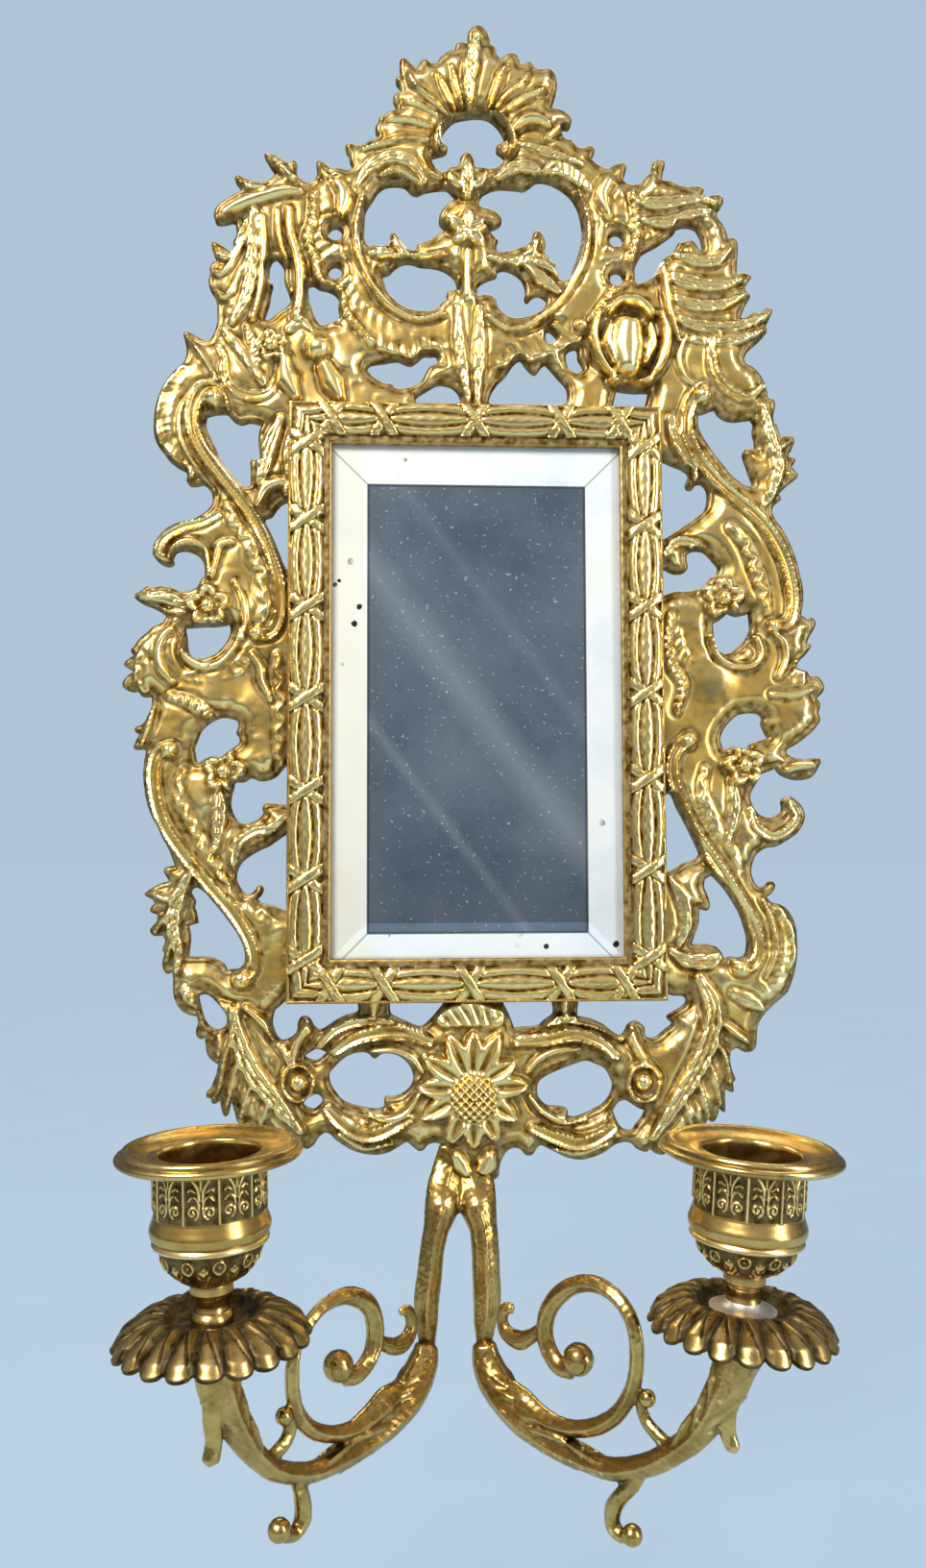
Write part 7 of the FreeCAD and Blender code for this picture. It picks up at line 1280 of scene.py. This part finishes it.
def candle_cup(hand):
    z0 = CUP_Z
    z1, z2 = z0 + NECK_H, z0 + NECK_H + COLLAR_H
    z3 = z2 + UPRIGHT[hand]["bowl_h"]
    z4 = z3 + RING_H
    z5 = z4 + CUP_H
    parts = [[(2.1, z0), (NECK_R, z0)], [(NECK_R, z0), (NECK_R - 0.25, z0 + 1.2), (NECK_R, z1 - 0.6),
                                         (4.35, z1)],
             [(4.35, z1), (COLLAR_R, z1 + 0.5), (COLLAR_R, z2 - 0.4), (COLLAR_R - 0.15, z2)],
             [(COLLAR_R - 0.15, z2), (COLLAR_R + 0.4, z2 + 0.15)],
             [(COLLAR_R + 0.4, z2 + 0.15), (BOWL_R * 0.70, z2 + 0.24 * (z3 - z2)),
              (BOWL_R * 0.91, z2 + 0.58 * (z3 - z2)), (BOWL_R, z3)],
             [(BOWL_R, z3), (RING_R - 0.7, z3 + 0.15), (RING_R - 0.45, z3 + 0.8), (RING_R - 0.9, z3 + 1.55)],
             [(RING_R - 0.9, z3 + 1.55), (RING_R - 0.3, z3 + 2.2), (RING_R, z3 + 3.8),
              (RING_R - 0.5, z3 + 5.4),
              (WALL, z4)],
             [(WALL, z4), (WALL, z5)], [(WALL, z5), (BORE, z5)], [(BORE, z5), (BORE, z3 + 0.6)],
             [(BORE, z3 + 0.6), (2.1, z3 + 0.6)], [(2.1, z3 + 0.6), (2.1, z0)]]
    turned(hand + "_cup_cast", hand, parts, 420, 0.26, cup_skin(z4, z3, z2), CUP_BRASS, hand + "_cup",
           (hand + "_candle_cup",))
    m = z5 + 0.1
    low, out, rim, h = m - SLEEVE, CANDLE_R + 0.6, RIM_R, RIM_H
    parts = [[(CANDLE_R, low), (out, low)], [(out, low), (out, m)], [(out, m), (rim - 4.4, m)],
             [(rim - 4.4, m), (rim - 1.4, m + 0.05), (rim - 0.3, m + 0.5), (rim, m + h * 0.36),
              (rim - 0.35, m + h * 0.58), (rim - 1.3, m + h * 0.64)],
             [(rim - 1.3, m + h * 0.64), (rim - 1.35, m + h * 0.80), (rim - 1.7, m + h * 0.94),
              (rim - 2.2, m + h),
              (rim - 3.0, m + h * 0.93)],
             [(rim - 3.0, m + h * 0.93), (rim - 4.6, m + h * 0.66), (CANDLE_R + 2.6, m + h * 0.42),
              (CANDLE_R + 1.0, m + h * 0.40)],
             [(CANDLE_R + 1.0, m + h * 0.40), (CANDLE_R + 0.5, m + h * 0.50), (CANDLE_R + 0.1, m + h * 0.34),
              (CANDLE_R, m)],
             [(CANDLE_R, m), (CANDLE_R, low)]]
    turned(hand + "_nozzle_rim", hand, parts, 240, 0.5, plain_skin, NOZZLE_BRASS, hand + "_nozzle_body",
           (hand + "_nozzle",))


PETALS = 20


def drip_pan(hand):
    """Folded petals round a dark well, each lapping its neighbour and creased by a slanting vein."""
    R = UPRIGHT[hand]["pan_r"]
    n, m = 480, 84
    phi = np.linspace(0, 2 * np.pi, n, endpoint=False)
    wob = 0.15 * np.sin(phi * 3 + 1) + 0.1 * np.sin(phi * 7)
    rho = np.linspace(0, 1, m)
    PHI, RHO = np.meshgrid(phi, rho, indexing="ij")
    k = (PHI / (2 * np.pi) * PETALS + 0.10 * RHO) % 1 - 0.5
    edge = R * (0.895 + 0.105 * np.sqrt(np.clip(np.cos(np.pi * k), 0, 1)))
    r = 2.3 + (edge - 2.3) * RHO
    base = np.interp(r, [2.3, 8.2, 9.0, 10.4, 13.0, 16.5, 19.5, R],
                     [1.2, 1.2, 1.6, 3.1, 3.0, 1.7, -0.3, -2.3])
    petal_zone = soft_step(r, 9.2, 13.0)
    arch = np.cos(np.pi * k) ** 0.6
    lap = 0.35 * (k + 0.5)
    swept = k - 0.42 * (r - 16.0) / 6.0
    vein = bump(swept, 0, 0.05) * soft_step(r, 11.5, 13.5) * (1 - soft_step(r, R - 2.2, R - 0.8))
    fold = 0.9 * arch + lap - 0.42 * vein + 0.22 * bump(swept, 0.10, 0.06) * soft_step(r, 12, 14)
    round_off = 1.1 * soft_step(RHO, 0.92, 1.0)
    top = base + petal_zone * (fold - 0.35) - round_off * petal_zone + wob[:, None] * RHO
    low = top - 1.0 - 0.2 * petal_zone
    low[:, -1] = top[:, -1] - 0.35
    P = np.concatenate([upright(hand, r, PHI, top), upright(hand, r[:, ::-1], PHI, low[:, ::-1])], 1)
    rel = petal_zone * (1.3 * (arch - 0.72) - 1.2 * vein) - 0.9 * (1 - petal_zone)
    rel = np.concatenate([rel, np.full(rel.shape, -0.3)], 1)
    make_piece(hand + "_pan_petals", P.reshape(-1, 3), ring_mesh(P), PAN_BRASS, hand + "_pan",
               (hand + "_drip_pan",), rel.ravel(), 60)


def seed_head():
    """The sunflower's seeds: a dome crossed by two sets of spiral furrows, over a turned shank."""
    n, m = 180, 44
    phi = np.linspace(0, 2 * np.pi, n, endpoint=False)
    q = np.linspace(0.03, 1, m)
    PHI, Q = np.meshgrid(phi, q, indexing="ij")
    r = SEED_R * np.sin(Q * np.pi / 2)
    u, v = r * np.cos(PHI), r * np.sin(PHI)
    a, b = np.cos((u + v) * 2.5), np.cos((u - v) * 2.5)
    seeds = 0.34 * (np.clip(a, -0.6, 1) + np.clip(b, -0.6, 1)) * (1 - soft_step(Q, 0.84, 0.93))
    y = 7.2 + 3.0 * np.cos(Q * np.pi / 2) + seeds
    rows = [np.stack([BOSS[0] + r * np.cos(PHI), -y, BOSS[1] + r * np.sin(PHI)], -1)]
    for radius, depth in ((SEED_R, 6.6), (2.0, 6.6), (2.0, 1.0), (0.4, 1.0)):
        ring = [BOSS[0] + radius * np.cos(phi), np.full(n, -depth), BOSS[1] + radius * np.sin(phi)]
        rows.append(np.stack(ring, -1)[:, None])
    P = np.concatenate(rows, 1)
    rel = np.concatenate([seeds * 1.6 + 0.28, np.full((n, 4), -0.4)], 1)
    quads = ring_mesh(P)
    make_piece("seed_dome", P.reshape(-1, 3), quads[:, ::-1], GILT, "root", ("seed_head_bolt",),
               rel.ravel(), 60)


for hand in ("left", "right"):
    candle_cup(hand)
    drip_pan(hand)
seed_head()

# ---- yoke and arms: swept limbs and leaf lobes, melted into one casting --------------------------
JOINT = {"left": (-15.4, -12.0, -309.1), "right": (0.3, -12.0, -309.1)}
STEM_END = {"left": -308.9, "right": -309.3}     # where the photograph shows the stems' ends, mm
LIMB_DIST = 346.0                # distance that turns a limb's width in pixels into mm


def photo(u, v, half):
    """A row read from the photograph: place and half width in pixels."""
    return "photo", u, v, half


def placed(out, up, half):
    """A row given directly: out from the stem's joint, up from it, and half width, mm."""
    return "placed", out, up, half


# the middle line of every limb, from its root to its tip
ARM = {
    "left": {
        "main": [photo(444, 1400, 8), photo(441, 1415, 13), placed(4.6, -7.3, 5.2),
                 placed(9.6, -10.6, 5.6), placed(15.9, -13.1, 5.0), photo(380, 1500, 14),
                 photo(350, 1520, 12), photo(320, 1532, 11), photo(290, 1530, 11), photo(270, 1517, 12),
                 photo(252, 1495, 15), placed(72.4, 9.4, 4.1), placed(75.6, 16.4, 5.0),
                 placed(77.0, 23.0, 5.3)],
        "scroll": [placed(12.5, -8.0, 3.0), placed(17.9, -8.4, 3.6), placed(23.6, -9.9, 3.0),
                   photo(365, 1488, 9), photo(345, 1492, 8), photo(325, 1487, 8), photo(311, 1472, 8),
                   photo(305, 1450, 8), photo(304, 1430, 8), placed(51.4, 14.6, 1.7), photo(312, 1392, 7),
                   photo(323, 1374, 7), photo(338, 1358, 7), photo(355, 1349, 8), photo(370, 1349, 9),
                   placed(24.1, 18.0, 2.4), placed(21.8, 13.2, 2.6), placed(21.8, 8.3, 2.6),
                   placed(24.0, 4.5, 2.4), placed(28.5, 2.4, 2.3), placed(33.4, 3.4, 2.0)],
        "link": [placed(11.2, 12.6, 0.8), placed(8.0, 11.6, 1.2), placed(6.6, 8.4, 1.4),
                 placed(7.4, 5.4, 1.6), placed(10.6, 4.0, 1.8), placed(15.0, 4.8, 1.5),
                 placed(20.6, 8.0, 1.1)],
        "curl": [placed(61.0, -6.6, 1.2), placed(57.4, -5.6, 1.4), placed(54.4, -4.4, 1.5),
                 placed(52.6, -2.0, 1.5), placed(53.4, 0.9, 1.5)],
        "tendril": [placed(51.2, -12.6, 1.6), placed(49.4, -16.6, 1.9), placed(48.2, -20.4, 2.3),
                    placed(48.2, -24.4, 2.4), placed(50.8, -26.6, 1.9), placed(54.0, -25.6, 1.8)],
        "droop": [placed(74.6, 18.0, 2.6), placed(76.4, 13.8, 2.9), placed(76.9, 9.2, 2.5),
                  placed(76.5, 4.6, 2.2), placed(77.4, 0.6, 2.3)],
        "beads": [placed(35.7, 6.8, 4.0), placed(56.0, -23.6, 2.9), placed(54.7, 1.8, 2.2)],
    },
    "right": {
        "main": [photo(504, 1400, 8), photo(507, 1418, 14), photo(515, 1437, 18), photo(528, 1458, 20),
                 photo(548, 1480, 19), placed(24.2, -18.1, 3.3), photo(605, 1520, 11),
                 photo(640, 1530, 12), placed(54.5, -12.8, 2.8), placed(61.5, -7.6, 3.0),
                 placed(68.3, -1.3, 3.2), placed(73.4, 6.0, 3.7), placed(77.6, 13.6, 4.6),
                 placed(80.4, 21.0, 5.1)],
        "scroll": [placed(9.6, -9.4, 3.0), placed(14.3, -10.8, 3.4), photo(562, 1474, 11),
                   photo(580, 1484, 9), photo(600, 1488, 8), photo(622, 1485, 8), photo(642, 1473, 8),
                   photo(656, 1452, 8), photo(662, 1430, 8), photo(663, 1405, 8), photo(659, 1380, 8),
                   photo(649, 1360, 8), photo(635, 1345, 8), photo(618, 1337, 8), photo(600, 1338, 8),
                   placed(27.1, 20.2, 2.2), photo(571, 1365, 9), placed(21.8, 9.8, 2.4),
                   placed(23.1, 5.3, 2.4), placed(26.6, 2.2, 2.4), placed(31.0, 2.2, 2.1)],
        "link": [placed(10.4, 12.4, 1.0), placed(7.8, 11.4, 1.2), placed(6.8, 8.4, 1.2),
                 placed(8.4, 5.4, 1.6), placed(12.9, 4.7, 1.8), placed(17.1, 6.9, 1.3),
                 placed(21.4, 10.6, 1.0)],
        "curl": [placed(64.6, -7.0, 1.1), placed(61.0, -6.4, 1.3), placed(57.6, -5.2, 1.4),
                 placed(54.3, -3.2, 1.3), placed(52.6, -0.4, 1.2), placed(53.0, 2.0, 1.1)],
        "tendril": [placed(52.0, -15.8, 1.7), placed(49.6, -19.6, 1.8), placed(46.2, -23.2, 2.1),
                    placed(43.6, -27.4, 2.3), placed(43.8, -31.4, 2.1), placed(47.0, -32.8, 1.8)],
        "droop": [placed(77.4, 16.0, 2.5), placed(77.6, 11.0, 2.8), placed(76.6, 6.4, 2.4),
                  placed(76.8, 1.8, 2.1), placed(78.2, -1.2, 1.9)],
        "beads": [placed(33.0, 5.6, 4.2), placed(49.4, -31.2, 2.7), placed(54.4, 2.6, 2.2)],
    },
}


def limb_rows(hand, part):
    """A limb's rows in mm. What was read lies in the upright plane of joint and seat, to a tenth."""
    joint, seat = np.array(JOINT[hand]), np.array(SEAT[hand])
    out = seat[:2] - joint[:2]
    out /= np.linalg.norm(out)
    across = np.array([-out[1], out[0], 0.0])
    eye = np.array([-(EYE @ AX_R) - SHIFT_X, -(EYE @ AX_IN), -(EYE @ AX_UP) - SHIFT_Z])
    rows = []
    for kind, a, b, half in ARM[hand][part]:
        if kind == "photo":
            ray = np.array([(a - MID_U) / FOCAL, (b - MID_V) / FOCAL, 1.0])
            way = np.array([ray @ AX_R, ray @ AX_IN, ray @ AX_UP])
            place = eye + way * ((joint - eye) @ across) / (way @ across)
            half = round(half * (LIMB_DIST + place[1]) / FOCAL, 1)
            a = round((place - joint)[:2] @ out, 1)
            b = round(place[2] - STEM_END[hand], 1)
        rows.append((float(a), float(b), float(half)))
    return rows


def tube(places, halves, side_dir, power=1.75, flat=1.0, n=20):
    """A closed limb through places, with a softly ridged section; side_dir lies across it."""
    c = smooth_line(places, 0.7)
    share = np.linspace(0, 1, len(c))
    runs = np.linalg.norm(np.diff(np.asarray(places, float), axis=0), axis=1)
    knots = np.concatenate([[0], np.cumsum(runs)])
    lens = np.concatenate([[0], np.cumsum(np.linalg.norm(np.diff(c, axis=0), axis=1))])
    w = np.interp(lens / lens[-1], knots / knots[-1], halves)
    f = np.interp(lens / lens[-1], knots / knots[-1], np.broadcast_to(flat, len(places)))
    d = np.gradient(c, axis=0)
    d /= np.linalg.norm(d, axis=1)[:, None]
    s = np.asarray(side_dir, float) - d * (d @ np.asarray(side_dir, float))[:, None]
    s /= np.linalg.norm(s, axis=1)[:, None]
    a = np.cross(d, s)
    ang = np.linspace(0, 2 * np.pi, n, endpoint=False)
    cs, sn = np.cos(ang), np.sin(ang)
    k = (np.abs(cs) ** power + np.abs(sn) ** power) ** (-1 / power)
    ring = (c[:, None] + a[:, None] * (w[:, None] * cs * k)[..., None]
            + s[:, None] * ((w * f)[:, None] * sn * k)[..., None])
    first = c[:1] - d[:1] * w[:1, None] * 0.6
    last = c[-1:] + d[-1:] * w[-1:, None] * 0.6
    m = len(c)
    pts = np.vstack([ring.reshape(-1, 3), first, last])
    i, j = np.meshgrid(np.arange(m - 1), np.arange(n), indexing="ij")
    j2 = (j + 1) % n
    faces = np.stack([i * n + j, i * n + j2, (i + 1) * n + j2, (i + 1) * n + j], -1).reshape(-1, 4).tolist()
    faces += [(m * n, (q + 1) % n, q) for q in range(n)]
    faces += [(m * n + 1, (m - 1) * n + q, (m - 1) * n + (q + 1) % n) for q in range(n)]
    return pts, faces


def ball(centre, r, n=20):
    bm = bmesh.new()
    bmesh.ops.create_uvsphere(bm, u_segments=n, v_segments=n // 2, radius=r)
    pts = np.array([v.co[:] for v in bm.verts]) + np.asarray(centre)
    faces = [[v.index for v in f.verts] for f in bm.faces]
    bm.free()
    return pts, faces


def melted(name, solids, voxel, material, body, replaced, settle=3):
    """One skin round overlapping solids."""
    pts, faces = [], []
    for p, f in solids:
        base = sum(len(q) for q in pts)
        pts.append(p)
        faces += [tuple(i + base for i in face) for face in f]
    o = make_piece(name, np.vstack(pts), faces, material, body, replaced)
    r = o.modifiers.new("melt", "REMESH")
    r.mode, r.voxel_size, r.use_smooth_shade = "VOXEL", voxel * MM, True
    k = o.modifiers.new("settle", "SMOOTH")
    k.factor, k.iterations = 0.5, settle
    dg = bpy.context.evaluated_depsgraph_get()
    mesh = bpy.data.meshes.new_from_object(o.evaluated_get(dg))
    o.modifiers.clear()
    o.data = mesh
    co = np.empty(len(mesh.vertices) * 3, np.float32)
    mesh.vertices.foreach_get("co", co)
    co = co.reshape(-1, 3)
    no = np.empty(len(mesh.vertices) * 3, np.float32)
    mesh.vertices.foreach_get("normal", no)
    q = co / MM
    rough = (np.sin(q[:, 0] * 1.9 + 2.1 * np.sin(q[:, 2] * 0.8)) * np.sin(q[:, 2] * 1.6 + q[:, 1] * 1.3)
             + 0.5 * np.sin(q[:, 0] * 4.1 + q[:, 1] * 3.7) * np.sin(q[:, 2] * 4.4))
    co += no.reshape(-1, 3) * (rough * 0.045 * MM)[:, None]
    co = np.clip(co, np.array(CAD_LO), np.array(CAD_HI))
    mesh.vertices.foreach_set("co", co.ravel())
    mesh.update()
    if not mesh.materials:
        mesh.materials.append(material)
    return o


# limb, its depth against its height, its fullness against the plain limb
LIMBS = (("main", 0.92, 1.0), ("scroll", 0.80, 1.12), ("link", 0.75, 1.5), ("curl", 0.8, 1.35),
         ("tendril", 0.95, 1.0), ("droop", 0.9, 1.0))
ELBOW = (3.7, 4.7, 5.4)         # least half widths of the main limb's first rows, mm
FILLETS = (("main", 1, 13), ("scroll", 1, 19))
# leaf lobes: from and to which row of the main limb, and size
LOBES = ((1, 3, 0.9), (2, 4, 1.0), (3, 5, 1.0), (4, 6, 0.85), (7, 5, 0.6), (9, 11, 0.8), (10, 12, 0.9),
         (11, 13, 1.0))


def arm(hand):
    rows = {part: limb_rows(hand, part) for part in ARM[hand]}
    joint, seat = np.array(JOINT[hand]), np.array(SEAT[hand])
    out = np.array([seat[0] - joint[0], seat[1] - joint[1], 0.0])
    out /= np.linalg.norm(out)
    side = np.array([-out[1], out[0], 0.0])
    if side[1] > 0:
        side = -side                     # towards the room

    def at(s, h, lift=0.0):
        return joint + out * s + np.array([0, 0, h]) + side * lift

    solids = []
    for part, flat, fuller in LIMBS:
        r = rows[part]
        halves = [w * fuller for _, _, w in r]
        if part == "main":
            halves[:3] = [max(a, b) for a, b in zip(halves[:3], ELBOW)]
        solids.append(tube([at(s, h) for s, h, _ in r], halves, side, 1.6, flat))
    # a fillet runs along each face of the main limb and the big scroll
    for part, first, last in FILLETS:
        r = rows[part][first:last]
        for face in (1, -1):
            solids.append(tube([at(s, h, face * 0.80 * w) for s, h, w in r],
                               [0.30 + 0.12 * w for _, _, w in r],
                               side, 2.0, 1.0, 10))
    # leaf lobes: round the elbow, along the bend and under the seat
    main = rows["main"]
    for a, b, size in LOBES:
        sa, ha, wa = main[a]
        sb, hb, wb = main[b]
        d = np.array([sb - sa, hb - ha])
        d /= np.linalg.norm(d)
        nrm = np.array([-d[1], d[0]])
        for face in (1, -1):
            for up in (1, -1):
                w = (wa + wb) / 2
                p0 = at(sa, ha, face * 0.74 * wa)
                p1 = at((sa + sb) / 2 + nrm[0] * up * w * 0.55, (ha + hb) / 2 + nrm[1] * up * w * 0.55,
                        face * 0.62 * w)
                p2 = at(sb + nrm[0] * up * wb * 0.98, hb + nrm[1] * up * wb * 0.98, face * 0.18 * w)
                solids.append(tube([p0, p1, p2], [0.5 * size, 1.15 * size, 0.45 * size], side, 2.0, 0.7, 10))
    for s, h, r in rows["beads"]:
        solids.append(ball(at(s, h), r * 0.97))
    t = math.radians(LEAN[hand])
    axis = np.array([math.sin(t), 0, math.cos(t)])
    r_end = main[-1][2] + 0.5
    solids.append(tube([seat - axis * 7.0, seat - axis * 4.0, seat - axis * 1.4],
                       [r_end * 0.9, r_end, r_end * 0.9],
                       side, 2.0, 1.0, 28))
    melted(hand + "_arm_cast", solids, 0.40, ARM_BRASS, "root", (hand + "_arm",))


# (u, v, half width in pixels, depth before the wall in mm) down each stem of the yoke
YOKE_STEMS = {
 "left": [(445,1402,8.0,11.0),(444,1376,12.0,11.0),(444,1353,13.5,10.6),(447,1328,13.2,10.2),
          (450,1300,12.6,9.6),
  (454,1280,13.4,8.9),(460,1256,18.5,7.2),(465,1236,21.0,4.9),(471,1214,20.5,2.7),(475,1196,19.0,2.3)],
 "right": [(504,1402,7.4,11.0),(505,1376,12.0,11.0),(507,1353,14.6,10.6),(506,1322,14.6,10.2),
           (505,1296,14.4,9.6),
  (503,1278,14.8,8.9),(498,1256,19.5,7.2),(494,1236,22.0,4.9),(488,1214,21.0,2.7),(484,1196,18.0,2.3)],
}
THIN = {1236: 2.7, 1214: 2.1, 1196: 1.9}      # half thickness behind the apron's tab, mm
# flat metal behind the tab: (v in pixels, depth and half width in mm), at one column u each
WEB_U, WEB = 478, ((1257, 7.0, 2.9), (1240, 5.0, 3.2), (1222, 3.0, 2.6))
TOP_U, TOP = 480, ((1186, 2.3, 4.6), (1206, 2.5, 6.4), (1226, 3.4, 6.0), (1250, 5.6, 1.6))
TONGUE_Y = -3.25
TONGUE = ((-262.0, 5.6), (-256.0, 5.7), (-250.0, 5.8), (-244.0, 5.8), (-238.5, 5.0))     # z, half width


def flat_limb(u, rows, power, flat):
    """A flat limb through rows of v, depth and half width at column u."""
    places = []
    for v, depth, _ in rows:
        x, z = seen([(u, v)], depth)[0]
        places.append((x, -depth, z))
    return tube(places, [half for _, _, half in rows], (0, 1, 0), power, flat, 24)


def yoke():
    scale = (DIST - 14.0) / FOCAL
    solids = []
    for stem in YOKE_STEMS.values():
        places, halves = [], []
        for u, v, half, depth in stem:
            x, z = seen([(u, v)], depth)[0]
            places.append((x, -depth, z))
            halves.append(half * scale)
        flat = [min(0.85, THIN.get(row[1], 9.0) / w, -0.96 * q[1] / w)
                for q, w, row in zip(places, halves, stem)]
        solids.append(tube(places, halves, (0, 1, 0), 1.7, flat, 24))
        ridge = [(x, y - 0.86 * w * k, z) for (x, y, z), w, k in zip(places[1:-1], halves[1:-1], flat[1:-1])]
        solids.append(tube(ridge, [0.6] + [0.85] * (len(ridge) - 2) + [0.6], (0, 1, 0), 2.0, 1.0, 10))
    solids.append(flat_limb(WEB_U, WEB, 2.2, 0.7))
    solids.append(flat_limb(TOP_U, TOP, 2.4, 0.34))
    tongue = [(BOSS[0], TONGUE_Y, z) for z, _ in TONGUE]
    solids.append(tube(tongue, [half for _, half in TONGUE], (0, 1, 0), 4.0, 0.21, 24))
    melted("yoke_cast", solids, 0.36, ARM_BRASS, "root", ("arm_yoke",))


for hand in ("left", "right"):
    arm(hand)
yoke()


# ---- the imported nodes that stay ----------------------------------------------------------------
dress("mirror_plate", mirror_material())
dress("mirror_packing", felt_material())
dress("backboard", board_material())
for name in ("turn_button_1", "turn_button_2", "turn_button_3", "turn_button_4"):
    dress(name, GILT_BACK)
for name in ("button_screws", "bolt_washer", "bolt_nut", "left_cup_stud", "right_cup_stud"):
    dress(name, STEEL)
dress("right_pan_washer", GREY)
dress("left_pan_washer", ARM_BRASS)

# ---- camera, light and floor ----------------------------------------------------------------------
def camera():
    place = np.array([-(EYE @ AX_R) - SHIFT_X, -(EYE @ AX_IN), -(EYE @ AX_UP) - SHIFT_Z]) * MM
    data = bpy.data.cameras.new("camera")
    o = bpy.data.objects.new("camera", data)
    bpy.context.scene.collection.objects.link(o)
    # rows of the frame's axes in the camera's axes (right, down, forward)
    to_world = np.stack([AX_R, AX_IN, AX_UP])
    right, down, forward = to_world[:, 0], to_world[:, 1], to_world[:, 2]
    m = Matrix([[right[k], -down[k], -forward[k], place[k]] for k in range(3)] + [[0, 0, 0, 1]])
    o.matrix_world = m
    data.sensor_fit = "VERTICAL"
    data.sensor_height = 36.0
    data.lens = 36.0 * FOCAL / PHOTO_H
    data.clip_start, data.clip_end = 0.01, 20
    bpy.context.scene.camera = o
    return o


def area(name, place, target, size, power, colour=(1, 1, 1)):
    data = bpy.data.lights.new(name, "AREA")
    data.shape = "RECTANGLE"
    data.size, data.size_y = size
    data.energy = power
    data.color = colour
    o = bpy.data.objects.new(name, data)
    o.location = place
    o.rotation_euler = (Vector(target) - Vector(place)).to_track_quat("-Z", "Y").to_euler()
    bpy.context.scene.collection.objects.link(o)


BACKDROP = (0.43, 0.555, 0.675)


def world():
    w = bpy.data.worlds.new("studio")
    bpy.context.scene.world = w
    w.use_nodes = True
    t = w.node_tree
    bg = t.nodes["Background"]
    path = t.nodes.new("ShaderNodeLightPath")
    seen_by = maths(t, "MAXIMUM", path.outputs["Is Camera Ray"], path.outputs["Is Transmission Ray"])
    way = t.nodes.new("ShaderNodeTexCoord")
    sep = t.nodes.new("ShaderNodeSeparateXYZ")
    t.links.new(way.outputs["Generated"], sep.inputs[0])
    above = maths(t, "ADD", maths(t, "MULTIPLY", sep.outputs["Z"], 0.50), 0.42, True)
    behind = maths(t, "ADD", maths(t, "MULTIPLY", sep.outputs["Y"], 1.1), 0.25, True)
    above = maths(t, "MULTIPLY", above, maths(t, "SUBTRACT", 1.0, maths(t, "MULTIPLY", behind, 0.9)))
    seen_by = maths(t, "MAXIMUM", seen_by, maths(t, "MULTIPLY", path.outputs["Is Glossy Ray"], above))
    strength = maths(t, "ADD", maths(t, "MULTIPLY", seen_by, 0.80), 0.20)
    t.links.new(strength, bg.inputs["Strength"])
    t.links.new(mix(t, path.outputs["Is Camera Ray"], (0.60, 0.61, 0.63), BACKDROP), bg.inputs["Color"])


def floor():
    m, t, bsdf, coord = new_material("floor_paper")
    n = grain(t, coord, 14, 2)
    paper = mix(t, n, BACKDROP, tuple(c * 1.05 for c in BACKDROP))
    t.links.new(paper, bsdf.inputs["Base Color"])
    glow = node(t, "ShaderNodeEmission", Strength=1.14)
    t.links.new(paper, glow.inputs["Color"])
    path = t.nodes.new("ShaderNodeLightPath")
    shown = t.nodes.new("ShaderNodeMixShader")
    t.links.new(maths(t, "MULTIPLY", path.outputs["Is Camera Ray"], 0.85), shown.inputs[0])
    t.links.new(bsdf.outputs[0], shown.inputs[1])
    t.links.new(glow.outputs[0], shown.inputs[2])
    t.links.new(shown.outputs[0], t.nodes["Material Output"].inputs["Surface"])
    t.links.new(maths(t, "ADD", maths(t, "MULTIPLY", n, 0.1), 0.8), bsdf.inputs["Roughness"])
    bsdf.inputs["Specular IOR Level"].default_value = 0.15
    z = CAD_LO.z - 0.06
    mesh = bpy.data.meshes.new("floor")
    mesh.from_pydata([(-40, -40, z), (40, -40, z), (40, 40, z), (-40, 40, z)], [], [(0, 1, 2, 3)])
    mesh.materials.append(m)
    o = bpy.data.objects.new("floor", mesh)
    bpy.context.scene.collection.objects.link(o)


camera()
world()
floor()
area("key", (-0.50, -0.70, 0.55), (0, 0, -0.12), (0.45, 0.45), 15.0, (1.0, 0.98, 0.94))
area("fill", (0.75, -0.60, 0.10), (0, 0, -0.14), (0.25, 0.9), 6.0, (0.96, 0.98, 1.0))
area("front_low", (-0.15, -1.0, -0.55), (0, 0, -0.18), (0.9, 0.2), 2.2)
area("rim", (0.1, 0.55, 0.55), (0, 0, -0.12), (0.8, 0.3), 3.0)

bpy.context.scene.view_settings.view_transform = "Standard"
